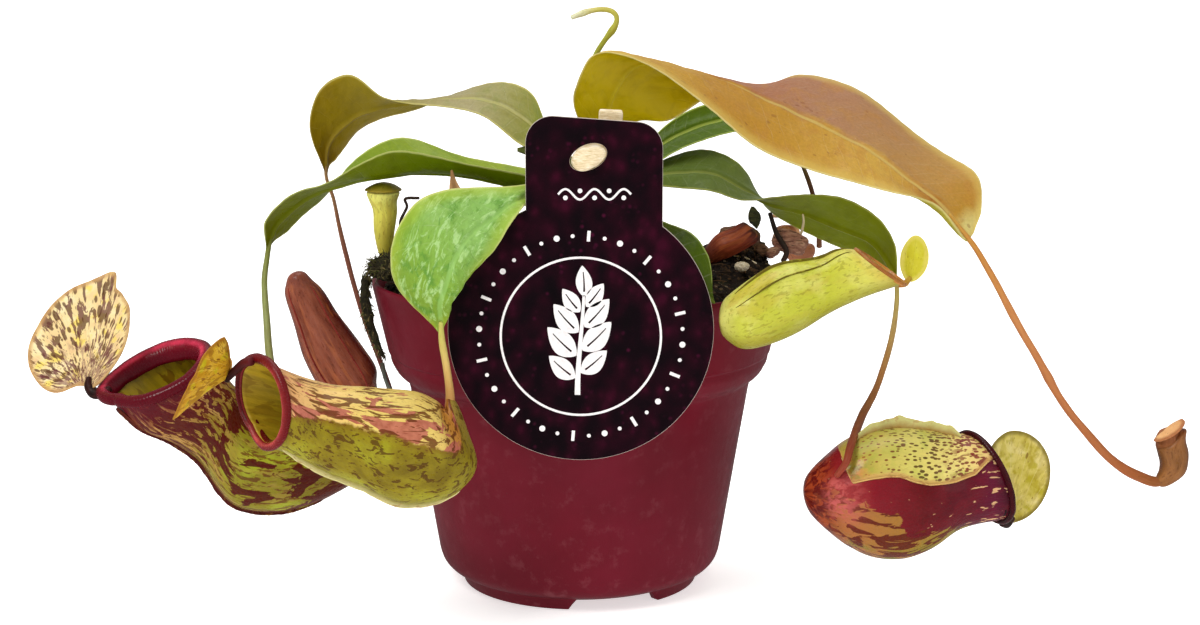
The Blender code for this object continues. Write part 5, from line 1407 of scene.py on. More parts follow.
def front_left_paint():
    p = trap_start("pitcher_front_left_colour", 0.30, 0.3)
    al, cz, zd = p.attr("al"), p.attr("cz"), p.attr("zd")
    # sunny side: cream and yellow with long brown dashes and rosy patches
    cream = p.ramp(al, [(0.0, (160, 100, 34)), (0.22, (186, 128, 52)), (0.34, (216, 186, 100)), (0.6, (226, 200, 108)), (0.85, (220, 176, 112)), (1.0, (204, 140, 96))])
    rosy = p.noise(1.0, 4, 0.5, p.stretch(p.pv, 0.085, 0.30, 0.30, (2.0, 7.0, 1.0)), 0.8)
    reach = p.math("ADD", p.span(zd, 0.75, 0.10, -0.10, 0.07), p.span(al, 0.8, 1.0, 0.0, 0.03))
    rosy = p.span(p.math("ADD", rosy, reach), 0.53, 0.545)
    top = p.mix(p.math("MULTIPLY", rosy, 0.9), cream, p.ramp(p.noise(0.5, 3, 0.5, p.pv), [(0.3, (158, 70, 66)), (0.7, (190, 108, 92))]))
    dash = p.noise(1.0, 3, 0.5, p.stretch(p.pv, 0.09, 0.75, 0.75, (6.0, 2.0, 4.0)), 0.5)
    dash = p.span(dash, 0.545, 0.57)
    top = p.mix(p.math("MULTIPLY", dash, 0.88), top, (98, 46, 14))
    fine = p.noise(1.0, 4, 0.6, p.stretch(p.pv, 0.45, 1.6, 1.6), 0.4)
    top = p.mix(p.math("MULTIPLY", p.span(fine, 0.60, 0.64), 0.6), top, (140, 66, 44))
    # shaded side: olive with many small brown marks
    olive = p.ramp(p.noise(0.12, 4, 0.55, p.pv), [(0.35, (116, 98, 14)), (0.52, (138, 122, 20)), (0.66, (152, 146, 28))])
    olive = p.mix(p.span(cz, -0.55, -0.95, 0.0, 0.5), olive, (150, 148, 48))
    olive = p.mix(p.span(al, 0.28, 0.0, 0.0, 0.7), olive, (150, 118, 60))
    marks = p.noise(1.0, 3, 0.6, p.stretch(p.pv, 0.28, 0.62, 0.62, (3.0, 3.0, 8.0)), 0.7)
    marks = p.span(marks, 0.56, 0.59)
    olive = p.mix(p.math("MULTIPLY", marks, 0.8), olive, (82, 46, 8))
    pepper = p.cells(0.8, p.stretch(p.pv, 0.7, 1.2, 1.2))
    olive = p.mix(p.math("MULTIPLY", p.span(pepper, 0.24, 0.14), 0.6), olive, (84, 52, 16))
    wander = p.math("MULTIPLY", p.math("SUBTRACT", p.noise(0.35, 3, 0.6, p.pv), 0.5), 0.22)
    border = p.math("ADD", zd, wander)
    colour = p.mix(p.span(border, -0.03, 0.03), olive, top)
    seam = p.math("MULTIPLY", p.span(border, -0.16, -0.02), p.span(border, 0.05, 0.0))
    colour = p.mix(p.math("MULTIPLY", seam, 0.35), colour, (124, 74, 30))
    inner = inside_paint(p, (104, 124, 6), (160, 142, 14), (176, 146, 34), 0.5, (120, 84, 10))
    return trap_end(p, colour, inner, 0.32)


def rim_paint():
    p = trap_start("pitcher_rim_colour", 0.28, 0.35)
    al, cz, sz = p.attr("al"), p.attr("cz"), p.attr("sz")
    base = p.ramp(al, [(0.0, (190, 186, 96)), (0.15, (188, 190, 66)), (0.6, (186, 188, 52)), (0.85, (208, 204, 84)), (1.0, (206, 176, 76))])
    pale = p.noise(0.12, 3, 0.5, p.pv)
    base = p.mix(p.span(pale, 0.45, 0.68, 0.0, 0.7), base, (214, 212, 112))
    # painted shade: the lower side of the pitcher is darker olive
    base = p.mix(p.span(cz, -0.2, -0.9, 0.0, 0.7), base, (122, 116, 26))
    blush = p.noise(1.0, 3, 0.5, p.stretch(p.pv, 0.06, 0.22, 0.22, (3.0, 0.0, 5.0)), 0.5)
    base = p.mix(p.math("MULTIPLY", p.span(blush, 0.50, 0.66), p.span(cz, -0.2, 0.8, 0.10, 0.35)), base, (186, 140, 60))
    fine = streaks(p, 0.5, 1.2, 0.56, 0.62, 4, 0.5, 2.0)
    base = p.mix(p.math("MULTIPLY", fine, 0.4), base, (126, 116, 24))
    inner = inside_paint(p, (90, 84, 20), (136, 126, 30), (170, 150, 60), 0.4, (110, 70, 24))
    return trap_end(p, base, inner, 0.30)


def lower_right_paint():
    p = trap_start("pitcher_lower_right_colour", 0.24, 0.5)
    al, cz, sz, zd = p.attr("al"), p.attr("cz"), p.attr("sz"), p.attr("zd")
    x = p.xyz(p.pv)[0]
    # the pale panel between the wings
    panel = p.ramp(al, [(0.0, (190, 130, 60)), (0.14, (196, 142, 58)), (0.26, (190, 170, 80)), (0.45, (206, 194, 100)),
                        (0.7, (226, 206, 122)), (1.0, (224, 186, 122))])
    green = p.noise(0.16, 3, 0.5, p.pv)
    panel = p.mix(p.math("MULTIPLY", p.span(green, 0.46, 0.64), 0.6), panel, (176, 180, 74))
    dots = p.cells(0.92, p.stretch(p.pv, 0.60, 1.15, 1.15), "F1", 0.75)
    keep = p.noise(0.15, 3, 0.6, p.pv)
    size = p.math("ADD", p.span(al, 0.1, 0.6, 0.16, 0.40), p.span(keep, 0.35, 0.65, -0.04, 0.06))
    dots = p.span(p.math("SUBTRACT", size, dots), -0.05, 0.03)
    spot = p.ramp(al, [(0.2, (150, 70, 40)), (0.5, (72, 46, 20)), (0.8, (128, 44, 42)), (1.0, (120, 30, 40))])
    panel = p.mix(p.math("MULTIPLY", dots, 0.9), panel, spot)
    blot = streaks(p, 0.30, 0.62, 0.52, 0.54, 4, 0.8, 4.0)
    panel = p.mix(p.math("MULTIPLY", blot, p.math("MULTIPLY", p.span(al, 0.55, 0.78), 0.9)), panel, (118, 26, 36))
    hollow = p.math("MULTIPLY", p.span(al, 0.34, 0.22), p.span(cz, 0.95, 0.6))
    panel = p.mix(p.math("MULTIPLY", hollow, 0.7), panel, p.mix(p.span(p.noise(0.35, 3, 0.5, p.pv), 0.4, 0.6), (120, 116, 16), (196, 128, 48)))
    # burgundy flank
    wine = p.ramp(al, [(0.0, (120, 40, 22)), (0.15, (140, 32, 36)), (0.3, (126, 20, 32)), (0.5, (96, 14, 20)), (0.75, (86, 14, 30)), (0.9, (92, 16, 44)), (1.0, (60, 6, 20))])
    wine = p.mix(p.span(p.noise(0.2, 4, 0.6, p.pv), 0.4, 0.7, 0.0, 0.4), wine, (120, 24, 34))
    pale = p.noise(1.0, 2, 0.5, p.stretch(p.pv, 0.36, 0.85, 0.85, (2.5, 6.0, 0.5)), 0.3)
    pale_limit = p.math("SUBTRACT", 0.72, p.span(al, 0.66, 0.92, 0.0, 0.12))
    pale = p.span(p.math("SUBTRACT", pale, pale_limit), 0.0, 0.012)
    wine = p.mix(p.math("MULTIPLY", pale, 0.85), wine, (216, 172, 122))
    # tan belly with dark streaks
    tan = p.ramp(al, [(0.0, (150, 70, 34)), (0.2, (166, 104, 54)), (0.45, (156, 112, 42)), (0.7, (138, 118, 34)), (1.0, (104, 46, 30))])
    tan = p.mix(p.math("MULTIPLY", p.span(green, 0.44, 0.62), p.span(cz, -0.5, -0.95)), tan, (128, 118, 34))
    dark = p.noise(1.0, 3, 0.5, p.stretch(p.pv, 0.085, 0.42, 0.42, (1.0, 3.0, 6.0)), 0.7)
    dark_limit = p.math("SUBTRACT", 0.525, p.span(al, 0.05, 0.22, 0.05, 0.0))
    dark = p.span(p.math("SUBTRACT", dark, dark_limit), 0.0, 0.012)
    tan = p.mix(p.math("MULTIPLY", dark, 0.92), tan, (92, 20, 12))
    rim = p.ramp(al, [(0.08, (0.76,) * 3 + (1.0,)), (0.17, (0.60,) * 3 + (1.0,)), (0.27, (0.50,) * 3 + (1.0,)), (0.38, (0.42,) * 3 + (1.0,)), (0.44, (0.26,) * 3 + (1.0,)), (0.62, (0.20,) * 3 + (1.0,)), (0.74, (0.06,) * 3 + (1.0,)), (0.82, (0.0,) * 3 + (1.0,))])
    rim = p.math("SUBTRACT", p.math("MULTIPLY", rim, 2.0), 1.0)
    rag = p.math("MULTIPLY", p.math("SUBTRACT", p.noise(1.0, 4, 0.6, p.stretch(p.pv, 0.12, 0.34, 0.34), 0.8), 0.5), 0.7)
    low = p.span(p.math("ADD", p.math("SUBTRACT", cz, rim), rag), -0.015, 0.015)
    colour = p.mix(low, tan, wine)
    wander = p.math("MULTIPLY", p.math("SUBTRACT", p.noise(0.3, 2, 0.5, p.pv), 0.5), 0.10)
    edge = p.math("ADD", zd, wander)
    colour = p.mix(p.span(edge, -0.02, 0.02), colour, panel)
    cream = p.math("MULTIPLY", p.span(edge, -0.02, 0.02), p.span(edge, 0.08, 0.03))
    colour = p.mix(p.math("MULTIPLY", cream, 0.8), colour, (206, 164, 96))
    # left end: red and orange bands where the stalk spreads over it
    bands = streaks(p, 0.10, 0.55, 0.44, 0.56, 3, 0.8, 6.0)
    root = p.mix(bands, (160, 66, 34), (96, 22, 18))
    colour = p.mix(p.math("MULTIPLY", p.span(al, 0.17, 0.05), p.span(cz, 0.2, 0.6, 0.75, 0.95)), colour, root)
    # pink streaks where the foot of the stalk runs out over the skin, partly a painted pink highlight along the
    # shoulder
    stalk_foot_and_highlight = p.math("MULTIPLY", p.span(al, 0.04, 0.12), p.span(al, 0.30, 0.15))
    stalk_foot_and_highlight = p.math("MULTIPLY", stalk_foot_and_highlight, p.math("MULTIPLY", p.span(cz, -0.55, 0.0), p.span(cz, 0.75, 0.45)))
    stalk_foot_and_highlight = p.math("MULTIPLY", stalk_foot_and_highlight, p.span(sz, 0.2, -0.4))
    strands = streaks(p, 0.16, 0.8, 0.40, 0.60, 3, 0.6, 8.0)
    colour = p.mix(p.math("MULTIPLY", stalk_foot_and_highlight, p.math("ADD", 0.25, p.math("MULTIPLY", strands, 0.65))), colour, (196, 92, 88))
    inner = inside_paint(p, (50, 10, 12), (80, 20, 20), (60, 10, 20), 0.4, (40, 8, 10))
    return trap_end(p, colour, inner, 0.24)


def p_mid(a, b, share=0.5):
    """A display colour between two."""
    return tuple(x + (y - x) * share for x, y in zip(a, b))


def lip_paint(name, outer, crest, inner, dark, gloss=0.22, split=None):
    """outer, crest and inner are colours across the roll; dark takes over in patches. With split, the crest is lit on the far or the near side of the ring."""
    p = Paint(name, gloss, 0.16, 0.06, (1.0, 0.35, 0.25), 0.0012, coat=0.07, coat_roughness=0.12)
    rad, axi, cz, sz, rib = (p.attr(k) for k in ("rad", "axi", "cz", "sz", "rib"))
    across = p.span(rad, 1.5, -2.9)
    colour = p.ramp(across, [(0.0, outer), (0.22, p_mid(outer, crest)), (0.42, crest), (0.62, crest), (0.82, inner), (1.0, dark)])
    patch = p.noise(0.22, 4, 0.6)
    colour = p.mix(p.span(patch, 0.42, 0.66, 0.0, 0.45), colour, dark)
    if split is not None:
        # one side of the ring is bright on its crest, the other is dark but for a thin pale line inside
        turn = sz if split else p.math("ADD", p.math("MULTIPLY", sz, -0.85), p.math("MULTIPLY", cz, -0.45))
        shade = p.ramp(across, [(0.0, outer), (0.5, dark), (0.70, dark), (0.80, p_mid(dark, crest)), (0.88, dark), (1.0, dark)])
        colour = p.mix(p.span(p.math("ADD", turn, p.math("MULTIPLY", p.math("SUBTRACT", patch, 0.5), 0.5)), 0.15, -0.45), colour, shade)
    colour = p.mix(p.span(rib, 0.3, 0.9, 0.10, 0.0), colour, dark)
    grain = p.noise(2.0, 3, 0.6)
    rough = p.span(grain, 0.3, 0.7, gloss - 0.05, gloss + 0.12)
    height = p.math("ADD", p.math("MULTIPLY", grain, 0.4), p.math("MULTIPLY", rib, 0.18))
    return p.finish(colour, rough, p.bump(height, 0.0002, 0.4))


def wing_paint(name, root, tip, streak, gloss=0.35):
    p = Paint(name, gloss, 0.12, 0.09, (1.0, 0.7, 0.3), 0.0015, coat=0.04, coat_roughness=0.2)
    wh, am = p.attr("wh"), p.attr("am")
    place = p.combine(p.math("MULTIPLY", am, 0.45), p.math("MULTIPLY", wh, 1.6), 0.0)
    n = p.noise(1.0, 4, 0.6, place)
    colour = p.ramp(p.math("ADD", wh, p.math("MULTIPLY", p.math("SUBTRACT", n, 0.5), 0.8)), [(0.1, root), (0.75, tip)])
    colour = p.mix(p.span(n, 0.56, 0.66, 0.0, 0.6), colour, streak)
    grain = p.noise(2.0, 3, 0.6)
    return p.finish(colour, p.span(grain, 0.3, 0.7, gloss - 0.05, gloss + 0.12), p.bump(p.math("ADD", n, grain), 0.0002, 0.5))


def lid_paint(name, base, rim, speck, stain=None, stain_share=0.0, radial=14.0, length=5.2, density=0.0, gloss=0.38,
              yellow=None, veins=0.3, size=0.0, under=None, streaky=0.0, streak_colour=None):
    p = Paint(name, gloss, 0.12, 0.10, (1.0, 0.7, 0.35), 0.0015, coat=0.03, coat_roughness=0.25)
    lx, ly, ed, up, ls = (p.attr(k) for k in ("lx", "ly", "ed", "up", "ls"))
    far = p.math("ADD", ly, 2.5)
    reach = p.math("SQRT", p.math("ADD", p.math("MULTIPLY", lx, lx), p.math("MULTIPLY", far, far)))
    turn = p.math("ARCTAN2", lx, far)
    polar = p.combine(p.math("MULTIPLY", turn, radial), p.math("MULTIPLY", p.math("LOGARITHM", p.math("ADD", reach, 1.0), math.e), length), 0.0)
    flat = p.combine(lx, ly, 0.0)
    cloud = p.noise(0.14, 4, 0.6, flat, 0.4)
    colour = p.ramp(cloud, [(0.35, base[0]), (0.5, base[1]), (0.65, base[2])])
    if yellow:
        colour = p.mix(p.math("MULTIPLY", p.span(p.noise(0.20, 3, 0.5, flat), 0.52, 0.64), 0.8), colour, yellow)
    if stain:
        wash = p.noise(1.0, 4, 0.6, p.stretch(polar, 0.5, 0.42, 1.0), 0.5)
        near = p.span(reach, 22.0, 5.0, -0.08, 0.12)
        wash = p.span(p.math("ADD", wash, near), 0.52, 0.66)
        colour = p.mix(p.math("MULTIPLY", wash, stain_share), colour, stain)
    pale = p.math("ABSOLUTE", p.math("SINE", p.math("MULTIPLY", turn, 13.0)))
    colour = p.mix(p.math("MULTIPLY", p.span(pale, 0.16, 0.02), veins), colour, base[2])
    dots = p.cells(1.0, polar, "F1", 0.95)
    keep = p.noise(1.0, 3, 0.6, p.stretch(polar, 0.33, 0.4, 1.0))
    limit = p.math("ADD", p.span(keep, 0.38, 0.64, 0.05, 0.34), size)
    mark = p.span(p.math("SUBTRACT", limit, dots), -0.06, 0.03)
    colour = p.mix(p.math("MULTIPLY", mark, 0.85), colour, speck)
    second = p.cells(1.0, p.stretch(polar, 2.1, 1.7, 1.0, (3.0, 1.0, 0.0)), "F1", 1.0)
    fine = p.span(second, 0.20 + density, 0.12 + density)
    colour = p.mix(p.math("MULTIPLY", fine, 0.55), colour, speck)
    if streaky:
        # fine ragged strokes that run out from the hinge
        stroke = p.noise(1.0, 4, 0.62, p.stretch(polar, 0.85, 0.62, 1.0, (7.0, 2.0, 0.0)), 0.5)
        thick = p.noise(0.13, 2, 0.5, flat)
        stroke = p.span(p.math("SUBTRACT", stroke, p.span(thick, 0.35, 0.65, 0.56, 0.47)), 0.0, 0.03)
        colour = p.mix(p.math("MULTIPLY", stroke, streaky), colour, p.mix(p.span(p.noise(0.3, 3, 0.5, flat), 0.42, 0.58), speck, streak_colour or speck))
    edge = p.span(p.math("SUBTRACT", ed, p.noise(0.4, 3, 0.6, flat)), 1.0, -0.2)
    colour = p.mix(p.math("MULTIPLY", edge, 0.8), colour, rim)
    if under:
        colour = p.mix(p.span(up, 0.55, 0.45), colour, p.mix(0.2, colour, under))
    grain = p.noise(1.6, 4, 0.6, flat)
    rough = p.span(grain, 0.3, 0.7, gloss - 0.06, gloss + 0.12)
    height = p.math("ADD", p.math("MULTIPLY", cloud, 1.2), p.math("MULTIPLY", grain, 0.5))
    height = p.math("SUBTRACT", height, p.math("MULTIPLY", mark, 0.25))
    height = p.math("ADD", height, p.math("MULTIPLY", p.span(pale, 0.3, 0.0), 0.5))
    return p.finish(colour, rough, p.bump(height, 0.0003, 0.5))


def small_trap_paint(name, stops, streak, share=0.6, x=0.05, yz=0.5, lo=0.5, hi=0.6, gloss=0.28, coat=0.35, lit=None, tip=None):
    """Skin of a pitcher that has no panel: colour stops along it, with long streaks."""
    p = trap_start(name, gloss, coat)
    al, cz, sz = p.attr("al"), p.attr("cz"), p.attr("sz")
    colour = p.ramp(al, stops)
    colour = p.mix(p.math("MULTIPLY", streaks(p, x, yz, lo, hi, 4, 0.6, 2.0), share), colour, streak)
    # painted highlight: patches on one side of the pitcher brightened toward the lit colour
    if lit:
        glow = p.math("MULTIPLY", p.span(p.math("MULTIPLY", sz, -1.0), 0.1, 0.95), p.noise(0.5, 3, 0.6, p.stretch(p.pv, 0.2, 1.0, 1.0)))
        colour = p.mix(p.math("MULTIPLY", glow, 0.9), colour, lit)
    if tip:
        colour = p.mix(p.span(al, 0.86, 1.0, 0.0, 0.7), colour, tip)
    fine = streaks(p, 0.5, 1.8, 0.60, 0.66, 4, 0.4, 5.0)
    colour = p.mix(p.math("MULTIPLY", fine, 0.4), colour, p.mix(1.0, colour, (130, 100, 80), "MULTIPLY"))
    return trap_end(p, colour, colour, gloss)


# ------------------------------------------------------------------ pitchers in place
def line_of(*stops):
    """A function that runs in straight lines through the stops."""
    xs, ys = [s[0] for s in stops], [s[1] for s in stops]
    return lambda x: float(np.interp(x, xs, ys))


def small_pipe(name, material, points, radii, slot="tendril_skin", sides=14, step=0.35, wobble=0.12, seed=0, squash=1.0):
    dense = spl(points, np.linspace(0, len(points) - 1, 120))
    arc = np.concatenate([[0], np.cumsum(np.linalg.norm(np.diff(dense, axis=0), axis=1))])
    n = max(8, int(arc[-1] / step))
    want = np.linspace(0, arc[-1], n)
    path = np.stack([np.interp(want, arc, dense[:, i]) for i in range(3)], -1)
    r = np.interp(np.linspace(0, 1, n), np.linspace(0, 1, len(radii)), radii)
    pts, faces, al, am, an = pipe(path, r, sides, wobble, seed, squash)
    return piece(name, pts, faces, material, {"al": al, "am": am, "an": an}, (), slot)


def make_pitchers():
    # far left, its mouth turned up and its lid standing
    _, base, sections = OPEN_PITCHERS["pitcher_far_left"]
    far = Trap(sections, mouth=line_of((-180, 0.4), (-135, -2.3), (-90, 0.6), (-45, 1.6), (0, 0.2), (45, 0.1), (90, 1.0), (135, 0.3), (180, 0.4)))
    trap_body("pitcher_far_left", far_left_paint(), far, base, 4.6, uneven=0.45, seed=1)
    red_lip = lip_paint("far_left_lip_colour", (84, 5, 20), (206, 54, 82), (122, 10, 34), (98, 7, 26), 0.20, split=True)
    lip("pitcher_far_left", red_lip, far, lambda a: 0.80 + 0.35 * max(0.0, math.sin(a)) + 0.10 * math.cos(a), section_scale=1.3, ribs=110)
    keel = wing_paint("far_left_keel_colour", (110, 50, 36), (74, 22, 20), (150, 112, 56), 0.3)
    wing("far_left_wing_1", keel, far, 1.6, 7.7, line_of((0, math.pi + 0.30), (0.5, math.pi + 0.42), (1, math.pi + 0.55)),
         line_of((0, 0.1), (0.15, 0.7), (0.55, 0.9), (0.9, 0.6), (1, 0.15)), wave=0.3, pitch=9.0, seed=2, fringe=0.1, thickness=0.6)
    keel2 = wing_paint("far_left_keel_pale", (150, 142, 52), (170, 162, 70), (110, 60, 36), 0.3)
    wing("far_left_wing_2", keel2, far, 1.4, 7.2, line_of((0, math.pi - 0.35), (1, math.pi - 0.15)),
         line_of((0, 0.2), (0.25, 1.4), (0.6, 1.6), (0.85, 0.8), (1, 0.2)), wave=0.4, pitch=8.0, seed=3, fringe=0.1)
    lid1 = lid_paint("lid_far_left_colour", ((222, 190, 140), (230, 206, 148), (236, 218, 172)), (186, 148, 96), (92, 56, 34),
                     stain=(128, 82, 84), stain_share=0.7, radial=15.0, length=5.4, yellow=(232, 206, 88), veins=0.35, size=0.08, density=0.03,
                     streaky=0.85, streak_colour=(104, 52, 58))
    lid_shape("lid_far_left", lid1, rows=94, cols=94, seed=1, ruffle=0.35, tip_curl=0.8, ridge=0.9)
    dark = stalk_paint("hinge_dark", [(0.0, (46, 20, 18)), (0.5, (26, 14, 12)), (1.0, (60, 20, 22))], 0.35, 0.3, (90, 40, 34))
    small_pipe("far_left_hinge", dark, [(-136.8, -27.0, 65.4), (-136.8, -27.3, 63.0), (-135.4, -27.9, 61.2), (-133.2, -28.7, 61.2), (-130.6, -29.0, 62.4)],
               (0.7, 1.4, 1.7, 1.5, 1.1), slot="pitcher_speckled", seed=1)
    hair = stalk_paint("hair_dark", [(0.0, (90, 24, 28)), (1.0, (44, 20, 18))], 0.5, 0.2, (40, 20, 16))
    small_pipe("far_left_spur_1", hair, [(-104.6, -28.4, 71.6), (-103.0, -27.9, 73.0), (-102.4, -27.6, 74.6)], (0.42, 0.26, 0.08), slot="pitcher_speckled", sides=8, step=0.25)
    small_pipe("far_left_spur_2", hair, [(-103.0, -28.6, 71.2), (-101.0, -28.4, 72.2), (-99.6, -28.4, 73.4)], (0.42, 0.24, 0.08), slot="pitcher_speckled", sides=8, step=0.25)
    small_pipe("far_left_spur_3", hair, [(-102.4, -28.9, 70.6), (-100.2, -29.0, 71.0), (-98.9, -29.2, 72.4)], (0.40, 0.24, 0.08), slot="pitcher_speckled", sides=8, step=0.25)

    # front left, lying across, its mouth to the left
    _, base, sections = OPEN_PITCHERS["pitcher_front_left"]
    front = Trap(sections, mouth=line_of((-180, 0.2), (-90, 0.0), (0, 0.1), (30, 0.8), (55, 1.4), (80, 0.6), (110, -0.6), (140, -1.7), (165, -0.6), (180, 0.2)))
    border = line_of((0.0, 0.2), (0.15, -0.2), (0.256, -0.10), (0.368, 0.15), (0.45, 0.22), (0.52, 0.34), (0.63, 0.39), (0.71, 0.40), (0.80, 0.36), (0.927, 0.05), (1.0, -0.15))
    trap_body("pitcher_front_left", front_left_paint(), front, base, 5.0, uneven=0.4, edge=border, seed=2)
    rose_lip = lip_paint("front_left_lip_colour", (104, 18, 22), (192, 78, 72), (140, 34, 34), (84, 10, 14), 0.2, split=False)
    lip("pitcher_front_left", rose_lip, front, lambda a: 0.62 + 0.12 * math.cos(a) - 0.22 * max(0.0, math.sin(a)), ribs=104, section_scale=0.92)
    pale = wing_paint("front_left_wing_colour", (158, 146, 56), (206, 196, 136), (168, 124, 70), 0.35)
    wing("front_left_wing_1", pale, front, 3.1, 8.5, line_of((0, math.pi + 0.05), (0.5, math.pi + 0.22), (1, math.pi + 0.40)),
         line_of((0, 0.1), (0.2, 0.9), (0.55, 1.2), (0.85, 1.2), (1, 0.3)), wave=0.25, pitch=8.0, seed=4, lean=0.1, thickness=0.6)
    olive = wing_paint("front_left_wing_back", (140, 132, 44), (176, 164, 84), (120, 76, 36), 0.35)
    wing("front_left_wing_2", olive, front, 3.0, 8.0, line_of((0, math.pi - 0.45), (1, math.pi - 0.35)),
         line_of((0, 0.2), (0.3, 1.5), (0.7, 1.6), (1, 0.3)), wave=0.4, pitch=7.0, seed=5)
    lid2 = lid_paint("lid_front_left_colour", ((184, 132, 22), (204, 160, 44), (214, 178, 66)), (150, 98, 26), (122, 66, 16),
                     radial=9.0, length=4.5, yellow=(190, 178, 30), veins=0.4, size=-0.02, streaky=0.6, streak_colour=(140, 88, 14))
    lid_shape("lid_front_left", lid2, seed=2, ridge=0.8, ruffle=0.2)
    small_pipe("front_left_hinge", hair, [(-82.6, -78.0, 80.6), (-85.0, -75.8, 79.6), (-87.6, -74.2, 77.2), (-90.0, -73.8, 74.6)],
               (1.2, 1.25, 1.1, 0.7), slot="pitcher_speckled", seed=2)

    # on the rim
    _, base, sections = OPEN_PITCHERS["pitcher_rim"]
    rim = Trap(sections)
    trap_body("pitcher_rim", rim_paint(), rim, base, 1.6, uneven=0.4, seed=3, rows=88)
    gold_lip = lip_paint("rim_lip_colour", (150, 96, 40), (196, 132, 60), (150, 60, 36), (122, 60, 34), 0.24)
    lip("pitcher_rim", gold_lip, rim, lambda a: 0.20, ribs=84, section_scale=0.42, around=252)
    moss_wing = wing_paint("rim_wing_colour", (140, 132, 34), (104, 92, 26), (166, 156, 50), 0.35)
    wing("rim_wing_1", moss_wing, rim, 0.5, 4.6, line_of((0, -1.0), (0.5, -0.7), (1, -0.35)), line_of((0, 0.05), (0.3, 0.35), (0.8, 0.35), (1, 0.1)),
         wave=0.15, pitch=7.0, seed=7, thickness=0.45)
    wing("rim_wing_2", moss_wing, rim, 0.5, 4.6, line_of((0, -0.3), (1, 0.15)), line_of((0, 0.05), (0.3, 0.7), (0.8, 0.6), (1, 0.1)),
         wave=0.25, pitch=6.0, seed=8, thickness=0.45)
    lid3 = lid_paint("lid_rim_colour", ((196, 188, 40), (208, 200, 52), (218, 212, 84)), (226, 214, 110), (140, 110, 30),
                     radial=8.0, length=4.0, yellow=(216, 214, 60), veins=0.3, size=-0.12, under=(176, 164, 40))
    lid_shape("lid_rim", lid3, rows=56, cols=56, seed=3, ridge=0.4, ruffle=0.2)
    gold = stalk_paint("hinge_gold", [(0.0, (170, 110, 50)), (1.0, (176, 150, 50))], 0.3, 0.4, (130, 60, 34))
    small_pipe("rim_hinge", gold, [(85.8, -49.6, 95.6), (87.4, -48.2, 95.6), (89.0, -46.4, 96.8)], (0.9, 0.9, 0.6), slot="pitcher_speckled", seed=3)

    # low on the right
    _, base, sections = OPEN_PITCHERS["pitcher_lower_right"]
    low = Trap(sections)
    panel = line_of((0, 1.3), (0.16, 1.2), (0.19, 0.66), (0.21, 0.42), (0.34, 0.45), (0.40, 0.44), (0.46, 0.36), (0.53, 0.30), (0.66, 0.28),
                    (0.79, 0.33), (0.915, 0.54), (1.0, 0.64))
    trap_body("pitcher_lower_right", lower_right_paint(), low, base, 1.6, uneven=0.45, edge=panel, seed=4, slot="pitcher_burgundy")
    black_lip = lip_paint("lower_right_lip_colour", (62, 6, 14), (40, 3, 10), (26, 2, 5), (16, 1, 4), 0.2)
    lip("pitcher_lower_right", black_lip, low, lambda a: 0.40, ribs=96, section_scale=0.78, slot="pitcher_burgundy")
    clear = wing_paint("lower_right_wing_colour", (178, 138, 70), (206, 200, 130), (188, 150, 90), 0.35)
    wing("lower_right_wing_1", clear, low, 1.5, 5.6, line_of((0, -0.25), (0.3, 0.05), (0.6, 0.1), (1, -0.15)),
         line_of((0, 0.3), (0.12, 2.0), (0.34, 3.1), (0.52, 2.3), (0.66, 2.7), (0.84, 2.0), (1, 0.3)),
         wave=0.5, pitch=9.0, seed=9, slot="pitcher_burgundy", thickness=0.6, lean=0.1)
    cream = wing_paint("lower_right_ridge_colour", (176, 120, 62), (206, 168, 100), (150, 70, 40), 0.35)
    wing("lower_right_wing_2", cream, low, 1.25, 6.55, lambda f: -math.acos(max(-1, min(1, panel((1.25 + 5.3 * f) / 7.0)))),
         line_of((0, 0.1), (0.15, 0.35), (0.5, 0.5), (0.85, 0.4), (1, 0.1)), wave=0.3, pitch=8.5, seed=10, slot="pitcher_burgundy",
         thickness=0.6, lean=0.2, sink=0.5)
    lid4 = lid_paint("lid_lower_right_colour", ((176, 160, 48), (204, 188, 96), (218, 204, 136)), (112, 98, 30), (128, 98, 24),
                     radial=10.0, length=4.5, yellow=(170, 156, 30), veins=0.3, size=-0.12, density=-0.03, streaky=0.25, streak_colour=(150, 124, 30))
    lid_shape("lid_lower_right", lid4, rows=78, cols=78, seed=4, ridge=0.5, ruffle=0.3)
    small_pipe("lower_right_hinge", dark, [(118.4, -33.6, 25.0), (120.6, -30.6, 23.8), (122.8, -27.0, 24.6)], (0.85, 0.95, 0.7), slot="pitcher_burgundy", seed=4)
    # closed ones
    base, sections, tip = CLOSED_PITCHERS["pitcher_red"]
    red = Trap(sections)
    paint = small_trap_paint("pitcher_red_colour", [(0.0, (92, 48, 14)), (0.3, (84, 20, 5)), (0.6, (76, 9, 5)), (0.85, (92, 26, 14)), (1.0, (108, 54, 40))],
                             (176, 96, 38), 0.65, 0.035, 0.62, 0.52, 0.64, 0.24, 0.5, lit=(206, 124, 96), tip=(120, 62, 54))
    trap_body("pitcher_red", paint, red, base, None, tip, uneven=0.3, seed=5, slot="pitcher_burgundy", rows=88, around=100, ribs=0.10, rib_count=5)
    red_keel = wing_paint("red_keel_colour", (120, 30, 30), (150, 60, 50), (90, 20, 20), 0.3)
    wing("red_wing_1", red_keel, red, 0.6, 5.4, line_of((0, -1.0), (1, -0.75)), line_of((0, 0.05), (0.3, 0.3), (0.8, 0.3), (1, 0.05)), wave=0.1, seed=11,
         slot="pitcher_burgundy", cols=6, thickness=0.6)
    wing("red_wing_2", red_keel, red, 0.6, 5.4, line_of((0, -2.1), (1, -2.3)), line_of((0, 0.05), (0.3, 0.3), (0.8, 0.3), (1, 0.05)), wave=0.1, seed=12,
         slot="pitcher_burgundy", cols=6, thickness=0.6)

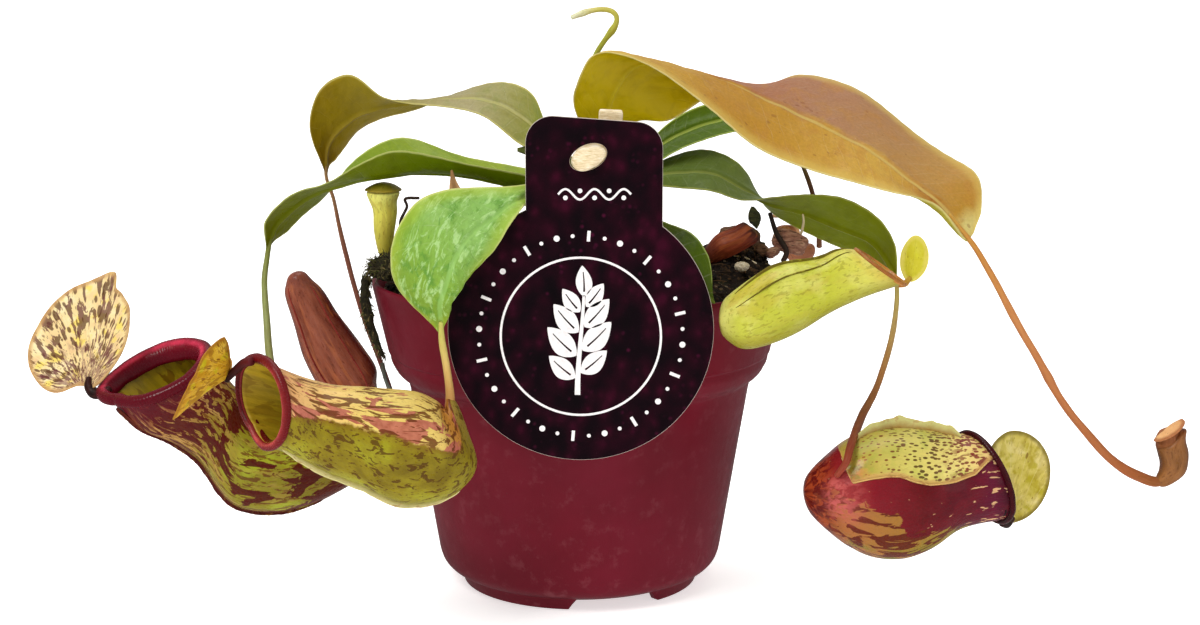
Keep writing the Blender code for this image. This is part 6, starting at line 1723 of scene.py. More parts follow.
    base, sections, tip = CLOSED_PITCHERS["pitcher_young"]
    young = Trap(sections)
    paint = small_trap_paint("pitcher_young_colour", [(0.0, (106, 62, 22)), (0.4, (84, 46, 14)), (0.7, (98, 56, 20)), (1.0, (112, 54, 28))],
                             (92, 48, 24), 0.6, 0.08, 0.6, 0.5, 0.62, 0.3, 0.3, lit=(176, 120, 70))
    trap_body("pitcher_young", paint, young, base, None, tip, uneven=0.15, seed=6, slot="pitcher_bronze", rows=60, around=64)
    bronze = stalk_paint("young_neck_colour", [(0.0, (112, 64, 30)), (0.6, (126, 74, 38)), (1.0, (150, 92, 56))], 0.4, 0.3, (84, 42, 22))
    small_pipe("young_neck", bronze, [(167.6, -20.6, 42.0), (167.4, -21.4, 45.2), (167.0, -22.4, 48.4)], (2.9, 3.7, 3.9, 2.8), slot="pitcher_bronze", sides=28, step=0.3, seed=9)
    lid7 = lid_paint("lid_young_colour", ((206, 150, 92), (218, 164, 108), (228, 180, 124)), (150, 84, 46), (140, 84, 44), radial=7.0, length=4.0, size=-0.12)
    lid_shape("lid_young", lid7, rows=40, cols=40, seed=7, ridge=0.2, ruffle=0.1, slot="pitcher_bronze")

    base, sections, tip = CLOSED_PITCHERS["pitcher_small_yellow"]
    tiny = Trap(sections)
    paint = small_trap_paint("pitcher_small_yellow_colour", [(0.0, (190, 176, 60)), (0.5, (222, 216, 92)), (1.0, (236, 234, 124))],
                             (196, 176, 70), 0.5, 0.08, 0.6, 0.5, 0.62, 0.3, 0.25)
    trap_body("pitcher_small_yellow", paint, tiny, base, None, tip, uneven=0.2, seed=7, rows=60, around=64)
    lid5 = lid_paint("lid_small_yellow_colour", ((132, 120, 16), (140, 128, 24), (156, 146, 44)), (160, 140, 50), (104, 86, 14), radial=7.0, length=4.0, size=-0.1)
    lid_shape("lid_small_yellow", lid5, rows=40, cols=40, seed=5, ridge=0.2, ruffle=0.12)

    base, sections, tip = CLOSED_PITCHERS["pitcher_small_back"]
    back = Trap(sections)
    paint = small_trap_paint("pitcher_small_back_colour", [(0.0, (150, 96, 70)), (0.5, (186, 124, 92)), (1.0, (200, 150, 104))],
                             (140, 60, 50), 0.6, 0.08, 0.6, 0.5, 0.62, 0.3, 0.25)
    trap_body("pitcher_small_back", paint, back, base, None, tip, uneven=0.2, seed=8, rows=60, around=64)
    lid6 = lid_paint("lid_small_back_colour", ((196, 158, 104), (208, 170, 116), (216, 180, 130)), (180, 120, 80), (130, 70, 50), radial=7.0, length=4.0, size=-0.1)
    lid_shape("lid_small_back", lid6, rows=40, cols=40, seed=6, ridge=0.2, ruffle=0.1)

    base, sections, tip = CLOSED_PITCHERS["dry_pitcher"]
    dry = Trap(sections)
    paint = small_trap_paint("dry_pitcher_colour", [(0.0, (70, 30, 20)), (0.4, (122, 50, 26)), (0.8, (98, 36, 20)), (1.0, (60, 28, 20))],
                             (150, 76, 40), 0.7, 0.06, 0.5, 0.5, 0.62, 0.5, 0.05)
    trap_body("dry_pitcher", paint, dry, base, None, tip, uneven=0.55, seed=9, slot="dry_leaf", rows=68, around=62, ribs=0.2, rib_count=9)


# ------------------------------------------------------------------ pot
POT = dict(height=90.0, rim=60.0, band_r=55.4, band_z=69.0, top_r=49.3, top_z=58.5, foot_r=41.2, foot_z=9.5,
           ring=34.2, ring_w=2.4, lift=3.5, wall=1.3, floor=4.9, boss_r=9.0, boss_z=1.5)


def pot_gap(angle):
    """1 inside a gap of the foot ring, 0 on a foot, with a short slope between them."""
    offset = np.abs((np.degrees(angle) + 72.0 + 60.0) % 120.0 - 60.0)
    return smooth(-offset, -22.6, -19.4)


def fillet(profile, radii, steps=6):
    """Rounds the corners of a section line."""
    p = np.asarray(profile, float)
    out = [p[0]]
    for i in range(1, len(p) - 1):
        a, b, c = p[i - 1], p[i], p[i + 1]
        r = min(radii[i], 0.45 * np.linalg.norm(b - a), 0.45 * np.linalg.norm(c - b))
        start, end = b + unit(a - b) * r, b + unit(c - b) * r
        for k in range(steps + 1):
            f = k / steps
            out.append((1 - f) ** 2 * start + 2 * f * (1 - f) * b + f * f * end)
    out.append(p[-1])
    return np.array(out)


def pot_section(gap):
    q = POT
    foot = (q["lift"] - 0.6) * gap
    inner = q["ring"] - q["ring_w"]
    line = [
        (q["boss_r"] * 0.5, q["boss_z"]), (q["boss_r"], q["boss_z"]), (q["boss_r"] + 1.5, q["lift"]), (inner, q["lift"]), (inner + 0.4, foot),
        (q["ring"], foot), (q["ring"] + 1.2, q["lift"]), (q["ring"] + 4.2, q["lift"] + 1.3), (q["foot_r"] - 0.9, q["lift"] + 3.4),
        (q["foot_r"], q["foot_z"]), (q["top_r"], q["top_z"]), (q["top_r"] + 0.7, q["top_z"] + 2.4), (q["band_r"] - 2.6, q["top_z"] + 4.4),
        (q["band_r"] - 0.7, q["band_z"] - 2.6), (q["band_r"] - 0.5, q["band_z"] - 0.5), (q["band_r"], q["band_z"]),
        (q["rim"] - 0.2, q["height"] - 1.4), (q["rim"] - 0.4, q["height"] - 0.3), (q["rim"] - 1.0, q["height"]), (q["rim"] - 1.7, q["height"] - 0.4),
        (q["band_r"] - q["wall"] - 0.4, q["band_z"] - 1.4), (q["top_r"] - q["wall"], q["top_z"]), (q["foot_r"] - q["wall"], q["foot_z"]),
        (q["foot_r"] - q["wall"] - 3.4, q["floor"] + 0.5), (q["ring"] - 1.0, q["floor"]), (10.0, q["floor"]),
    ]
    radii = [0, 0.4, 0.4, 0.5, 0.3, 0.4, 0.6, 1.2, 1.4, 1.6, 2.2, 0.8, 1.8, 1.4, 0.35, 0.5, 0.5, 0.35, 0.35, 0.35, 1.0, 2.0, 2.0, 1.0, 0.6, 0]
    return fillet(line, radii)


def solid_cut(name, points, faces, material, holes, **options):
    """A piece with round holes through it, cut with one Boolean."""
    obj = piece(name, points, faces, material, **options)
    cutter = bpy.data.meshes.new(name + "_cut")
    cp, cf = [], []
    for cx, cy, r, z0, z1 in holes:
        base = len(cp)
        k = 40
        for z in (z0, z1):
            cp += [((cx + r * math.cos(TAU * j / k)) * 0.001, (cy + r * math.sin(TAU * j / k)) * 0.001, z * 0.001) for j in range(k)]
        cf += [[base + j for j in range(k - 1, -1, -1)], [base + k + j for j in range(k)]]
        cf += [[base + j, base + (j + 1) % k, base + k + (j + 1) % k, base + k + j] for j in range(k)]
    cutter.from_pydata(cp, [], cf)
    tool = bpy.data.objects.new(name + "_cut", cutter)
    bpy.context.scene.collection.objects.link(tool)
    m = obj.modifiers.new("holes", "BOOLEAN")
    m.operation = "DIFFERENCE"
    m.solver = "EXACT"
    m.object = tool
    graph = bpy.context.evaluated_depsgraph_get()
    made = bpy.data.meshes.new_from_object(obj.evaluated_get(graph))
    obj.modifiers.clear()
    obj.data = made
    bpy.data.objects.remove(tool)
    return obj


def pot_paint():
    p = Paint("pot_plastic_colour", 0.42, 0.14)
    x, y, z = p.xyz(p.pos())
    cloud = p.noise(0.035, 4, 0.5)
    colour = p.ramp(cloud, [(0.3, (96, 8, 26)), (0.5, (103, 11, 30)), (0.7, (111, 15, 36))])
    dust = p.noise(0.22, 5, 0.65)
    low = p.span(z, 26.0, 4.0)
    colour = p.mix(p.math("MULTIPLY", p.span(dust, 0.52, 0.74), p.math("ADD", 0.08, p.math("MULTIPLY", low, 0.07))), colour, (176, 112, 118))
    speck = p.cells(0.55)
    some = p.span(p.noise(0.12, 2, 0.5), 0.55, 0.7)
    colour = p.mix(p.math("MULTIPLY", p.math("MULTIPLY", p.span(speck, 0.11, 0.06), some), 0.6), colour, (78, 40, 40))
    # soil stain just under the rim and below the step
    wet = p.math("MULTIPLY", p.span(z, 83.0, 89.0), p.span(dust, 0.5, 0.62))
    colour = p.mix(p.math("MULTIPLY", wet, 0.25), colour, (70, 28, 34))
    scuff = p.noise(1.0, 3, 0.7, p.stretch(p.pos(), 0.9, 0.9, 0.05))
    fine = p.noise(3.2, 3, 0.6)
    rough = p.span(dust, 0.3, 0.7, 0.36, 0.5)
    rough = p.math("ADD", rough, p.math("MULTIPLY", p.span(scuff, 0.58, 0.72), 0.10))
    rough = p.math("ADD", rough, p.math("MULTIPLY", low, 0.05))
    height = p.math("ADD", p.math("MULTIPLY", fine, 0.4), p.math("MULTIPLY", cloud, 1.5))
    height = p.math("ADD", height, p.math("MULTIPLY", scuff, -0.2))
    return p.finish(colour, rough, p.bump(height, 0.00012, 0.6))


def make_pot():
    steps = 186
    angle = np.arange(steps) * TAU / steps
    rings = np.array([pot_section(g) for g in pot_gap(angle)])
    # two faint lines where the mould closed
    seam = sum(0.10 * np.exp(-((((angle - c + math.pi) % TAU) - math.pi) * 45.0 / 0.5) ** 2) for c in (math.radians(-58.0), math.radians(122.0)))
    outside = np.zeros(rings.shape[1])
    outside[60:112] = 1.0
    r = rings[..., 0] + seam[:, None] * outside[None, :]
    # the thin wall isn't perfectly round
    r = r + 0.10 * np.sin(2 * angle + 0.6)[:, None] * smooth(rings[..., 1], 20, 90)
    x, y = r * np.cos(angle)[:, None], r * np.sin(angle)[:, None]
    pts = np.stack([x, y, rings[..., 1]], -1)
    n = pts.shape[1]
    grid = pts.transpose(1, 0, 2)
    faces = grid_faces(n, steps, 0, True).tolist()
    points = np.vstack([grid.reshape(-1, 3), [[0, 0, POT["boss_z"]], [0, 0, POT["floor"]]]])
    faces += [[n * steps, (k + 1) % steps, k] for k in range(steps)]
    faces += [[(n - 1) * steps + k, (n - 1) * steps + (k + 1) % steps, n * steps + 1] for k in range(steps)]
    holes = [(21.0 * math.cos(TAU * (k + 0.5) / 6), 21.0 * math.sin(TAU * (k + 0.5) / 6), 4.0, 1.0, 8.0) for k in range(6)]
    pot = solid_cut("pot_shell", points, faces, pot_paint(), holes, replaces=("pot",), slot="pot_plastic")
    pot.data.set_sharp_from_angle(angle=math.radians(50))


# ------------------------------------------------------------------ soil and litter
def lumps(x, y, z=0.0):
    return (np.sin(0.31 * x + 1.3 * np.sin(0.17 * y + 0.4)) + np.sin(0.43 * y - 0.9 + 1.1 * np.sin(0.23 * x)) + np.sin(0.52 * z + 0.27 * x - 0.33 * y)) / 3.0


def soil_height(x, y):
    r = np.hypot(x, y)
    return 86.0 + 8.5 * (1.0 - (r / 58.0) ** 2) + 8.0 * np.exp(-((x - 48) ** 2 + (y - 4) ** 2) / 150.0) + 0.8 * lumps(2.2 * x, 2.2 * y)


def pot_inside(z):
    q = POT
    return np.interp(z, [q["foot_z"], q["top_z"], q["band_z"] - 1.4, q["height"] - 0.4],
                     [q["foot_r"] - q["wall"], q["top_r"] - q["wall"], q["band_r"] - q["wall"] - 0.4, q["rim"] - 1.7])


def soil_paint():
    p = Paint("soil_colour", 0.92, 0.25)
    cloud = p.noise(0.22, 5, 0.65)
    colour = p.ramp(cloud, [(0.32, (12, 7, 4)), (0.5, (23, 13, 7)), (0.66, (38, 23, 12))])
    cell = p.cells(0.9, out="Color")
    r = p.xyz(cell)[0]
    colour = p.mix(p.span(r, 0.72, 0.9, 0.0, 0.7), colour, (86, 62, 40))
    colour = p.mix(p.span(r, 0.95, 0.97, 0.0, 0.7), colour, (150, 132, 104))
    colour = p.mix(p.span(p.noise(0.09, 3, 0.5), 0.56, 0.68, 0.0, 0.5), colour, (48, 56, 22))
    grain = p.noise(1.6, 6, 0.7)
    height = p.math("ADD", p.math("MULTIPLY", grain, 1.4), p.math("MULTIPLY", p.cells(1.1), -1.0))
    return p.finish(colour, p.span(grain, 0.3, 0.7, 0.78, 0.98), p.bump(height, 0.0009, 0.8))


def crumb_paint():
    p = Paint("soil_crumb_colour", 0.9, 0.25)
    tone = p.attr("tone")
    colour = p.ramp(tone, [(0.0, (16, 12, 10)), (0.35, (34, 25, 18)), (0.6, (56, 40, 27)), (0.85, (92, 66, 42)), (1.0, (134, 104, 70))])
    n = p.noise(0.9, 4, 0.6)
    colour = p.mix(p.span(n, 0.4, 0.7, 0.0, 0.45), colour, (26, 20, 16))
    grain = p.noise(2.6, 4, 0.65)
    return p.finish(colour, p.span(grain, 0.3, 0.7, 0.75, 0.97), p.bump(p.math("ADD", n, grain), 0.0006, 0.8))


def ball(detail=1):
    bm = bmesh.new()
    bmesh.ops.create_icosphere(bm, subdivisions=detail, radius=1.0)
    v = np.array([x.co[:] for x in bm.verts])
    f = np.array([[q.index for q in face.verts] for face in bm.faces])
    bm.free()
    return v, f


def spin(rng):
    """A random turn as a matrix."""
    q = rng.normal(size=4)
    w, x, y, z = q / np.linalg.norm(q)
    return np.array([
        [1 - 2 * (y * y + z * z), 2 * (x * y - z * w), 2 * (x * z + y * w)],
        [2 * (x * y + z * w), 1 - 2 * (x * x + z * z), 2 * (y * z - x * w)],
        [2 * (x * z - y * w), 2 * (y * z + x * w), 1 - 2 * (x * x + y * y)],
    ])


def make_soil():
    steps = 200
    angle = np.arange(steps) * TAU / steps
    rings = []

    def ring(radius, z=None):
        x, y = radius * np.cos(angle), radius * np.sin(angle)
        h = soil_height(x, y) if z is None else np.full(steps, float(z))
        rings.append(np.stack([x, y, h], -1))

    q = POT
    ring(q["ring"] - 2.0, q["floor"] + 0.4)
    ring(q["foot_r"] - q["wall"] - 4.2, q["floor"] + 1.2)
    for z in (q["foot_z"] + 0.6, 34.0, q["top_z"] - 0.2, q["band_z"] - 1.2, 76.0, 83.0):
        ring(pot_inside(z) - 0.6, z)
    wall_rows = len(rings)
    for radius in np.linspace(56.6, 2.0, 78):
        ring(radius)
    grid = np.array(rings)
    flat = grid[wall_rows:]
    crumble = 0.75 * fbm(flat * 0.42, 3, 4) + 0.55 * np.abs(noise3(flat * 0.9, 8)) + 0.25 * noise3(flat * 2.1, 9)
    calm = smooth(np.linspace(56.6, 2.0, 78), 0.0, 3.0)[:, None] * smooth(56.6 - np.linspace(56.6, 2.0, 78), -0.1, 1.5)[:, None]
    flat[..., 2] += crumble * calm - 0.1
    n = len(grid)
    points = np.vstack([grid.reshape(-1, 3), [[0, 0, q["floor"] + 0.4], [0, 0, float(soil_height(0.0, 0.0))]]])
    faces = grid_faces(n, steps, 0, True).tolist()
    faces += [[n * steps, (k + 1) % steps, k] for k in range(steps)]
    faces += [[(n - 1) * steps + k, (n - 1) * steps + (k + 1) % steps, n * steps + 1] for k in range(steps)]
    piece("soil_bed", points, faces, soil_paint(), {}, ("soil",), "soil")

    rng = np.random.default_rng(4)
    v, f = ball(1)
    heap = Heap("tone")
    count = 1700
    for i in range(count):
        a = rng.uniform(0, TAU)
        radius = 57.0 * math.sqrt(rng.uniform(0.0, 1.0))
        size = 0.35 + 1.15 * rng.beta(1.3, 4.0)
        radius = min(radius, 56.9 - size)
        x, y = radius * math.cos(a), radius * math.sin(a)
        z = float(soil_height(x, y)) + size * rng.uniform(0.0, 0.55)
        shape = v * (1 + 0.35 * noise3(v * 1.7 + i * 3.1, 5))[:, None]
        shape = shape * np.array([size * rng.uniform(0.7, 1.7), size * rng.uniform(0.6, 1.1), size * rng.uniform(0.5, 0.9)])
        heap.add(shape @ spin(rng).T + np.array([x, y, z]), f, tone=rng.beta(1.6, 2.4))
    # fibres and needles of peat
    for i in range(420):
        a = rng.uniform(0, TAU)
        radius = 55.0 * math.sqrt(rng.uniform(0.0, 1.0))
        x, y = radius * math.cos(a), radius * math.sin(a)
        z = float(soil_height(x, y)) + rng.uniform(0.2, 0.9)
        d = rng.uniform(0, TAU)
        long = rng.uniform(1.2, 4.2)
        k = np.linspace(-1, 1, 6)
        bend = rng.uniform(-0.5, 0.5)
        path = np.stack([x + np.cos(d) * long * k * 0.7 + bend * k**2, y + np.sin(d) * long * k * 0.7 - bend * k**2, z + 0.35 * (1 - k**2) + rng.uniform(-0.5, 0.9) * k * 0.5], -1)
        reach = np.hypot(path[:, 0], path[:, 1])
        if reach.max() > 57.0:
            continue
        pts, faces, _, _, _ = pipe(path, rng.uniform(0.10, 0.24), 4, 0.0, i, round_ends=False)
        heap.add(pts, faces, tone=rng.uniform(0.35, 1.0))
    heap.make("soil_crumbs", crumb_paint(), slot="soil")


def bark_paint(name, stops):
    p = Paint(name, 0.85, 0.3)
    x = p.stretch(p.pos(), 0.25, 0.9, 0.9)
    n = p.noise(1.0, 5, 0.65, x, 0.6)
    colour = p.ramp(n, stops)
    crack = p.noise(1.0, 3, 0.6, p.stretch(p.pos(), 0.3, 1.6, 2.4), 0.4)
    colour = p.mix(p.span(crack, 0.56, 0.64, 0.0, 0.7), colour, (20, 14, 11))
    grain = p.noise(2.4, 4, 0.6)
    height = p.math("ADD", p.math("MULTIPLY", n, 1.2), p.math("SUBTRACT", grain, p.math("MULTIPLY", crack, 1.5)))
    return p.finish(colour, p.span(grain, 0.3, 0.7, 0.7, 0.95), p.bump(height, 0.0007, 0.8))


def chip_piece(name, material, seed, slot="bark", flat=0.18, e=0.55, taper=0.0):
    """A rough flake that fills the box of its CAD node."""
    low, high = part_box(name)
    low, high = np.array(low) * 1000, np.array(high) * 1000
    centre, half = (low + high) / 2, (high - low) / 2
    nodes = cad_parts[name].data.vertices
    raw = np.array([v.co[:] for v in nodes]) * 1000
    mid = raw.mean(0)
    _, _, vt = np.linalg.svd(raw - mid)
    axes = vt
    size = np.abs((raw - mid) @ axes.T).max(0)
    v, f = ball(4)
    shape = np.sign(v) * np.abs(v) ** e
    shape /= np.abs(shape).max()
    shape[:, 1:] *= (1 - taper * np.abs(shape[:, :1]) ** 1.5)
    step = np.round(fbm(v * 2.2 + seed, seed, 3) * 5) / 5
    bumpy = 1 + 0.10 * fbm(v * 3.1 + seed, seed + 1, 3) + 0.10 * step
    local = shape * size * bumpy[:, None] * 0.93
    local[:, 2] += flat * np.abs(noise3(local * np.array([0.9, 2.2, 1.0]), seed)) * np.sign(local[:, 2])
    points = mid + local @ axes
    points = np.clip(points, low - 0.3, high + 0.3)
    return piece(name + "_flake", points, f, material, {}, (name,), slot)


def make_litter():
    dark = bark_paint("bark_dark", [(0.3, (30, 20, 16)), (0.5, (52, 35, 26)), (0.7, (84, 58, 42))])
    light = bark_paint("bark_light", [(0.3, (44, 30, 22)), (0.5, (74, 52, 38)), (0.7, (116, 86, 62))])
    for name, m, s in (("bark_chip_1", dark, 1), ("bark_chip_2", light, 2), ("bark_chip_3", dark, 3), ("bark_chip_4", light, 4)):
        chip_piece(name, m, s)
    scale = bark_paint("dark_scale_colour", [(0.3, (34, 38, 20)), (0.5, (58, 62, 32)), (0.7, (92, 88, 48))])
    chip_piece("dark_scale", scale, 6, "root", 0.05, 0.95, 0.55)

    p = Paint("perlite_colour", 0.9, 0.3, 0.1, (1, 1, 1), 0.001)
    n = p.noise(1.2, 4, 0.6)
    colour = p.ramp(n, [(0.35, (176, 160, 132)), (0.5, (208, 194, 168)), (0.65, (226, 216, 196))])
    pits = p.cells(1.6)
    colour = p.mix(p.span(pits, 0.25, 0.1, 0.0, 0.6), colour, (120, 100, 78))
    perlite = p.finish(colour, p.span(n, 0.3, 0.7, 0.8, 0.98), p.bump(p.math("ADD", n, pits), 0.0006, 0.8))
    for name, s in (("perlite_1", 7), ("perlite_2", 8)):
        low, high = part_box(name)
        low, high = np.array(low) * 1000, np.array(high) * 1000
        v, f = ball(4)
        r = 1 + 0.16 * fbm(v * 1.8 + s, s, 4) - 0.10 * smooth(-np.abs(noise3(v * 3.2, s)), -0.25, 0.0)
        piece(name + "_grain", (low + high) / 2 + v * (high - low) / 2 * r[:, None] * 0.98, f, perlite, {}, (name,), "perlite")

    # moss: a dark lumpy bed with short strands over it
    p = Paint("moss_colour", 0.92, 0.2, 0.05, (0.5, 1.0, 0.3), 0.001)
    n = p.noise(0.5, 5, 0.7)
    colour = p.ramp(n, [(0.3, (20, 17, 12)), (0.5, (40, 36, 22)), (0.68, (66, 58, 34))])
    colour = p.mix(p.span(p.noise(0.9, 3, 0.6), 0.56, 0.7, 0.0, 0.7), colour, (58, 66, 26))
    moss = p.finish(colour, p.span(p.noise(2.0, 3, 0.6), 0.3, 0.7, 0.8, 0.98), p.bump(p.math("ADD", n, p.noise(2.6, 5, 0.7)), 0.0009, 0.9))
    p = Paint("moss_strand_colour", 0.8, 0.3, 0.1, (0.6, 1.0, 0.3), 0.001)
    tone = p.attr("tone")
    colour = p.ramp(tone, [(0.0, (30, 24, 16)), (0.4, (58, 50, 28)), (0.7, (86, 80, 40)), (1.0, (132, 112, 72))])
    n = p.noise(1.6, 3, 0.6)
    colour = p.mix(p.span(n, 0.45, 0.7, 0.0, 0.5), colour, (34, 26, 18))
    strand = p.finish(colour, p.span(n, 0.3, 0.7, 0.7, 0.95), p.bump(n, 0.0004, 0.6))
    rng = np.random.default_rng(9)
    low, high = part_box("moss_clump")
    low, high = np.array(low) * 1000, np.array(high) * 1000
    centre, half = (low + high) / 2, (high - low) / 2
    v, f = ball(5)
    r = 1 + 0.14 * fbm(v * 2.4, 21, 4) + 0.06 * np.abs(noise3(v * 9.0, 22))
    piece("moss_clump_bed", centre + v * half * r[:, None] * 0.93, f, moss, {}, ("moss_clump",), "moss")

    def strands(heap, anchor, normal, count, spread, length, droop, floor_r=None):
        for _ in range(count):
            k = rng.integers(len(anchor))
            start = anchor[k] + rng.normal(size=3) * spread
            d = unit(normal[k] * 0.8 + rng.normal(size=3) * 0.75)
            n = 7
            pos, path = start.copy(), [start.copy()]
            long = length * rng.uniform(0.4, 1.3)
            for _ in range(n - 1):
                d = unit(d + rng.normal(size=3) * 0.28 + np.array([0, 0, -droop]))
                pos = pos + d * long / (n - 1)
                path.append(pos.copy())
            radius = rng.uniform(0.10, 0.26)
            pts, faces, _, _, _ = pipe(np.array(path), np.linspace(radius, radius * 0.35, n), 4, 0.0, 0, round_ends=False)
            heap.add(pts, faces, tone=rng.beta(2.0, 2.2))

    heap = Heap("tone")
    top = v[v[:, 2] > -0.35]
    strands(heap, centre + top * half * 0.94, unit(top / half), 460, 0.15, 2.6, 0.10)
    radii, pts = (1.8, 2.2, 0.9), [(-60, -16, 92), (-60, -19, 86), (-58, -22, 78), (-55, -24, 71)]
    dense = spl(pts, np.linspace(0, 3, 60))
    rr = np.interp(np.linspace(0, 1, 60), [0, 0.5, 1], radii)
    tuft_points, tuft_faces, al, am, an = pipe(dense, rr * 0.62, 22, 0.35, 31)
    piece("moss_tuft_bed", tuft_points, tuft_faces, moss, {}, ("moss_tuft",), "moss")
    around = rng.uniform(0, TAU, 900)
    idx = rng.integers(0, 60, 900)
    outw = np.stack([np.cos(around), np.sin(around), 0 * around], -1)
    anchor = dense[idx] + outw * (rr[idx] * 0.55)[:, None]
    strands(heap, anchor, outw * 0.7 + np.array([0, 0, -0.8]), 250, 0.1, 1.9, 0.45)
    heap.make("moss_strands", strand, slot="moss")

    # the heap of bark and dry scraps behind the pitcher on the rim
    def scrap(name, material, place, size, seed, turn=(0, 0, 0), level=4, slot="bark"):
        v, f = ball(level)
        shape = np.sign(v) * np.abs(v) ** 0.75
        shape = shape * (1 + 0.22 * fbm(v * 1.6 + seed, seed, 4) + 0.10 * np.round(3 * noise3(v * 2.3, seed)) / 3)[:, None]
        shape = shape * np.array(size, float)
        ca, sa_ = math.cos(turn[2]), math.sin(turn[2])
        cb, sb = math.cos(turn[1]), math.sin(turn[1])
        spin_z = np.array([[ca, -sa_, 0], [sa_, ca, 0], [0, 0, 1]])
        spin_y = np.array([[cb, 0, sb], [0, 1, 0], [-sb, 0, cb]])
        piece(name, shape @ spin_y.T @ spin_z.T + np.array(place, float), f, material, {}, (), slot)

    crust = bark_paint("bark_crust", [(0.3, (66, 44, 30)), (0.5, (104, 72, 50)), (0.7, (148, 112, 84))])
    husk = bark_paint("dry_husk", [(0.3, (104, 62, 50)), (0.5, (150, 104, 84)), (0.7, (186, 148, 120))])
    scrap("heap_bark_1", crust, (47.0, 8.0, 100.0), (6.0, 3.2, 3.0), 51, (0, 0.06, 0.2))
    scrap("heap_bark_2", dark, (38.6, 8.0, 96.0), (4.2, 3.0, 1.8), 52, (0, -0.25, -0.2))
    scrap("heap_bark_3", dark, (47.0, 2.5, 95.4), (5.4, 3.0, 2.4), 53, (0, 0.2, 0.6))
    scrap("heap_bark_4", crust, (53.0, 3.0, 96.8), (2.6, 2.2, 1.6), 54, (0, 0.5, 0.1))
    scrap("heap_husk_1", husk, (61.2, 4.0, 99.0), (5.2, 2.4, 3.2), 55, (0, 0.30, -0.1))
    scrap("heap_husk_2", husk, (56.0, 2.0, 96.2), (2.4, 1.6, 1.4), 56, (0, -0.3, 0.8), 3)
    crumbs = Heap("tone")
    v1, f1 = ball(1)
    for i in range(320):
        x, y = 50.0 + rng.normal() * 7.5, 5.0 + rng.normal() * 4.5
        if math.hypot(x, y) > 54.5:
            continue
        size = 0.35 + 1.1 * rng.beta(1.3, 3.5)
        z = float(soil_height(x, y)) + rng.uniform(0.0, 1.6)
        shape = v1 * (1 + 0.35 * noise3(v1 * 1.7 + i * 2.3, 6))[:, None]
        shape = shape * np.array([size * rng.uniform(0.8, 1.9), size * rng.uniform(0.6, 1.1), size * rng.uniform(0.4, 0.9)])
        crumbs.add(shape @ spin(rng).T + np.array([x, y, z]), f1, tone=rng.beta(1.6, 2.0))
    crumbs.make("heap_crumbs", crumb_paint(), slot="soil")
    pale_root = stalk_paint("root_pale", [(0.0, (150, 128, 96)), (0.6, (196, 178, 146)), (1.0, (214, 200, 170))], 0.4, 0.2, (120, 90, 60))
    small_pipe("heap_root_1", pale_root, [(62.0, 3.0, 98.0), (64.4, 4.0, 101.5), (65.2, 5.0, 104.5), (65.0, 5.0, 107.0)], (0.55, 0.45, 0.38, 0.25), slot="root", sides=12, seed=61)
    small_pipe("heap_root_2", pale_root, [(36.0, 1.0, 93.6), (41.0, -1.0, 94.8), (46.5, -1.5, 95.6), (51.0, -4.0, 94.0)], (0.30, 0.42, 0.36, 0.2), slot="root", sides=10, seed=62)

    root = stalk_paint("root_grey", [(0.0, (70, 66, 56)), (0.5, (92, 96, 90)), (1.0, (110, 112, 104))], 0.7, 0.5, (50, 44, 36))
    stalk("root_strand", root, (0.6, 0.5), [(-55, -25, 69), (-54, -25, 64), (-52, -25, 60)], slot="root", sides=14, step=0.3, wobble=0.3, seed=41)
    twig = stalk_paint("twig_dark", [(0.0, (26, 20, 18)), (0.5, (34, 26, 22)), (1.0, (48, 34, 28))], 0.6, 0.4, (66, 46, 34))
    stalk("wiry_twig", twig, (0.48, 0.38), [(-46, -36, 92), (-48, -38, 109), (-47, -37, 113), (-46, -37, 115), (-47, -37, 117), (-43, -36, 117)],
          slot="root", sides=14, step=0.35, wobble=0.25, seed=42)
    stalk("dark_root", twig, (0.6, 0.8), [(55, 0, 108), (57, 0, 102), (60, 0, 97), (59, 0, 94)], slot="root", sides=14, step=0.3, wobble=0.25, seed=43)


# ------------------------------------------------------------------ tag, peg and stake
def tag_line(steps=150):
    cx, cz, r = 1.0, 85.6, 34.7
    x0, x1 = -13.2, 22.2
    z0, z1, corner = 141.6, 140.1, 7.0
    right = math.atan2(math.sqrt(r**2 - (x1 - cx) ** 2), x1 - cx)
    left = math.atan2(math.sqrt(r**2 - (x0 - cx) ** 2), x0 - cx)
    a = np.linspace(left, right + TAU, steps + 1)
    line = [np.stack([cx + r * np.cos(a), cz + r * np.sin(a)], -1)]
    for z in np.linspace(0.06, 0.94, 10):
        top = z1 - corner
        start = line[0][-1]
        line.append(np.array([[start[0] + (x1 - start[0]) * z, start[1] + (top - start[1]) * z]]))
    a = np.radians(np.linspace(0, 90, 13))
    line.append(np.stack([x1 - corner * (1 - np.cos(a)), z1 - corner * (1 - np.sin(a))], -1))
    a = np.radians(np.linspace(90, 180, 13))
    line.append(np.stack([x0 + corner * (1 + np.cos(a)), z0 - corner * (1 - np.sin(a))], -1))
    return np.vstack(line)


def turned(half_u, half_v, steps, centre=(3.0, 131.0), tilt=24.0):
    a = np.arange(steps) * TAU / steps
    c, s = math.cos(math.radians(tilt)), math.sin(math.radians(tilt))
    u, v = half_u * np.cos(a), half_v * np.sin(a)
    return np.stack([centre[0] + u * c - v * s, centre[1] + u * s + v * c], -1)


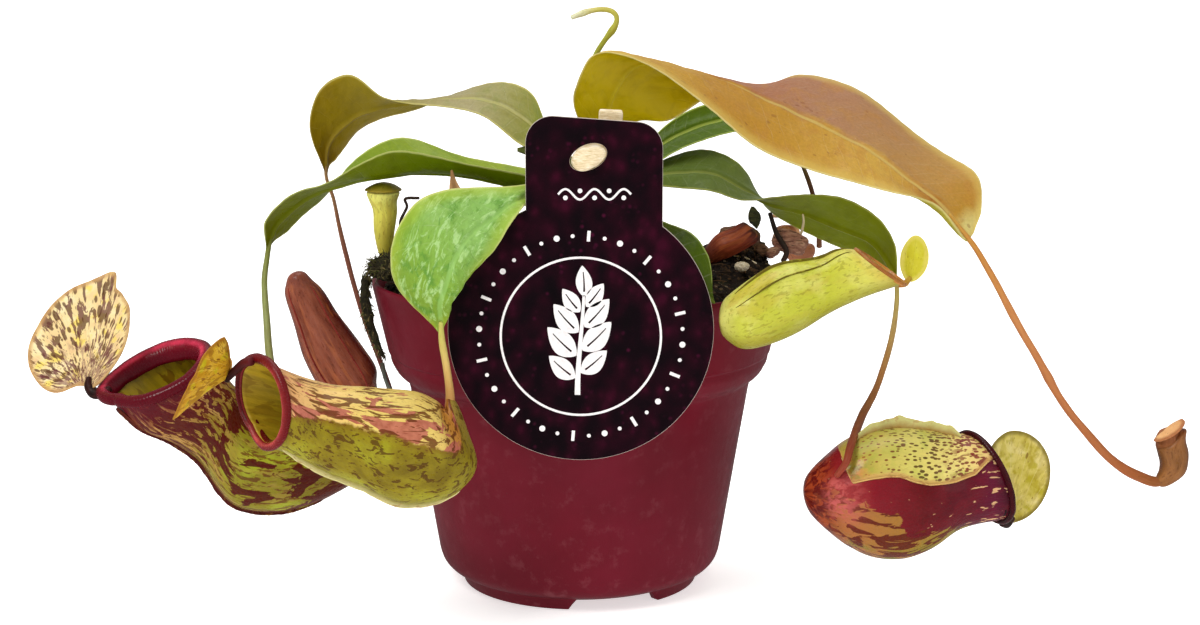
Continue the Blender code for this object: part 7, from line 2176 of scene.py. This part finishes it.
def shrink(line, d):
    """Moves a closed line inward by d."""
    t = unit(np.roll(line, -1, axis=0) - np.roll(line, 1, axis=0))
    n = np.stack([t[:, 1], -t[:, 0]], -1)
    area = (line[:, 0] * np.roll(line[:, 1], -1) - line[:, 1] * np.roll(line[:, 0], -1)).sum()
    return line - n * d * (1 if area > 0 else -1)


def plate(name, outline, holes, front, back, material, bevel=0.12, attributes=None, replaces=(), slot=None, back_material=None):
    """A flat plate facing -Y with bevelled edges; outline and holes are lines of (x, z)."""
    from mathutils.geometry import delaunay_2d_cdt

    def ccw(line, want=True):
        area = (line[:, 0] * np.roll(line[:, 1], -1) - line[:, 1] * np.roll(line[:, 0], -1)).sum()
        return line if (area > 0) == want else line[::-1]

    loops = [ccw(outline)] + [ccw(h) for h in holes]
    insets = [shrink(loops[0], bevel)] + [shrink(h, -bevel) for h in loops[1:]]
    flat2d = np.vstack(insets)
    edges, base = [], 0
    for l in insets:
        n = len(l)
        edges += [(base + k, base + (k + 1) % n) for k in range(n)]
        base += n
    verts, _, tri, orig, _, _ = delaunay_2d_cdt([Vector(p) for p in flat2d], edges, [], 0, 1e-5)
    verts = np.array([v[:] for v in verts])
    # keeps the triangles inside the outline and outside the holes
    def inside(line, pts):
        x, y = pts[:, 0], pts[:, 1]
        x0, y0 = line[:, 0], line[:, 1]
        x1, y1 = np.roll(x0, -1), np.roll(y0, -1)
        hit = ((y0[None] > y[:, None]) != (y1[None] > y[:, None])) & (
            x[:, None] < (x1 - x0)[None] * (y[:, None] - y0[None]) / np.where(np.abs(y1 - y0) < 1e-12, 1e-12, y1 - y0)[None] + x0[None])
        return hit.sum(1) % 2 == 1

    tri = np.array([t for t in tri if len(t) == 3])
    mid = verts[tri].mean(1)
    ok = inside(insets[0], mid)
    for h in insets[1:]:
        ok &= ~inside(h, mid)
    tri = tri[ok]
    n = len(verts)
    points = [np.stack([verts[:, 0], np.full(n, front), verts[:, 1]], -1), np.stack([verts[:, 0], np.full(n, back), verts[:, 1]], -1)]
    faces = tri.tolist() + (tri[:, ::-1] + n).tolist()
    index = {}
    for k, o in enumerate(orig):
        for q in o:
            index[q] = k
    count = 2 * n
    base = 0
    step = bevel if front < back else -bevel
    for l in loops:
        m = len(l)
        f = [index[base + k] for k in range(m)]
        points += [np.stack([l[:, 0], np.full(m, front + step), l[:, 1]], -1), np.stack([l[:, 0], np.full(m, back - step), l[:, 1]], -1)]
        a, b = count, count + m
        for k in range(m):
            j = (k + 1) % m
            faces += [[f[k], f[j], a + j, a + k], [a + k, a + j, b + j, b + k], [b + k, b + j, n + f[j], n + f[k]]]
        count += 2 * m
        base += m
    pts = np.vstack(points)
    face_on = np.concatenate([np.ones(n), np.zeros(n)] + [np.full(2 * len(l), 0.5) for l in loops])
    obj = piece(name, pts, faces, material, {"face": face_on}, replaces, slot, smooth_faces=False)
    return obj


def tag_paint():
    p = Paint("tag_card_colour", 0.5, 0.05)
    x, y, z = p.xyz(p.pos())
    flat = p.combine(x, z, 0.0)
    cell = p.cells(0.30, p.stretch(flat, 1.0, 0.8, 1.0), "SMOOTH_F1")
    cloud = p.noise(0.07, 4, 0.6, flat, 0.4)
    colour = p.ramp(p.math("ADD", p.math("MULTIPLY", cell, 0.5), p.math("MULTIPLY", cloud, 0.6)),
                    [(0.28, (52, 5, 26)), (0.45, (32, 4, 16)), (0.62, (18, 5, 12)), (0.8, (10, 6, 9))])
    glow = p.math("MULTIPLY", p.span(p.cells(0.42, flat), 0.35, 0.05), p.span(cloud, 0.5, 0.66))
    colour = p.mix(p.math("MULTIPLY", glow, 0.6), colour, (84, 14, 50))
    face = p.attr("face")
    rim = p.mix(p.noise(1.5, 3, 0.6), (206, 196, 186), (176, 158, 150))
    colour = p.mix(p.span(face, 0.95, 0.7), colour, rim)
    colour = p.mix(p.span(face, 0.3, 0.1), colour, p.mix(p.noise(0.8, 4, 0.6), (228, 222, 212), (206, 198, 186)))
    grain = p.noise(2.5, 3, 0.6, flat)
    return p.finish(colour, p.span(grain, 0.3, 0.7, 0.44, 0.6), p.bump(p.math("ADD", grain, p.noise(0.3, 2, 0.5, flat)), 0.0001, 0.5))


def ribbon(path, half):
    """The outline of a band of that half-width along an open path of (x, z)."""
    path = np.asarray(path, float)
    t = unit(np.gradient(path, axis=0))
    n = np.stack([-t[:, 1], t[:, 0]], -1)
    half = np.broadcast_to(half, (len(path),))[:, None]
    return np.vstack([path + n * half, (path - n * half)[::-1]])


def make_tag():
    front, back = -63.0, -62.0
    plate("tag_card", tag_line(), [turned(5.0, 3.2, 48)], front, back, tag_paint(), 0.14, replaces=("plant_tag",), slot="tag_card")
    p = Paint("tag_print_colour", 0.5, 0.5)
    n = p.noise(0.9, 4, 0.6)
    grain = p.noise(3.0, 3, 0.6)
    ink = p.finish(p.mix(p.span(n, 0.35, 0.7), (244, 240, 238), (228, 222, 222)), p.span(grain, 0.3, 0.7, 0.42, 0.56), p.bump(grain, 0.00008, 0.5))
    cx, cz = 1.0, 84.0
    face = front - 0.07

    def mark(name, outline, holes=()):
        plate(name, np.asarray(outline), [np.asarray(h) for h in holes], face, front + 0.05, ink, 0.02, slot="tag_card")

    a = np.linspace(0, TAU, 121)[:-1]
    circle = lambda r, x=cx, z=cz, k=a: np.stack([x + r * np.cos(k), z + r * np.sin(k)], -1)
    mark("tag_ring", circle(21.2), [circle(20.6)])
    small = np.linspace(0, TAU, 21)[:-1]
    # a ring of dots and short dashes
    spots = 40
    for k in range(spots):
        ang = TAU * (k + 0.5) / spots
        x, z = cx + 26.6 * math.cos(ang), cz + 26.6 * math.sin(ang)
        if k % 4 == 1:
            r0, r1 = 25.2, 28.0
            path = np.array([[cx + r * math.cos(ang), cz + r * math.sin(ang)] for r in np.linspace(r0, r1, 5)])
            mark("tag_dash_%02d" % k, ribbon(path, 0.42))
        else:
            mark("tag_dot_%02d" % k, circle(0.52 if k % 4 != 3 else 0.8, x, z, small))
    # a sprig of paired leaves
    stem_z = np.linspace(-15.5, 11.0, 40)
    stem = np.stack([cx + 0.9 * np.sin(stem_z * 0.10), cz + stem_z], -1)
    mark("tag_sprig_stem", ribbon(stem, np.linspace(0.75, 0.35, 40)))

    def petal(x, z, direction, long, wide):
        f = np.linspace(0, 1, 26)
        shape = wide * np.sin(math.pi * f) ** 0.8 * (1 - 0.35 * f)
        curve = 0.12 * long * f**2
        top = np.stack([f * long, curve + shape], -1)
        low = np.stack([f * long, curve - shape], -1)[::-1][1:-1]
        line = np.vstack([top, low])
        vein = ribbon(np.stack([np.linspace(0.16, 0.80, 16) * long, 0.12 * long * np.linspace(0.16, 0.80, 16) ** 2], -1), np.linspace(0.26, 0.12, 16))
        c, s = math.cos(direction), math.sin(direction)
        turn = lambda q: np.stack([x + q[:, 0] * c - q[:, 1] * s, z + q[:, 0] * s + q[:, 1] * c], -1)
        return turn(line), turn(vein)

    leaves = [(-11.0, 9.0, 3.1), (-5.0, 10.6, 3.6), (1.2, 9.8, 3.3), (6.6, 7.6, 2.6)]
    for k, (dz, long, wide) in enumerate(leaves):
        for side in (1, -1):
            x = cx + 0.9 * math.sin((dz + (1.2 if side > 0 else 0)) * 0.10) + side * 0.7
            z = cz + dz + (1.4 if side > 0 else 0)
            direction = math.radians(34 + 4 * k) if side > 0 else math.radians(180 - 34 - 4 * k)
            line, vein = petal(x, z, direction, long, wide)
            if side < 0:
                line[:, 0], vein[:, 0] = 2 * x - line[:, 0], 2 * x - vein[:, 0]
                direction = math.radians(34 + 4 * k)
                line, vein = petal(x, z, direction, long, wide)
                line[:, 0], vein[:, 0] = 2 * x - line[:, 0], 2 * x - vein[:, 0]
            mark("tag_leaf_%d%s" % (k, "a" if side > 0 else "b"), line, [vein])
    line, vein = petal(cx + 0.8, cz + 10.6, math.radians(86), 8.2, 2.6)
    mark("tag_leaf_top", line, [vein])
    # a small wave on the neck, with a dot in each of its hollows
    run = np.linspace(0, 1, 72)
    mark("tag_wave", ribbon(np.stack([-4.8 + 18.8 * run, 121.4 + 1.35 * np.sin(TAU * 2.5 * run)], -1), 0.28))
    for k in range(5):
        mark("tag_wave_dot_%d" % k, circle(0.62, -4.8 + 18.8 * (0.1 + 0.2 * k), 121.4 + (-0.9 if k % 2 == 0 else 0.9), small))

    # cream peg: the pointed end of a stick, faceted by the knife
    p = Paint("peg_colour", 0.6, 0.4, 0.12, (1.0, 0.8, 0.5), 0.0015)
    fibre = p.noise(1.0, 4, 0.6, p.stretch(p.pos(), 0.5, 0.9, 2.4), 0.3)
    colour = p.ramp(fibre, [(0.3, (206, 180, 132)), (0.5, (232, 212, 172)), (0.66, (246, 232, 206))])
    fleck = p.noise(1.0, 3, 0.6, p.stretch(p.pos(), 1.2, 1.2, 5.0))
    colour = p.mix(p.span(fleck, 0.64, 0.72, 0.0, 0.5), colour, (170, 130, 84))
    wood = p.finish(colour, p.span(fibre, 0.3, 0.7, 0.5, 0.72), p.bump(p.math("ADD", fibre, p.noise(3.0, 3, 0.6)), 0.0003, 0.7))
    rows = [(0.30, -57.86), (0.62, -57.9), (0.78, -58.1), (0.90, -58.7), (0.92, -60.0), (0.92, -62.2), (0.93, -63.6), (0.92, -64.4), (0.84, -65.0), (0.66, -65.5), (0.40, -65.8), (0.15, -65.95)]
    k = 60
    rings = []
    for i, (scale, y) in enumerate(rows):
        ring = turned(5.0 * scale, 3.2 * scale, k)
        rings.append(np.stack([ring[:, 0], np.full(k, y), ring[:, 1]], -1))
    grid = np.array(rings)
    dense = spl(grid.reshape(len(rows), -1), np.linspace(0, len(rows) - 1, 60)).reshape(60, k, 3)
    ang = np.arange(k) * TAU / k
    out = dense[:, :, 1] < -63.3
    facet = 0.30 * np.cos(3 * ang + 0.5)[None, :] * smooth(-dense[:, :, 1], 63.4, 64.8) + 0.10 * fbm(dense * 0.8, 4, 3) * out
    mid = dense.mean(axis=1, keepdims=True)
    dense = dense + unit(dense - mid) * facet[..., None] * smooth(np.linalg.norm(dense - mid, axis=2), 0.3, 1.5)[..., None]
    points = np.vstack([dense.reshape(-1, 3), [[3.0, -57.84, 131.0], [3.0, -66.0, 131.0]]])
    faces = grid_faces(60, k, 0, True).tolist()
    faces += [[60 * k, (j + 1) % k, j] for j in range(k)] + [[59 * k + j, 59 * k + (j + 1) % k, 60 * k + 1] for j in range(k)]
    piece("peg_nub", points, faces, wood, {}, ("tag_peg",), "pale_wood")

    foot, head = np.array([4.6, -44.0, 60.0]), np.array([8.9, -57.6, 142.6])
    along = unit(head - foot)
    across = unit(np.array([1.0, 0, 0]) - along * along[0])
    third = np.cross(along, across)
    half_w, half_t = 3.1, 1.1
    corner = []
    for sx, sy in ((1, 1), (-1, 1), (-1, -1), (1, -1)):
        base = 0.0 if (sx, sy) == (1, 1) else (90.0 if (sx, sy) == (-1, 1) else (180.0 if (sx, sy) == (-1, -1) else 270.0))
        for a in np.radians(base + np.linspace(0, 90, 6)):
            corner.append((sx * (half_w - 0.45) + 0.45 * math.cos(a), sy * (half_t - 0.45) + 0.45 * math.sin(a)))
    corner = np.array(corner)
    long = np.linalg.norm(head - foot)
    stops = np.concatenate([np.linspace(-1.0, 9.0, 12), np.linspace(10.0, long - 1.2, 70), long - np.array([0.7, 0.3, 0.1, 0.0])])
    scale_w = np.interp(stops, [-1.0, 0.0, 9.0, long - 0.7, long - 0.1, long], [0.12, 0.35, 1.0, 1.0, 0.93, 0.86])
    scale_t = np.interp(stops, [-1.0, 0.0, 3.0, long - 0.7, long - 0.1, long], [0.3, 0.8, 1.0, 1.0, 0.88, 0.74])
    grid = foot + along * stops[:, None, None] + across * (corner[:, 0][None, :] * scale_w[:, None])[..., None] + third * (corner[:, 1][None, :] * scale_t[:, None])[..., None]
    grid = grid + across * (0.10 * noise3(np.stack([stops * 0.2, 0 * stops, 0 * stops], -1), 3))[:, None, None]
    m = len(corner)
    n = len(stops)
    points = np.vstack([grid.reshape(-1, 3), [foot - along * 1.2, head]])
    faces = grid_faces(n, m, 0, True).tolist()
    faces += [[n * m, (j + 1) % m, j] for j in range(m)] + [[(n - 1) * m + j, (n - 1) * m + (j + 1) % m, n * m + 1] for j in range(m)]
    stake = piece("stake_stick", points, faces, wood, {}, ("tag_stake",), "pale_wood")
    stake.data.set_sharp_from_angle(angle=math.radians(50))


# ------------------------------------------------------------------ stage, lights and camera
def make_stage():
    p = Paint("studio_floor", 0.75, 0.2)
    n = p.noise(0.004, 3, 0.5)
    floor_material = p.finish(p.mix(n, (250, 250, 250), (247, 247, 247)), p.span(n, 0.3, 0.7, 0.7, 0.8), p.bump(p.noise(0.5, 2, 0.5), 0.00005, 0.2))
    # the paper is lit a little from within, so that it stays white under a soft light
    shader = p.shader.inputs
    shader["Emission Color"].default_value = (1.0, 1.0, 1.0, 1.0)
    shader["Emission Strength"].default_value = 0.60
    # a floor that rises into the backdrop
    xs = np.linspace(-2500, 2500, 26)
    run = [(-1500.0, 0.0), (900.0, 0.0)]
    arc = [(900 + 500 * math.sin(a), 500 - 500 * math.cos(a)) for a in np.linspace(0, math.pi / 2, 18)[1:]]
    line = np.array(run + arc + [(1400.0, 2500.0)])
    grid = np.stack([np.broadcast_to(xs[None, :], (len(line), 26)), np.broadcast_to(line[:, 0][:, None], (len(line), 26)),
                     np.broadcast_to(line[:, 1][:, None], (len(line), 26))], -1)
    mesh = bpy.data.meshes.new("studio_sweep")
    mesh.from_pydata((grid.reshape(-1, 3) * 0.001).tolist(), [], grid_faces(len(line), 26).tolist())
    mesh.materials.append(floor_material)
    mesh.shade_smooth()
    sweep = bpy.data.objects.new("studio_sweep", mesh)
    bpy.context.scene.collection.objects.link(sweep)
    # the paper is kept out of the plant's reflections, which would lay a white veil on the dark skins
    sweep.visible_glossy = False

    world = bpy.data.worlds.new("studio")
    bpy.context.scene.world = world
    world.use_nodes = True
    back = world.node_tree.nodes["Background"]
    back.inputs["Color"].default_value = (1, 1, 1, 1)
    back.inputs["Strength"].default_value = 0.36

    def area(name, place, target, size, power, colour=(1, 1, 1)):
        light = bpy.data.lights.new(name, "AREA")
        light.shape = "RECTANGLE"
        light.size, light.size_y = size
        light.energy = power
        light.color = colour
        obj = bpy.data.objects.new(name, light)
        obj.location = place
        obj.rotation_euler = (Vector(target) - Vector(place)).to_track_quat("-Z", "Y").to_euler()
        bpy.context.scene.collection.objects.link(obj)
        return obj

    area("key", (-0.50, -0.70, 0.95), (0, 0, 0.07), (0.45, 0.45), 8.5, (1.0, 0.985, 0.96))
    area("fill", (0.9, -0.7, 0.45), (0, 0, 0.07), (0.8, 0.8), 1.5)
    area("top", (0.0, 0.20, 1.1), (0, 0, 0.05), (0.7, 0.7), 4.5)

    camera = bpy.data.cameras.new("camera")
    camera.lens = 62.91
    camera.sensor_width = 36.0
    camera.sensor_fit = "HORIZONTAL"
    camera.clip_start = 0.01
    camera.clip_end = 20.0
    obj = bpy.data.objects.new("camera", camera)
    obj.location = (0.006, -0.600, 0.189)
    obj.rotation_euler = (math.radians(79.6), 0, 0)
    bpy.context.scene.collection.objects.link(obj)
    bpy.context.scene.camera = obj
    bpy.context.scene.view_settings.view_transform = "Standard"


make_pot()
make_soil()
make_litter()
make_tag()
make_stalks()
make_leaves()
make_pitchers()
make_stage()
